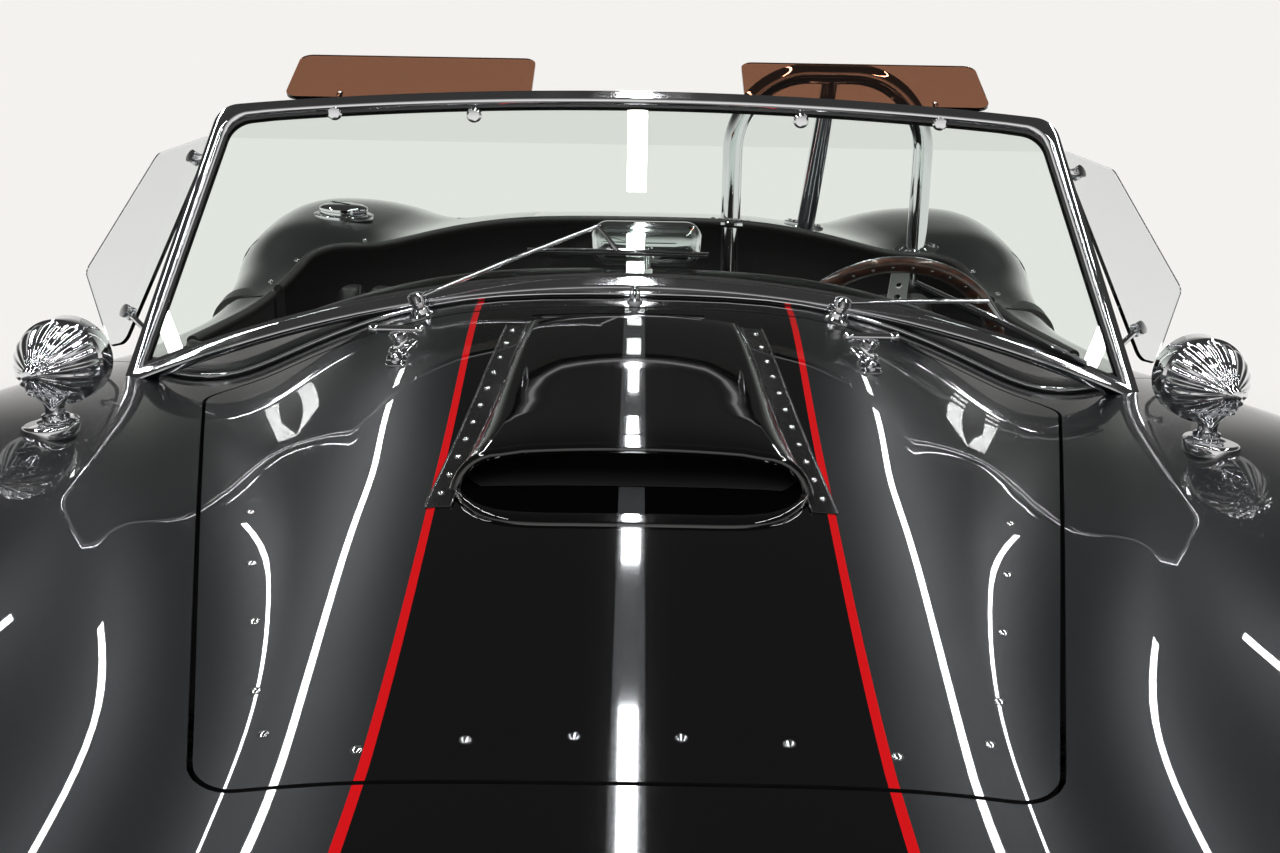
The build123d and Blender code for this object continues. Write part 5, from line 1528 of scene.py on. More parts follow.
    def latches(self) -> None:
        """Quick-turn latches: round base, stepped stem, T handle with ball ends, and the hook plate before it."""
        pieces = []
        x, y = self.latch
        for sign in (-1, 1):
            place, normal = self.form.seat(sign * x, y)
            pieces.append(lathe("latch_base", place - normal * 0.001, normal,
                                [(0, 0), (18, 0), (18, 2), (16, 4), (11, 5), (9, 8), (9, 13), (11, 15), (11, 19),
                                 (8, 21), (0, 21)], 32))
            bar = place + normal * 0.023
            pieces.append(PathTube("latch_bar", 8.5, CHROME, 16).build([bar - OUT * 0.026, bar + OUT * 0.026]))
            for end in (-1, 1):
                pieces.append(lathe("latch_end", bar + OUT * 0.026 * end, OUT * end,
                                    [(0, -4), (5.5, -4), (6.4, 0), (5.5, 4), (3, 6), (0, 6.5)], 20))
            front, lean = self.form.seat(sign * x, y - 34)
            axes = Axes(front, OUT, lean.cross(OUT).normalized())
            outline = rounded_outline(box_outline((-13, 13), (-17, 17)), 7)
            pieces.append(slab("latch_plate", axes, outline, -1, 2.5, 0.8))
            pieces.append(lathe("latch_pin", front, lean, [(0, 2), (6.5, 2), (6.5, 7), (4.5, 9.5), (0, 10)], 24))
        dress(merged("bonnet_latch_handles", pieces, bare=True), CHROME, "hood", "hood_latches")

    def build(self) -> None:
        """Make all fittings of the bonnet."""
        self.scoop()
        self.rivets()
        self.latches()


@dataclass
class Windscreen:
    """Raked flat pane in a bright frame, its seal, wind wings, visors, wipers and washer jet."""

    form: BodyForm
    base: tuple[float, float] = (-420.0, 872.0)
    rake: float = 27.0
    base_half: float = 628.0
    base_drop: float = 138.0
    top_half: float = 540.0
    top_corner: float = 240.0
    top_centre: float = 270.0
    bar: float = 19.0
    bar_t: float = 22.0
    corner_r: float = 48.0
    glass_t: float = 6.0
    wing_l: float = 200.0
    wing_t: float = 5.0
    wing_splay: float = 46.0
    visor_gap: float = 141.0
    visor_w: float = 322.0
    visor_chord: float = 118.0
    visor_lift: float = 28.0
    clips: tuple[float, float] = (0.22, 0.78)

    def __post_init__(self) -> None:
        """Set the glass plane: x across the car, y up the glass, z forwards."""
        lean = math.radians(self.rake)
        self.axes = Axes(mm(0, *self.base), OUT, Vector((0, math.sin(lean), math.cos(lean))))

    def outline(self, inset: float) -> list[tuple[float, float]]:
        """Outline in the glass plane, moved inwards.

        Args:
            inset: how far inside the frame's outer edge.

        Returns:
            Plane points, anticlockwise.
        """
        def bow(x: float, half: float, rise: float) -> float:
            """Height of a shallow arc over its ends."""
            radius = (half ** 2 + rise ** 2) / (2 * rise)
            return math.sqrt(radius ** 2 - x ** 2) - (radius - rise)

        base, top = [], []
        steps = 40
        slope = (self.base_half - self.top_half) / (self.base_drop + self.top_corner)
        low_half = self.base_half - inset * 1.03 + slope * (-inset)
        for k in range(steps + 1):
            x = low_half * (k / steps * 2 - 1)
            base.append((x, -self.base_drop + inset + bow(x, self.base_half, self.base_drop)))
        high_half = self.top_half - inset * 1.03 - self.corner_r
        for k in range(steps + 1):
            x = high_half * (1 - k / steps * 2)
            top.append((x, self.top_corner - inset + bow(x, self.top_half, self.top_centre - self.top_corner)))
        corner = (self.top_half - inset * 1.03 + slope * inset, self.top_corner - inset)
        right = rounded_outline([base[-1], corner, top[0]], self.corner_r - inset * 0.6, 8)[9:18]
        left = [(-x, y) for x, y in reversed(right)]
        return base + right + top + left

    def frame(self) -> None:
        """Rounded bright frame, its black glazing seal and the pane."""
        rings = []
        section = [(0, -7), (1, -10), (4, -11), (13, -11), (17, -8), (19, -4.5), (19, 4.5), (17, 8), (13, 11),
                   (4, 11), (1, 10), (0, 7)]
        for inset, depth in section:
            rings.append([self.axes.at(u, v, depth) for u, v in self.outline(inset)])
        made = skinned("screen_frame", rings + [rings[0]], 50.0, caps=False)
        dress(made, CHROME, "root", "windscreen_frame")
        for name, low, high in (("screen_seal_front", 3.2, 6.2), ("screen_seal_rear", -6.2, -3.2)):
            loop = [self.outline(18.4), self.outline(22.0)]
            rows = [[self.axes.at(u, v, high) for u, v in loop[0]], [self.axes.at(u, v, high) for u, v in loop[1]],
                    [self.axes.at(u, v, low) for u, v in loop[1]], [self.axes.at(u, v, low) for u, v in loop[0]]]
            dress(skinned(name, rows + [rows[0]], 50.0, caps=False), SEAL_RUBBER, "root")
        pane = slab("screen_pane", self.axes, self.outline(self.bar - 1), -self.glass_t / 2, self.glass_t / 2)
        dress(pane, WINDSCREEN, "root", "windscreen_glass")

    def base_seal(self) -> None:
        """Black skirt and bright bead that follow the cowl under the screen."""
        rows: list[list[Vector]] = []
        bead = []
        steps = 60
        for k in range(steps + 1):
            x = (self.base_half - 6) * (k / steps * 2 - 1)
            foot, _ = self.form.seat(x, self.base[0] + 6)
            front, _ = self.form.seat(x, self.base[0] - 16)
            rear, _ = self.form.seat(x, self.base[0] + 22)
            top = foot + UP * 0.013
            rows.append([front - UP * 0.002, front + UP * 0.003, top + mm(0, -10, 0), top + mm(0, 8, 0),
                         rear + UP * 0.003, rear - UP * 0.002])
            bead.append(front + UP * 0.004)
        dress(skinned("screen_base_seal", rows, 50.0), SEAL_RUBBER, "root")
        dress(PathTube("screen_base_bead", 6.5, CHROME, 12).build(bead), CHROME, "root")

    def brackets(self) -> None:
        """Small chrome clamps of the wings and visors."""
        pieces = []
        wing = self.wing_axes()
        high = self.wing_top(wing)
        for sign in (-1, 1):
            for share in (0.12, 0.86):
                post = self.axes.at(self.base_half - 8 + (self.top_half - self.base_half) * share,
                                    -self.base_drop + 40 + (self.top_corner + self.base_drop - 60) * share)
                plate = wing.at(high[0] * share + 30, high[1] * share + 6, self.wing_t / 2)
                for part in (PathTube("clamp_arm", 8, CHROME, 12).build([post, plate]),
                             lathe("clamp_knob", plate, wing.z,
                                   [(0, -8), (9, -8), (9, -4), (6, -3), (6, 3), (9, 4), (9, 8), (0, 9)], 20)):
                    pieces.append(flipped(part) if sign < 0 else part)
        visor = self.visor_axes()
        for sign in (-1, 1):
            for reach in self.clips:
                x = sign * (self.visor_gap + self.visor_w * reach)
                rail = self.axes.at(x, self.top_centre - self.bar / 2 - 10 - 3, -10)
                pieces.append(PathTube("visor_arm", 8, CHROME, 12).build([rail, visor.at(x, 14, 2)]))
                pieces.append(lathe("visor_knob", self.axes.at(x, self.top_centre - 34, 0), AHEAD,
                                    [(0, -9), (8, -9), (10, -4), (10, 4), (7, 8), (0, 9)], 20))
        dress(merged("screen_clamps", pieces, bare=True), CHROME, "root")

    def wing_post(self) -> tuple[Vector, Vector]:
        """Lower and upper end of the driver's wind wing along the frame's post."""
        return (self.axes.at(self.base_half + 8, -self.base_drop + 60, -20),
                self.axes.at(self.top_half + 8, self.top_corner - 30, -20))

    def wing_axes(self) -> Axes:
        """Plane of the driver's wind wing: x rearwards and out, y up along the post."""
        low, high = self.wing_post()
        splay = math.radians(self.wing_splay)
        out = Vector((math.sin(splay), math.cos(splay), 0))
        across = out.cross((high - low).normalized()).normalized()
        return Axes(low, out, across.cross(out).normalized())

    def wing_top(self, wing: Axes) -> tuple[float, float]:
        """Plane coordinates of the post's upper end."""
        away = (self.wing_post()[1] - wing.origin) / MM
        return away.dot(wing.x), away.dot(wing.y)

    def wings(self) -> None:
        """Clear five-sided wings with polished edges."""
        wing = self.wing_axes()
        top = self.wing_top(wing)
        corners = [(6, 4), (self.wing_l * 0.2, -6), (self.wing_l, top[1] * 0.27),
                   (top[0] + self.wing_l * 0.65, top[1] - self.wing_l * 0.17), (top[0] + 6, top[1])]
        plate = slab("wing_driver", wing, rounded_outline(corners, 14), 0, self.wing_t)
        twin = mirrored(plate, "wing_passenger")
        dress(merged("wind_wing_sheets", [plate, twin]), ACRYLIC, "root", "wind_wings")

    def visor_axes(self) -> Axes:
        """Plane of the visors: x across, y rearwards and up from behind the top rail."""
        lift = math.radians(self.visor_lift)
        return Axes(self.axes.at(0, self.top_centre - 10, -self.bar_t / 2 - 1), OUT,
                    Vector((0, math.cos(lift), math.sin(lift))))

    def visors(self) -> None:
        """Two tinted sheets over the top rail."""
        plane = self.visor_axes()
        sheets = []
        for sign in (-1, 1):
            middle = sign * (self.visor_gap + self.visor_w / 2)
            half = self.visor_w / 2
            outline = rounded_outline(box_outline((middle - half, middle + half), (0, self.visor_chord)), 16)
            sheets.append(slab("visor", plane, outline, 0, 5))
        dress(merged("visor_sheets", sheets), BROWN_SHEET, "root", "sun_visors")

    def wipers(self) -> None:
        """Spindle, sprung arm and blade of each wiper, and the washer jet."""
        rows = ((-262.0, (-48.0, 78.0), (-136.0, 48.0), (92.0, 46.0)),
                (250.0, (440.0, -12.0), (352.0, 14.0), (560.0, -88.0)))
        metal, rubber = [], []
        for spindle, elbow, start, end in rows:
            foot, normal = self.form.seat(spindle, self.base[0] - 44)
            metal.append(lathe("spindle", foot, normal,
                               [(0, -2), (15, -2), (15, 2), (12, 4), (11, 10), (8, 12), (8, 18), (10, 19),
                                 (10, 27), (6, 30), (0, 30)], 28))
            knee = self.axes.at(elbow[0], elbow[1], 20)
            root = foot + normal * 0.023
            path = [root, root.lerp(knee, 0.5) + self.axes.z * 0.004, knee]
            metal.append(PathTube("wiper_arm", 6.0, CHROME, 12).build(path))
            first, last = self.axes.at(start[0], start[1], 13), self.axes.at(end[0], end[1], 13)
            raised = (first + last) / 2 + self.axes.z * 0.006
            metal.append(PathTube("wiper_back", 4.5, CHROME, 10).build([first, raised, last]))
            metal.append(PathTube("wiper_tip", 6.0, CHROME, 10).build([knee, raised]))
            down = self.axes.z * 0.005
            rubber.append(PathTube("wiper_rubber", 5.0, SEAL_RUBBER, 8).build([first - down, last - down]))
        place, normal = self.form.seat(0, self.base[0] - 40)
        metal.append(lathe("washer_jet", place, normal,
                           [(0, -1), (10, -1), (10, 3), (7, 5), (7, 12), (5, 14), (5, 18), (0, 19)], 24))
        dress(merged("wiper_metal", metal, bare=True), CHROME, "root", "wiper_arms")
        dress(merged("wiper_rubbers", rubber), SEAL_RUBBER, "root")

    def build(self) -> None:
        """Make the screen and what hangs on it."""
        self.frame()
        self.base_seal()
        self.wings()
        self.visors()
        self.brackets()
        self.wipers()


@dataclass
class CarriedSolids:
    """Solids of the frame that show as they are, each with its finish."""

    table: tuple[tuple[Finish, tuple[str, ...]], ...] = (
        (CHASSIS_PAINT, ("wheel_wells", "frame_rails", "door_posts", "steering_column", "front_suspension",
                         "rear_suspension")),
        (CARPET, ("cockpit_tub", "trunk_tub")),
        (IRON, ("engine_block", "knuckle_driver", "knuckle_passenger")),
        (STEEL_TUBE, ("pedals",)),
    )

    def build(self) -> None:
        """Coat every one of them."""
        for finish, nodes in self.table:
            for node in nodes:
                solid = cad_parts[node]
                solid.data.materials.clear()
                solid.data.materials.append(finish.material())


@dataclass
class FenderMirrors:
    """Bullet mirrors on the front fenders: turned bowl with a ribbed nose, silvered glass, stem and oval foot."""

    form: BodyForm
    place: tuple[float, float] = (572.0, -790.0)
    head_r: float = 43.0
    head_l: float = 100.0
    rise: float = 20.0
    foot_l: float = 84.0
    foot_w: float = 46.0
    flutes: int = 22
    flute_depth: float = 2.0

    def cone(self, centre: Vector) -> Object:
        """Nose of the bowl, with flutes along it that fade out at both ends."""
        axes = Axes.about(centre, AHEAD)
        low, high = 30 - self.head_l / 2, self.head_l / 2 - 14
        rings = []
        for i in range(19):
            t = i / 18
            wide = 8 + (self.head_r - 10) * math.cos(math.pi / 2 * t) ** 0.9
            swell = math.pi * min(t * 1.6 + 0.02, 1 - t * 0.4 * t)
            depth = self.flute_depth * math.sin(swell) ** 0.5 if t < 1 else 0.0
            ring = []
            for k in range(self.flutes * 6):
                angle = 2 * math.pi * k / (self.flutes * 6)
                reach = wide - depth * (0.5 - 0.5 * math.cos(self.flutes * angle))
                ring.append(axes.at(reach * math.cos(angle), reach * math.sin(angle), low + (high - low) * t))
            rings.append(ring)
        return skinned("mirror_cone", rings, 50.0)

    def build(self) -> None:
        """Make both mirrors."""
        foot, normal = self.form.seat(*self.place)
        r, low, high = self.head_r, -self.head_l / 2, self.head_l / 2
        centre = foot + UP * (self.rise + r) * MM
        band = [(0, low + 6), (r - 4, low + 6), (r - 4, low), (r - 1, low), (r, low + 2), (r, low + 27),
                (r - 3, low + 30), (r - 3.5, low + 34), (0, low + 34)]
        knob = [(0, high - 16), (8, high - 16), (9, high - 12), (6, high - 10), (6, high - 8), (7.5, high - 5),
                (5, high - 1), (0, high)]
        pieces = [lathe("mirror_band", centre, AHEAD, band, 72, 28),
                  lathe("mirror_knob", centre, AHEAD, knob, 32, 28), self.cone(centre)]
        axes = Axes(foot - normal * 0.003, OUT, normal.cross(OUT).normalized())
        turns = [2 * math.pi * k / 40 for k in range(40)]
        w, l = self.foot_w / 2, self.foot_l / 2
        oval = [(math.cos(a) * w * (1 - 0.3 * math.sin(a)), math.sin(a) * l) for a in turns]
        pieces.append(slab("mirror_foot", axes, oval, -3, 11, 3.5))
        pieces.append(lathe("mirror_stem", foot + normal * 0.004, centre - foot,
                            [(0, 0), (20, 0), (20, 4), (17, 6), (13, 7), (13, 11), (9.5, 13), (9, 18), (11, 24),
                             (17, 30), (24, 34), (0, 36)], 36))
        for spot in (-0.3, 0.3):
            pieces.append(lathe("mirror_screw", axes.at(0, self.foot_l * spot, 10), normal,
                                [(0, 0), (5, 0), (4.5, 2), (0, 3)], 16))
        dress(both_sides("fender_mirror_bodies", merged("fender_mirror_bodies", pieces)), CHROME, "root",
              "fender_mirrors")
        glass = lathe("fender_mirror_glass", centre, AHEAD,
                      [(0, low + 4.5), (r - 4.6, low + 4.5), (r - 4.6, low + 6.2), (0, low + 6.2)], 64)
        dress(both_sides("fender_mirror_glasses", glass), MIRROR_GLASS, "root")


def radial(angle: float) -> Vector:
    """Direction away from an axle that lies across the car."""
    return Vector((0, math.cos(angle), math.sin(angle)))


@dataclass
class Wheel:
    """One wheel: tyre with a block tread, cast rim with six windows, turned lip, and a two-eared spinner."""

    name: str
    side: int
    y: float
    track: float
    tyre_r: float
    tyre_w: float
    flange_r: float = 206.0
    barrel_r: float = 191.7
    inset: float = 17.0
    disc_inset: float = 46.0
    block_count: int = 62
    rib_count: int = 5
    window_r: float = 118.0
    windows: int = 6
    bolt_r: float = 58.0
    block_h: float = 9.0
    block_slant: float = 0.28

    def tyre(self, hub: Vector) -> list[Object]:
        """Carcass with ribbed flanks, and its tread of staggered blocks."""
        half, r = self.tyre_w / 2, self.tyre_r
        middle = (r + self.barrel_r) / 2
        flank = [(self.barrel_r + 1.5, half - 24), (self.flange_r + 2, half - 18.5), (self.flange_r + 6, half - 12),
                 (middle - 14, half - 2), (middle, half - 0.5), (r - 50, half - 1), (r - 47, half),
                 (r - 44, half - 1.4),
                 (r - 30, half - 4), (r - 28, half - 3), (r - 25, half - 5), (r - 13, half - 14), (r - 7, half - 28)]
        profile = flank + [(a, -b) for a, b in reversed(flank)]
        carcass = lathe("tyre_" + self.name, hub, OUT, profile, 96, 30, closed=True)
        marks = []
        pitch = (self.tyre_w - 40) / self.rib_count
        for i in range(self.rib_count):
            across = (i - (self.rib_count - 1) / 2) * pitch
            for k in range(self.block_count):
                angle = 2 * math.pi * (k + 0.5 * (i % 2)) / self.block_count
                out = radial(angle)
                along = (OUT + OUT.cross(out) * self.block_slant * (1 if i < self.rib_count / 2 else -1)).normalized()
                marks.append(Mark(hub + OUT * across * MM + out * (r - 5.2) * MM, out, along))
        length = 2 * math.pi * r / self.block_count - 4.5
        tread = Repeat("tread_" + self.name, Shape.BLOCK, pitch - 5, length, self.block_h, TYRE_RUBBER).build(marks)
        return [carcass, tread]

    def rim(self, hub: Vector) -> list[Object]:
        """Barrel with rolled lips, windowed disc with a hub, ring of bolts and spinner."""
        half = self.tyre_w / 2 - self.inset
        b, f = self.barrel_r, self.flange_r
        lip = [(b - 9, half + 3), (b - 2, half + 5), (f - 3, half + 5), (f, half + 3), (f, half), (b, half - 4)]
        barrel = [(b, 4 - half), (f, -half), (f, -3 - half), (f - 3, -5 - half), (b - 9, -4 - half),
                  (b - 9, half - 40)]
        shell = lathe("rim_" + self.name, hub, OUT, lip + barrel, 96, 40, closed=True)
        face = half - self.disc_inset + 22
        disc = lathe("disc", hub, OUT,
                     [(0, face - 22), (b - 8.8, face - 18), (b - 8.8, face + 4), (b - 16, face + 3), (150, face - 2),
                       (88, face + 1), (70, face + 10), (50, face + 14), (0, face + 14)], 96)
        cutters = []
        for k in range(self.windows):
            angle = 2 * math.pi * k / self.windows
            out = radial(angle)
            axes = Axes(hub + out * self.window_r * MM, out, OUT.cross(out))
            outline = rounded_outline([(-34, -22), (44, -40), (44, 40), (-34, 22)], 16)
            cutters.append(slab("window", axes, outline, -200, 200))
        rounded(carve(disc, cutters), 3.0, 2, 50)
        disc.data.materials.clear()
        shell.data.materials.append(TURNED_WHEEL.material())
        disc.data.materials.append(CAST_WHEEL.material())
        marks = []
        for k in range(self.windows):
            angle = 2 * math.pi * (k + 0.5) / self.windows
            marks.append(Mark(hub + (radial(angle) * self.bolt_r + OUT * (face + 15)) * MM, OUT))
        bolts = Repeat("bolts_" + self.name, Shape.HEXAGON, 15, 15, 9, RIVET_STEEL).build(marks)
        nut = lathe("spinner", hub, OUT,
                    [(0, face + 12), (38, face + 12), (38, face + 17), (33, face + 22), (30, face + 30),
                      (24, face + 36), (22, face + 42), (0, face + 45)], 48)
        axes = Axes(hub + OUT * (face + 27) * MM, BACK, UP)
        ear = rounded_outline([(-12, -10), (30, -15), (76, -10), (76, 10), (30, 15), (-12, 10)], 9)
        ears = [slab("ear", axes, [(s * u, v) for u, v in ear], -6, 7, 3.0) for s in (1, -1)]
        spinner = merged("spinner_" + self.name, [nut] + ears)
        spinner.data.materials.clear()
        spinner.data.materials.append(CHROME.material())
        return [merged("rim_" + self.name, [shell, disc]), bolts, spinner]

    def build(self) -> None:
        """Make the wheel on the driver's side, turned over for the other, and set it on its body."""
        hub = mm(self.track / 2, self.y, self.tyre_r)
        body = "wheel_" + self.name
        tyre, tread = self.tyre(hub)
        rim, bolts, spinner = self.rim(hub)
        rows = [(tyre, TYRE_RUBBER, ("tyre_" + self.name,)), (tread, TYRE_RUBBER, ()),
                (rim, CAST_WHEEL, ("rim_" + self.name,)), (bolts, RIVET_STEEL, ()), (spinner, CHROME, ())]
        for piece, finish, nodes in rows:
            dress(flipped(piece) if self.side < 0 else piece, finish, body, *nodes)


@dataclass
class LampsAndNose:
    """Headlamps, turn and tail lamps, the mouth's grille, the radiator's core and the quick-jack bars."""

    mouth_y: float = -1936.0
    core_y: float = -1600.0
    core: tuple[tuple[float, float], ...] = ((-262, 250), (262, 250), (262, 560), (-262, 560))
    jack_y: float = 1976.0
    jack_d: float = 38.0
    jack_roots: tuple[float, float] = (-1888.0, 1884.0)
    grommets: tuple[float, float] = (-1920.0, 1912.0)

    def headlamp(self) -> None:
        """Polished rim, reflector bowl with its bulb, and a domed lens with upright flutes."""
        at, r = mm(*HEADLAMP), HEADLAMP_D / 2
        quarter = [math.pi / 2 * k / 12 for k in range(13)]
        section = [(r - 13, -2), (r - 13, 6), (r - 8, 11), (r, 12), (r + 8, 9), (r + 12.5, 3), (r + 12.5, 0),
                   (r - 4, 0), (r - 4, -90), (r - 13, -90)]
        rim = lathe("headlamp_rims", at, AHEAD, section, 72, 40, closed=True)
        bowl = [(r - 13.5, 2)] + [((r - 14) * math.cos(a), -2 - 62 * math.sin(a)) for a in quarter]
        bowl = lathe("headlamp_reflectors", at, AHEAD, bowl + [(0, -68), (r - 12, -68), (r - 12, 2)], 60, 50,
                     closed=True)
        bulb = lathe("headlamp_bulbs", at, AHEAD,
                     [(0, -64), (9, -64), (9, -40), (12, -38), (12, -30), (6, -24), (0, -23)], 24)
        s = r - 13.4
        dome = [(s * math.sin(a), -8 + 30 * math.cos(a)) for a in quarter]
        section = dome + [(s, -12)] + [(a * 0.965, b - 4) for a, b in reversed(dome)]
        lens = lathe("headlamp_lens_glass", at, AHEAD, section, 72, 50)
        flutes = []
        for x in range(-63, 64, 9):
            flutes.append(Mark(at + mm(x, -0.5, 0), UP, OUT, Vector((1, 1, math.sqrt(s * s - x * x) * 2 - 14))))
        ribs = Repeat("headlamp_flutes", Shape.PIN, 4.0, 2.0, 1.0, LAMP_GLASS).build(flutes)
        for piece, finish, nodes in ((rim, CHROME, ("headlamp_bezels",)), (bowl, REFLECTOR, ()),
                                     (bulb, LAMP_GLASS, ()),
                                     (merged("headlamp_lens_glass", [lens, ribs]), LAMP_GLASS, ("headlamp_lenses",))):
            dress(both_sides(piece.name, piece), finish, "root", *nodes)

    def small_lamps(self) -> None:
        """Ringed turn lamps in the nose and tail lamps, with stepped lenses."""
        for label, place, axis, finish, r in (("turn", TURN_LAMP, AHEAD, AMBER, 41.0),
                                              ("tail", TAIL_LAMP, -AHEAD, RED, 43.0)):
            at = mm(*place)
            lens = [(0, -40), (r - 3, -40), (r - 3, 6), (r - 6, 12), (r - 12, 15), (r - 13, 12.6), (r - 20, 14.6),
                    (r - 21, 12.4), (r - 29, 15.6), (r - 30, 13.6), (0, 18)]
            body = lathe(label + "_lenses", at, axis, lens, 56, 30)
            ring = lathe(label + "_rings", at, axis,
                         [(r - 3, -45), (r, -45), (r + 5, 0), (r + 6, 4), (r + 3, 8), (r - 1, 9), (r - 3, 6)],
                         56, 40, closed=True)
            dress(both_sides(label + "_lenses", body), finish, "root", label + "_lamps")
            dress(both_sides(label + "_rings", ring), CHROME, "root")

    def mouth_and_bars(self) -> None:
        """Slatted grille in a rolled rim, radiator core with its fins, and the jack bars."""
        x0, x1, z0, z1 = MOUTH
        axes = Axes(mm(0, self.mouth_y, 0), OUT, UP)
        inner = box_outline((x0 + 5, x1 - 5), (z0 + 5, z1 - 5))
        path = [axes.at(u, v) for u, v in rounded_outline(inner, 74, 10)]
        rim = PathTube("grille_rim", 9, CHROME, 12).build(path, closed=True)
        marks = []
        for k in range(-7, 8):
            x = k * (x1 - x0) / 16
            cut = max(0.0, abs(x) - (x1 - MOUTH_CORNER))
            drop = MOUTH_CORNER - math.sqrt(max(MOUTH_CORNER ** 2 - cut ** 2, 0.0))
            marks.append(Mark(axes.at(x, (z0 + z1) / 2, -4), UP, OUT, Vector((1, 1, z1 - z0 - 8 - 2 * drop))))
        bars = Repeat("grille_bars", Shape.BLOCK, 3.5, 10.0, 1.0, CHROME).build(marks)
        dress(merged("grille_bars_and_rim", [rim, bars]), CHROME, "root", "mouth_grille")
        axes = Axes(mm(0, self.core_y, 0), OUT, UP)
        core = slab("radiator_core", axes, rounded_outline(list(self.core), 14), -60, 0, 2)
        dress(core, CHASSIS_PAINT, "root", "radiator")
        fins = [Mark(mm(0, self.core_y - 1, 268 + 7 * k), UP, OUT) for k in range(40)]
        tubes = [Mark(mm(-232 + 16 * k, self.core_y - 2, 405), UP) for k in range(30)]
        Repeat("radiator_fins", Shape.BLOCK, 480, 5, 2.2, STEEL_TUBE).place("root", fins)
        Repeat("radiator_tubes", Shape.BLOCK, 4, 6, 276, IRON).place("root", tubes)
        bars = []
        low, high = JACK_Z
        for end, root in zip((-self.jack_y, self.jack_y), self.jack_roots):
            corners = [mm(JACK_X, root, low), mm(JACK_X, end, low), mm(JACK_X, end, high), mm(JACK_X, root, high)]
            bars.append(PathTube("jack_bar", self.jack_d, CHROME, 28).build(rounded_path(corners, 46, 8)))
        for end in self.grommets:
            for z in JACK_Z:
                axis = Vector((0, math.copysign(1, end), 0))
                section = [(19, 0), (27, 0), (29, 3), (27, 9), (19, 11)]
                bars.append(lathe("grommet", mm(JACK_X, end, z), axis, section, 32, 40, closed=True))
                bars[-1].data.materials.append(SEAL_RUBBER.material())
        dress(both_sides("jack_bars", merged("jack_bars", bars)), CHROME, "root", "quick_jacks")

    def build(self) -> None:
        """Make the lamps, the mouth and the bars."""
        self.headlamp()
        self.small_lamps()
        self.mouth_and_bars()


@dataclass
class SteeringWheel:
    """Wood-rimmed wheel: riveted rim over a metal core, three drilled spokes, boss with a plain cap."""

    centre: tuple[float, float, float] = (405.0, -20.0, 706.0)
    tilt: float = 20.0
    rim_r: float = 173.0
    rim_w: float = 26.0
    rim_t: float = 22.0
    spoke_w: float = 34.0
    hub_r: float = 46.0
    rivets: int = 36

    def build(self) -> None:
        """Make rim, core, rivets, spokes and boss."""
        lean = math.radians(self.tilt)
        axis = Vector((0, math.cos(lean), math.sin(lean)))
        middle = mm(*self.centre)
        axes = Axes(middle, OUT, axis.cross(OUT).normalized())
        r = self.rim_r
        section = []
        for k in range(16):
            angle = 2 * math.pi * k / 16
            section.append((r + math.cos(angle) * self.rim_w / 2, math.sin(angle) * self.rim_t / 2))
        rim = lathe("steering_rim_wood", middle, axis, section, 120, 60, closed=True)
        dress(rim, WOOD, "steering_wheel", "steering_rim")
        core = []
        for sign in (-1, 1):
            reach = sign * self.rim_w / 2
            loop = [(r + reach - 0.8, -1.6), (r + reach + 0.5, -1.6), (r + reach + 0.5, 1.6), (r + reach - 0.8, 1.6)]
            core.append(lathe("rim_core", middle, axis, loop, 120, 40, closed=True))
        dress(merged("steering_rim_core", core), STEEL_TUBE, "steering_wheel")
        marks = []
        for k in range(self.rivets):
            angle = 2 * math.pi * (k + 0.5) / self.rivets
            for sign in (-1, 1):
                place = axes.at(math.cos(angle) * r, math.sin(angle) * r, sign * (self.rim_t / 2 - 0.1))
                marks.append(Mark(place, axis * sign))
        Repeat("steering_rim_rivets", Shape.DOME, 4.2, 4.2, 1.6, RIVET_STEEL).place("steering_wheel", marks)
        plate = []
        for turn in (-90, 30, 150):
            angle = math.radians(turn)
            along = axes.x * math.cos(angle) + axes.y * math.sin(angle)
            spoke = Axes(middle, along, axis.cross(along).normalized())
            half = self.spoke_w / 2
            arm = slab("spoke", spoke, rounded_outline([(30, -half), (r - 8, -half * 0.8), (r - 8, half * 0.8),
                                                        (30, half)], 3), -2, 2)
            holes = [lathe("hole", spoke.at(reach, 0, -6), axis, box_outline((0, size), (0, 12)), 28)
                     for reach, size in ((66, 8.0), (93, 6.8), (117, 5.6), (138, 4.6))]
            plate.append(rounded(carve(arm, holes), 0.6, 1))
        plate.append(lathe("boss", middle, axis,
                           [(0, -40), (31, -40), (31, -14), (36, -8), (self.hub_r, -4), (self.hub_r, 2.2),
                            (38, 4), (38, 6), (28, 8), (26, 12), (0, 12.5)], 60, 30))
        dress(merged("steering_spokes_plate", plate), STEEL_TUBE, "steering_wheel", "steering_spokes")
        bolts = bolt_ring(axes, 33, 7, 6, axis)
        Repeat("steering_boss_bolts", Shape.HEXAGON, 6.5, 6.5, 4.0, RIVET_STEEL).place("steering_wheel", bolts)


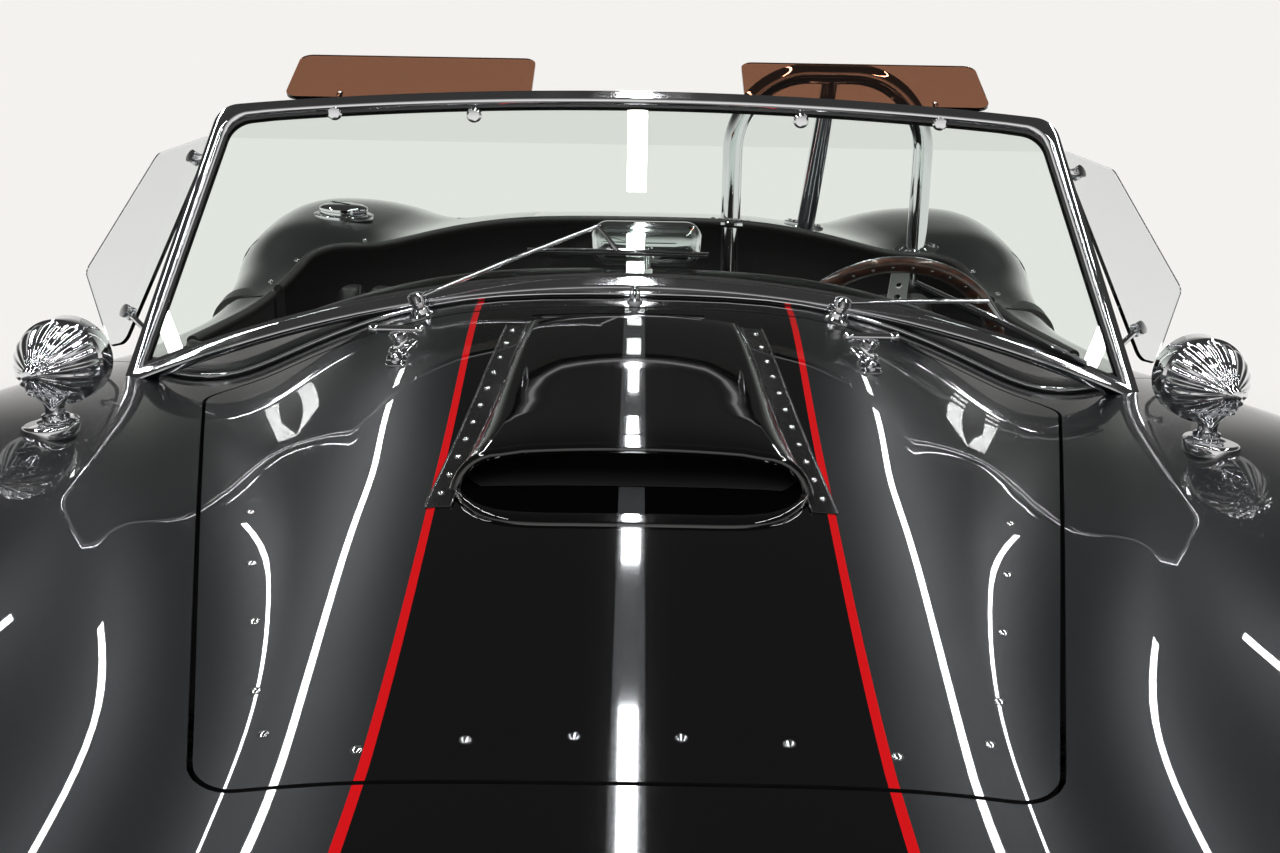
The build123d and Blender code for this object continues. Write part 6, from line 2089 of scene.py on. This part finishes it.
@dataclass
class Dashboard:
    """Trimmed panel under the cowl with round dials, switches, and the mirror over it."""

    form: BodyForm
    half: float = 590.0
    low_z: float = 655.0
    front_y: float = -304.0
    rear_y: float = -290.0
    dials: tuple[tuple[float, float, float, float], ...] = (
        # x, z, diameter, needle angle
        (345.0, 716.0, 96.0, 215.0), (462.0, 708.0, 96.0, 225.0), (170.0, 770.0, 60.0, 110.0),
        (90.0, 770.0, 60.0, 75.0), (10.0, 770.0, 60.0, 95.0), (-70.0, 770.0, 60.0, 120.0),
    )
    mirror: tuple[float, float, float] = (15.0, -272.0, 914.0)

    def panel(self) -> None:
        """Panel with a rolled lower edge."""
        top = []
        for k in range(25):
            x = self.half * (1 - 2 * k / 24)
            top.append((x, self.form.seat(x, self.front_y)[0].z / MM - self.form.skin - 1.5))
        outline = [(-self.half, self.low_z), (self.half, self.low_z)] + top
        axes = Axes(mm(0, self.rear_y, 0), OUT, UP)
        board = slab("dashboard_panel", axes, outline, 0, 14, 2.5)
        dress(board, TRIM, "root", "dashboard")

    def gauges(self) -> None:
        """Bezel, dial, ticks, needle and glass of every gauge."""
        rims, faces, glasses, white = [], [], [], []
        ticks = []
        for x, z, wide, angle in self.dials:
            r = wide / 2
            place = mm(x, self.rear_y, z)
            rims.append(lathe("bezel", place, BACK,
                              [(r - 6, 1), (r, 0.5), (r, 5), (r - 2, 8), (r - 5, 9), (r - 7, 6), (r - 6.4, 1)], 60,
                              40, closed=True))
            faces.append(lathe("dial", place, BACK, [(0, 0.3), (r - 6, 0.3), (r - 6, 1.2), (0, 1.2)], 60))
            glasses.append(lathe("glass", place, BACK, [(0, 5.6), (r - 6.3, 5.6), (r - 6.3, 7.0), (0, 7.0)], 60))
            count = 25 if wide > 80 else 11
            for k in range(count):
                turn = math.radians(-135 + 270 * k / (count - 1))
                out = Vector((math.sin(turn), 0, math.cos(turn)))
                long = k % (6 if wide > 80 else 5) == 0
                ticks.append(Mark(place + out * (r - (12 if long else 10)) * MM + BACK * 0.0013, BACK, out,
                                  Vector((1.5 if long else 0.9, 1.0 if long else 0.6, 1))))
            turn = math.radians(angle)
            out = Vector((math.sin(turn), 0, math.cos(turn)))
            axes = Axes(place + BACK * 0.003, out, BACK.cross(out).normalized())
            white.append(slab("needle", axes,
                              [(-r * 0.22, -1.4), (r * 0.66, -0.4), (r * 0.66, 0.4), (-r * 0.22, 1.4)], 0, 0.6))
            white.append(lathe("needle_hub", place, BACK, [(0, 1), (4, 1), (4, 3.8), (0, 4.4)], 20))
        dress(merged("gauge_bezels", rims), CHROME, "root", "gauges")
        dress(merged("gauge_faces", faces), DIAL, "root")
        dress(merged("gauge_needles", white), DIAL_WHITE, "root")
        dress(merged("gauge_glasses", glasses), WINDSCREEN, "root")
        Repeat("gauge_ticks", Shape.BLOCK, 5.0, 1.6, 0.3, DIAL_WHITE).place("root", ticks)

    def switches(self) -> None:
        """Row of toggles and a key barrel on the middle of the panel."""
        metal = []
        for k in range(6):
            place = mm(160 - 46 * k, self.rear_y - 0.5, 700)
            metal.append(lathe("switch_ring", place, BACK, [(0, 0), (8, 0), (8, 2), (5.5, 4), (0, 4)], 24))
            metal.append(lathe("switch_stick", place + BACK * 0.003, Vector((0, 1, -0.35)),
                               [(0, 0), (2, 0), (3, 12), (2.4, 15), (0, 16)], 14))
        place = mm(262, self.rear_y - 0.5, 702)
        metal.append(lathe("key_barrel", place, BACK, [(0, 0), (13, 0), (13, 4), (9, 7), (9, 9), (0, 9)], 28))
        dress(merged("dash_switches", metal), CHROME, "root")

    def cabin_mirror(self) -> None:
        """Oblong mirror: bright back, silvered face, stalk and round foot on the cowl."""
        x, y, z = self.mirror
        axes = Axes(mm(x, y, z), OUT, UP)
        outline = rounded_outline(box_outline((-75, 75), (-30, 30)), 22)
        rings = []
        for inset, depth in ((1.5, -17), (0, -15), (0, -4), (2.5, 6), (9, 13), (18, 17)):
            small = [(u * (1 - inset / 75), v * (1 - inset / 30)) for u, v in outline]
            rings.append([axes.at(u, v, depth) for u, v in small])
        shell = skinned("cabin_mirror_shell", rings, 40.0)
        foot, normal = self.form.seat(x, y - 40)
        path = [foot, mm(x, y - 26, z - 24), mm(x, y - 12, z - 6)]
        stalk = PathTube("cabin_mirror_stalk", 12, CHROME, 16).build(path)
        base = lathe("cabin_mirror_base", foot, normal,
                     [(0, -1), (20, -1), (20, 2), (16, 5), (9, 8), (8, 14), (0, 14)], 32)
        dress(merged("cabin_mirror_case", [shell, stalk, base], bare=True), CHROME, "root", "cabin_mirror")
        face = [(u * 0.96, v * 0.92) for u, v in outline]
        dress(slab("cabin_mirror_glass", axes, face, -18, -16.6), MIRROR_GLASS, "root")

    def build(self) -> None:
        """Make panel, dials, switches and mirror."""
        self.panel()
        self.gauges()
        self.switches()
        self.cabin_mirror()


@dataclass
class CockpitEdge:
    """Soft bead round the cockpit opening, in lengths so each door carries its own, and the studs outside it."""

    form: BodyForm
    outline: tuple[tuple[float, float], ...] = ((-640, -286), (640, -286), (640, 580), (-640, 580))
    corner: float = 110.0
    bead_d: float = 17.0
    door_y: tuple[float, float] = (-376.0, 226.0)
    body_y: float = 250.0
    body_x: float = 628.0
    door_x: float = 637.0
    studs: tuple[tuple[float, float], ...] = (
        (-560, 628), (-430, 622), (-300, 618), (-170, 616), (0, 616), (120, 616),
        (660, 470), (-660, 470), (672, 330), (-672, 330),
    )

    def owner(self, x: float, y: float) -> str:
        """Body that carries the edge at a plan point, or nothing where a shut line crosses."""
        if abs(x) > self.door_x and self.door_y[0] < y < self.door_y[1]:
            return "door_driver" if x > 0 else "door_passenger"
        if abs(x) < self.body_x or y > self.body_y:
            return "root"
        return ""

    def build(self) -> None:
        """Make the bead and the studs."""
        points = rounded_outline(list(self.outline), self.corner, 12)
        dense = []
        for i, (x, y) in enumerate(points):
            far_x, far_y = points[(i + 1) % len(points)]
            steps = max(1, int(math.hypot(far_x - x, far_y - y) / 22))
            dense += [(x + (far_x - x) * k / steps, y + (far_y - y) * k / steps) for k in range(steps)]
        groups: dict[str, list[list[tuple[float, float]]]] = {"root": [], "door_driver": [], "door_passenger": []}
        last = ""
        start = next(i for i, spot in enumerate(dense) if not self.owner(*spot))
        for x, y in dense[start:] + dense[:start]:
            owner = self.owner(x, y)
            if owner and owner != last:
                groups[owner].append([])
            if owner:
                groups[owner][-1].append((x, y))
            last = owner
        for owner, runs in groups.items():
            beads = []
            for run in runs:
                path = [self.form.seat(x * 1.004, y)[0] + UP * 0.001 for x, y in run]
                beads.append(PathTube("bead", self.bead_d, LEATHER, 16).build(path))
            dress(merged("cockpit_bead_" + owner, beads), LEATHER, owner)
        marks = [Mark(*self.form.seat(x, y)) for x, y in self.studs]
        Repeat("tonneau_studs", Shape.DOME, 11.0, 11.0, 8.0, RIVET_STEEL).place("root", marks)


@dataclass
class RollHoop:
    """Bright bent tube behind the driver, with a brace and bolted feet."""

    form: BodyForm
    x: float = 385.0
    half: float = 192.0
    y: float = 612.0
    floor_z: float = 234.0
    top_z: float = 1158.0
    bend: float = 150.0
    tube: float = 40.0
    brace: tuple[float, float] = (930.0, 800.0)

    def build(self) -> None:
        """Make hoop, brace, feet and bolts."""
        corners = [mm(self.x - self.half, self.y, self.floor_z + 1), mm(self.x - self.half, self.y, self.top_z),
                   mm(self.x + self.half, self.y, self.top_z), mm(self.x + self.half, self.y, self.floor_z + 1)]
        pieces = [PathTube("hoop", self.tube, CHROME, 40).build(rounded_path(corners, self.bend, 18))]
        top = mm(self.x, self.y, self.top_z)
        end = mm(self.x, *self.brace)
        foot = self.form.seat(self.x, self.brace[0])
        pieces.append(PathTube("brace", self.tube, CHROME, 40).build([top, top.lerp(end, 0.5), end]))
        marks = []
        for place, lean in [foot] + [self.form.seat(self.x + s * self.half, self.y) for s in (-1, 1)]:
            pieces.append(lathe("hoop_foot", place, lean,
                                [(21, -2), (46, -2), (46, 3), (44, 5), (30, 5.5), (25, 9), (21, 9)], 48, 30,
                                closed=True))
            base = Axes.about(place, lean)
            marks += bolt_ring(base, 37, 6.5, 4, lean, 0.5)
        dress(merged("roll_hoop_tube", pieces, bare=True), CHROME, "root", "roll_hoop")
        Repeat("roll_hoop_bolts", Shape.HEXAGON, 9.0, 9.0, 4.5, RIVET_STEEL).place("root", marks)


@dataclass
class FuelFiller:
    """Quick-release filler: stepped neck, domed lid with a lever and hinge, on a bolted ring."""

    form: BodyForm
    place: tuple[float, float] = (-640.0, 800.0)

    def build(self) -> None:
        """Make the filler and its bolts."""
        foot, normal = self.form.seat(*self.place)
        up = (normal + UP).normalized()
        pieces = [lathe("filler", foot, up,
                        [(0, -4), (64, -4), (64, 2.5), (62, 4), (53, 4.5), (50, 7), (50, 10), (52, 12), (52, 17),
                         (50, 19), (44, 22), (30, 24.5), (14, 25.6), (0, 26)], 72, 30)]
        axes = Axes.about(foot, up)
        path = [axes.at(0, -20, 24), axes.at(0, 40, 23), axes.at(0, 54, 16)]
        pieces.append(PathTube("filler_lever", 8, CHROME, 14).build(path))
        pieces.append(PathTube("filler_hinge", 10, CHROME, 16).build([axes.at(-18, -54, 14), axes.at(18, -54, 14)]))
        dress(merged("fuel_filler_cap", pieces, bare=True), CHROME, "root", "fuel_filler")
        marks = bolt_ring(axes, 58.5, 4, 6, up)
        Repeat("fuel_filler_bolts", Shape.DOME, 6.0, 6.0, 3.4, RIVET_STEEL).place("root", marks)


@dataclass
class Controls:
    """Gear lever with its gaiter and round knob, and the handbrake."""

    tunnel_z: float = 430.0
    brake_x: float = -100.0

    def build(self) -> None:
        """Make levers, gaiter and knob."""
        foot = mm(0, -40, self.tunnel_z)
        top = mm(0, -20, self.tunnel_z + 130)
        rake = (top - foot).normalized()
        metal = [PathTube("gear_stick", 13, CHROME, 20).build([foot + UP * 0.01, foot.lerp(top, 0.5), top]),
                 lathe("gaiter_ring", foot, UP, [(0, 0.5), (45, 0.5), (45, 3), (43, 5), (34, 6), (0, 6)], 48),
                 PathTube("handbrake", 17, CHROME, 20).build([mm(self.brake_x, 60, 443), mm(self.brake_x, -20, 481)]),
                 lathe("handbrake_button", mm(self.brake_x, -88, 513), Vector((0, -0.9, 0.43)),
                       [(0, 0), (4, 0), (4, 3), (0, 4)], 16)]
        dress(merged("lever_metal", metal, bare=True), CHROME, "root", "cockpit_levers")
        folds = [(41, 4), (40, 12)]
        for k in range(5):
            folds += [(36 - 5 * k, 16 + 9 * k), (39 - 6 * k, 20 + 9 * k)]
        soft = [lathe("gaiter", foot, rake, [(0, 3)] + folds + [(8, 66), (0, 67)], 40, 60),
                PathTube("handbrake_grip", 22, LEATHER,
                         20).build([mm(self.brake_x, -14, 478), mm(self.brake_x, -88, 513)]),
                slab("handbrake_boot", Axes(mm(self.brake_x, 70, self.tunnel_z), OUT, BACK),
                     rounded_outline(box_outline((-18, 18), (-40, 40)), 8), 0.5, 21.5, 4)]
        dress(merged("lever_leather", soft, bare=True), LEATHER, "root")
        ball = [(24 * math.sin(math.pi * k / 16), 24 - 24 * math.cos(math.pi * k / 16)) for k in range(17)]
        dress(lathe("gear_knob", top - rake * 0.024, rake, ball, 40, 60), WOOD, "root")


@dataclass
class PaddedSeat:
    """Low bucket seat: sewn cushion and back between rolled bolsters, swollen by a short cloth simulation."""

    side: str
    sign: int
    x: float = 385.0
    wide: float = 420.0
    base_z: float = 234.3
    swell: float = 9.0
    voxel: float = 9.0
    channels: int = 5
    groove: float = 4.0
    pressure: float = 4.0
    frames: int = 20
    bolster_w: float = 62.0
    bolster_half: float = 21.0
    bolster_in: float = 33.0

    def pad(self, name: str, ring: list[tuple[float, float]], half: float) -> Object:
        """One pad over a side outline, swollen by cloth with inner pressure.

        Args:
            name: name of the pad.
            ring: side outline as y and height over the floor.
            half: half of its width.

        Returns:
            The pad.
        """
        axes = Axes(mm(self.sign * self.x, 0, self.base_z), BACK, UP)
        made = slab(name, axes, rounded_outline(ring, 20, 5), -half, half, 12)
        even = made.modifiers.new("even", "REMESH")
        even.mode = "VOXEL"
        even.voxel_size = self.voxel * MM
        bake(made)
        rest = [p.co.copy() for p in made.data.vertices]
        cloth = made.modifiers.new("swell", "CLOTH")
        cloth.settings.use_pressure = True
        cloth.settings.uniform_pressure_force = self.pressure
        cloth.settings.effector_weights.gravity = 0.0
        scene = bpy.context.scene
        for number in range(1, self.frames + 1):
            scene.frame_set(number)
        bake(made)
        scene.frame_set(1)
        for point, start in zip(made.data.vertices, rest):
            away = point.co - start
            if away.length > self.swell * MM:
                point.co = start + away.normalized() * self.swell * MM
        return made

    def sew(self, piece: Object, half: float) -> None:
        """Press the sewn channels into the faces that one sits on."""
        lines = [half * (2 * (k + 1) / self.channels - 1) for k in range(self.channels - 1)]
        spots = [(p.co.copy(), p.normal.copy()) for p in piece.data.vertices]
        for point, (place, normal) in zip(piece.data.vertices, spots):
            if normal.z < 0.3 and normal.y > -0.3:
                continue
            across = place.x / MM - self.sign * self.x
            nearest = min(abs(across - line) for line in lines)
            point.co = place - normal * (self.groove * MM * math.exp(-(nearest / 5.0) ** 2))

    def build(self) -> None:
        """Make cushion, back, side bolsters and piping."""
        half = self.wide / 2
        seat_half = half - self.bolster_w
        middle, edge = [], []
        for name, ring in (("cushion", [(74, 12), (400, 12), (300, 152), (76, 152)]),
                           ("back", [(306, 168), (400, 30), (547, 504), (474, 506)])):
            middle.append(self.pad(name, ring, seat_half))
        for sign in (-1, 1):
            for name, ring in (("cushion_bolster", [(70, 10), (405, 10), (300, 156), (72, 156)]),
                               ("back_bolster", [(294, 162), (402, 20), (548, 506), (466, 508)])):
                piece = self.pad(name, ring, self.bolster_half)
                for point in piece.data.vertices:
                    point.co.x += sign * (half - self.bolster_in) * MM
                edge.append(piece)
        for piece in middle + edge:
            fine = piece.modifiers.new("fine", "SUBSURF")
            fine.levels = fine.render_levels = 1
            bake(piece)
        for piece in middle:
            self.sew(piece, seat_half)
        body = merged("seat_pads_" + self.side, middle + edge)
        for point in body.data.vertices:
            point.co.z = max(point.co.z, (self.base_z + 1) * MM)
        soften(body, 180.0)
        dress(body, LEATHER, "root", "seat_" + self.side)
        piping = []
        for sign in (-1, 1):
            x = self.sign * self.x + sign * (half - 58)
            path = [mm(x, y, self.base_z + z) for y, z in ((67, 80), (67, 160), (288, 163), (370, 330), (464, 508))]
            piping.append(PathTube("piping", 6.5, TRIM, 10).build(rounded_path(path, 14, 6)))
        dress(merged("seat_piping_" + self.side, piping), TRIM, "root")


@dataclass
class SidePipes:
    """Polished pipe along each sill, fed by four headers through the fender, with clamps and an open tip."""

    x: float = 742.0
    z: float = 222.0
    pipe_d: float = 94.0
    ends: tuple[float, float] = (-760.0, 560.0)
    header_d: float = 45.0
    headers: tuple[float, ...] = (-760.0, -705.0, -650.0, -595.0)
    clamps: tuple[float, ...] = (-470.0, -60.0, 330.0)

    def build(self) -> None:
        """Make both sides."""
        start, end = self.ends
        corner, tip = mm(self.x, end - 90, self.z), mm(self.x + 60, end, self.z)
        away = (tip - corner).normalized()
        path = rounded_path([mm(self.x, start, self.z), mm(self.x, start / 2, self.z), corner, tip - away * 0.05],
                            110, 10)
        r = self.pipe_d / 2
        pieces = [PathTube("side_pipe", self.pipe_d, CHROME, 48).build(path),
                  lathe("pipe_tip", tip, away, [(r - 4, -50), (r, -50), (r, -1.5), (r - 2, 0), (r - 4, -1.5)], 48, 40,
                        closed=True),
                  lathe("pipe_nose", mm(self.x, start, self.z), AHEAD,
                        [(0, -2), (r, -2), (r - 4, 6), (r - 16, 12), (0, 14)], 48)]
        for y in self.clamps:
            pieces.append(lathe("pipe_clamp", mm(self.x, y, self.z), BACK,
                                [(r, 0), (r + 1.6, 0), (r + 1.6, 18), (r, 18)], 48, closed=True))
        for y in self.headers:
            route = [mm(420, y - 40, 372), mm(612, y - 40, 372), mm(self.x - 20, y, 372),
                     mm(self.x + 10, y + 70, 236)]
            pieces.append(PathTube("header", self.header_d, STEEL_TUBE, 24).build(rounded_path(route, 52, 8)))
        for piece in pieces:
            piece.data.materials.clear()
        dress(both_sides("side_exhaust_pipes", merged("side_exhaust_pipes", pieces)), CHROME, "root", "side_exhausts")
        # Black disc 46 mm inside each pipe tip: soot, and painted shade of the open pipe's depth.
        soot_and_shade_disc = lathe("pipe_soot_and_shade", tip, away, [(0, -49), (r - 4.2, -49), (r - 4.2, -46), (0, -46)], 40)
        dress(both_sides("side_exhaust_soot_and_shade", soot_and_shade_disc), SHADE_AND_SOOT_BLACK, "root")


@dataclass
class FenderVents:
    """Slanting blades in a thin frame behind each front wheel, shaped to the skin."""

    form: BodyForm
    frame_w: float = 6.0
    blades: int = 5

    def on_skin(self, y: float, z: float, out: float) -> Vector:
        """Place at a distance outside the skin."""
        place, normal = self.form.side(y, z)
        return place + normal * out * MM

    def build(self) -> None:
        """Make both vents."""
        (low, high), (bottom, top) = VENT_Y, VENT_Z
        rings = []
        for inset, out in ((0.6, -5), (0.6, 0.8), (2, 1.6), (self.frame_w - 1, 1.6), (self.frame_w, 0.6),
                           (self.frame_w, -5)):
            outline = box_outline((low + inset, high - inset), (bottom + inset, top - inset))
            outline = rounded_outline(outline, VENT_CORNER - inset, 6)
            rings.append([self.on_skin(y, z, out) for y, z in outline])
        pieces = [skinned("vent_frame", rings + [rings[0]], 40.0, caps=False)]
        for k in range(self.blades):
            y = low + (high - low) * (k + 1) / (self.blades + 1) - 4
            rows = []
            for i in range(9):
                z = bottom + 4 + (top - bottom - 8) * i / 8
                front, back = self.on_skin(y, z, 0.4), self.on_skin(y + 24, z, -20)
                rows.append([front, front + mm(0, 2.6, 0), back + mm(0, 2.6, 0), back])
            pieces.append(skinned("vent_blade", rows, 40.0))
        dress(both_sides("side_vent_blades", merged("side_vent_blades", pieces)), CHASSIS_PAINT, "root", "side_vents")


@dataclass
class BootHandle:
    """Turned stem with a ball-ended bar on the boot lid."""

    form: BodyForm
    y: float = 1680.0

    def build(self) -> None:
        """Make the handle."""
        foot, _ = self.form.seat(0, self.y)
        bar = foot + UP * 0.018
        pieces = [lathe("boot_stem", foot - UP * 0.004, UP,
                        [(0, 0), (16, 0), (16, 5), (12, 7), (8, 11), (8, 18), (12, 22), (0, 25)], 36),
                  PathTube("boot_bar", 11, CHROME, 18).build([bar - OUT * 0.038, bar + OUT * 0.038])]
        for end in (-1, 1):
            pieces.append(lathe("boot_end", bar + OUT * 0.038 * end, OUT * end,
                                [(0, -5), (6.5, -4), (7.4, 0), (6, 4), (3, 6.4), (0, 7)], 24))
        dress(merged("boot_handle", pieces, bare=True), CHROME, "trunk", "trunk_handle")


@dataclass
class Springs:
    """Coil springs over the front spring units, and the ribbed pads of the pedals."""

    low: tuple[float, float, float] = (532.0, -1250.0, 262.0)
    high: tuple[float, float, float] = (400.0, -1250.0, 490.0)
    coil_r: float = 35.0
    wire: float = 10.0
    turns: float = 7.5
    pads: tuple[float, ...] = (290.0, 350.0, 470.0)

    def build(self) -> None:
        """Wind the springs and set the pads."""
        start, end = mm(*self.low), mm(*self.high)
        axes = Axes.about(start, end - start)
        length = (end - start).length / MM
        count = int(self.turns * 18)
        path = []
        for k in range(count + 1):
            angle = 2 * math.pi * self.turns * k / count
            path.append(axes.at(math.cos(angle) * self.coil_r, math.sin(angle) * self.coil_r, length * k / count))
        coil = PathTube("front_springs", self.wire, CHASSIS_PAINT, 10).build(path)
        coil.data.materials.clear()
        dress(both_sides("front_springs", coil), SPRING_ENAMEL, "root")
        rubber = []
        for x in self.pads:
            axes = Axes(mm(x, -352, 385), Vector((-1, 0, 0)), UP)
            rubber.append(slab("pedal_pad", axes, rounded_outline(box_outline((-29, 29), (-36, 36)), 6), -1, 5, 1.2))
            for rib in range(5):
                axes_rib = Axes(mm(x, -347, 361 + 12 * rib), Vector((-1, 0, 0)), UP)
                rubber.append(slab("pedal_rib", axes_rib, box_outline((-24, 24), (-2.5, 2.5)), -0.5, 2, 0.6))
        dress(merged("pedal_rubbers", rubber), SEAL_RUBBER, "root")


@dataclass
class BootTrim:
    """Carpeted side panels of the boot, from its floor up to the skin, which hide the wheel houses."""

    form: BodyForm
    x: float = 557.0
    floor_z: float = 470.5
    y: tuple[float, float] = (690.0, 1800.0)
    thick: float = 3.0

    def build(self) -> None:
        """Make both panels."""
        rows = []
        for k in range(38):
            y = self.y[0] + (self.y[1] - self.y[0]) * k / 37
            hit, _ = self.form.seat(self.x, y)
            top = hit.z / MM - 14
            if top < self.floor_z + 40:
                break
            rows.append([mm(self.x - self.thick, y, self.floor_z), mm(self.x, y, self.floor_z),
                         mm(self.x, y, top), mm(self.x - self.thick, y, top)])
        panel = skinned("boot_side_trim", rows, 40.0)
        dress(both_sides("boot_side_trim", panel), CARPET, "root")


@dataclass
class Studio:
    """Pale floor, soft lamps with long strips overhead, and the camera at the photograph's viewing angle."""

    focal_px: float = 1268.0
    image: tuple[int, int] = (1280, 853)
    eye: tuple[float, float, float] = (0.0, -2008.0, 1107.0)
    pitch: float = 14.5
    roll: float = 1.0
    yaw: float = 0.34
    floor_colour: str = "E9E6E2"
    back_colour: str = "F4F2EF"
    strip_w: float = 70.0
    strip_l: float = 1600.0
    strip_power: float = 14.0
    strips_x: tuple[float, ...] = (-1900, 0, 1900)
    strips_y: tuple[float, ...] = (-3300, -1500, 300, 2100)
    strips_z: float = 3300.0
    floor_half: float = 30000.0

    def camera(self) -> None:
        """Place the camera."""
        lens = bpy.data.cameras.new("camera")
        lens.sensor_width = 36.0
        lens.lens = self.focal_px / self.image[0] * lens.sensor_width
        lens.clip_start = 0.01
        made = bpy.data.objects.new("camera", lens)
        bpy.context.scene.collection.objects.link(made)
        made.location = mm(*self.eye)
        yaw, pitch = math.radians(self.yaw), math.radians(self.pitch)
        ahead = Vector((math.sin(yaw) * math.cos(pitch), math.cos(yaw) * math.cos(pitch), -math.sin(pitch)))
        made.rotation_mode = "QUATERNION"
        made.rotation_quaternion = ahead.to_track_quat("-Z", "Y") @ Quaternion((0, 0, 1), math.radians(self.roll))
        bpy.context.scene.camera = made

    def world(self) -> None:
        """Room light: pale near the horizon, dark overhead, and the wall's colour behind the car."""
        world = bpy.data.worlds.new("room")
        bpy.context.scene.world = world
        world.use_nodes = True
        tree = world.node_tree
        tree.nodes.clear()
        place = add_node(tree, "ShaderNodeTexCoord").outputs["Generated"]
        height = add_node(tree, "ShaderNodeSeparateXYZ", {0: place}).outputs["Z"]
        ray = add_node(tree, "ShaderNodeLightPath")
        levels = {"Value": height, "From Min": 0.02, "From Max": 0.42, "To Min": 0.9, "To Max": 0.05}
        seen = add_node(tree, "ShaderNodeMapRange", levels, interpolation_type="SMOOTHSTEP")
        soft = add_node(tree, "ShaderNodeMix", {0: ray.outputs["Is Diffuse Ray"], 2: seen.outputs[0], 3: 0.55},
                        data_type="FLOAT")
        lit = add_node(tree, "ShaderNodeBackground", {"Color": linear(self.back_colour), "Strength": soft.outputs[0]})
        plain = add_node(tree, "ShaderNodeBackground", {"Color": linear(self.back_colour), "Strength": 1.0})
        mixed = add_node(tree, "ShaderNodeMixShader",
                         {0: ray.outputs["Is Camera Ray"], 1: lit.outputs[0], 2: plain.outputs[0]})
        add_node(tree, "ShaderNodeOutputWorld", {0: mixed.outputs[0]})

    def strip(self, name: str, x: float, y: float, z: float) -> None:
        """Long ceiling lamp along the car."""
        lamp = bpy.data.lights.new(name, "AREA")
        lamp.shape = "RECTANGLE"
        lamp.size = self.strip_w * MM
        lamp.size_y = self.strip_l / 1000
        lamp.energy = self.strip_power
        made = bpy.data.objects.new(name, lamp)
        bpy.context.scene.collection.objects.link(made)
        made.location = mm(x, y, z)

    def floor(self) -> None:
        """Plain pale floor that keeps the car's shadow near it and runs into the wall's colour further off."""
        far = self.floor_half
        corners = [mm(x, y, 0) for x, y in box_outline((-far, far), (-far, far))]
        made = make_object("floor", corners, [(0, 1, 2, 3)])
        paint = bpy.data.materials.new("floor_screed")
        paint.use_nodes = True
        tree = paint.node_tree
        shader = tree.nodes["Principled BSDF"]
        set_inputs(shader, {"Base Color": linear(self.floor_colour), "Roughness": 0.55})
        place = add_node(tree, "ShaderNodeTexCoord").outputs["Object"]
        away = add_node(tree, "ShaderNodeVectorMath", {0: place}, operation="LENGTH").outputs["Value"]
        distant = add_node(tree, "ShaderNodeMapRange",
                           {"Value": away, "From Min": 1.4, "From Max": 4.2, "To Min": 0.35, "To Max": 1.0},
                       interpolation_type="SMOOTHSTEP").outputs[0]
        ray = add_node(tree, "ShaderNodeLightPath")
        direct = add_node(tree, "ShaderNodeMath", {0: ray.outputs["Is Camera Ray"], 1: ray.outputs["Is Glossy Ray"]},
                          operation="MAXIMUM")
        direct = add_node(tree, "ShaderNodeMath", {0: direct.outputs[0], 1: ray.outputs["Is Transmission Ray"]},
                          operation="MAXIMUM")
        share = add_node(tree, "ShaderNodeMath", {0: direct.outputs[0], 1: distant}, operation="MULTIPLY")
        glow = add_node(tree, "ShaderNodeEmission", {"Color": linear(self.back_colour), "Strength": 1.0})
        mixed = add_node(tree, "ShaderNodeMixShader", {0: share.outputs[0], 1: shader.outputs[0], 2: glow.outputs[0]})
        tree.links.new(mixed.outputs[0], tree.nodes["Material Output"].inputs["Surface"])
        made.data.materials.append(paint)

    def build(self) -> None:
        """Set up the room."""
        self.camera()
        self.world()
        self.floor()
        for i, x in enumerate(self.strips_x):
            for k, y in enumerate(self.strips_y):
                self.strip(f"strip_{i}_{k}", x, y, self.strips_z)
        bpy.context.scene.view_settings.view_transform = "Standard"


AXLES = (
    # y, track, tyre radius and width
    ("front", (-1250.0, 1420.0, 340.0, 226.0)),
    ("rear", (1036.0, 1440.0, 352.0, 276.0)),
)


def main() -> None:
    """Build every sub-assembly in order and report it."""
    logging.basicConfig(level=logging.INFO, format="%(message)s")
    form = BodyForm()
    LOG.info("form ready")
    wheels = [Wheel(f"{end}_{name}", side, *sizes) for name, side in SIDES for end, sizes in AXLES]
    seats = [PaddedSeat(name, side) for name, side in SIDES]
    for part in (BonnetFittings(form), Windscreen(form), CarriedSolids(), FenderMirrors(form), *wheels,
                 LampsAndNose(),
                 SteeringWheel(), Dashboard(form), CockpitEdge(form), RollHoop(form), FuelFiller(form), Controls(),
                 *seats,
                 SidePipes(), FenderVents(form), BootHandle(form), BootTrim(form), Springs(), Bodywork(form),
                 Studio()):
        part.build()
        LOG.info("built %s", type(part).__name__)


if __name__ == "__main__":
    main()
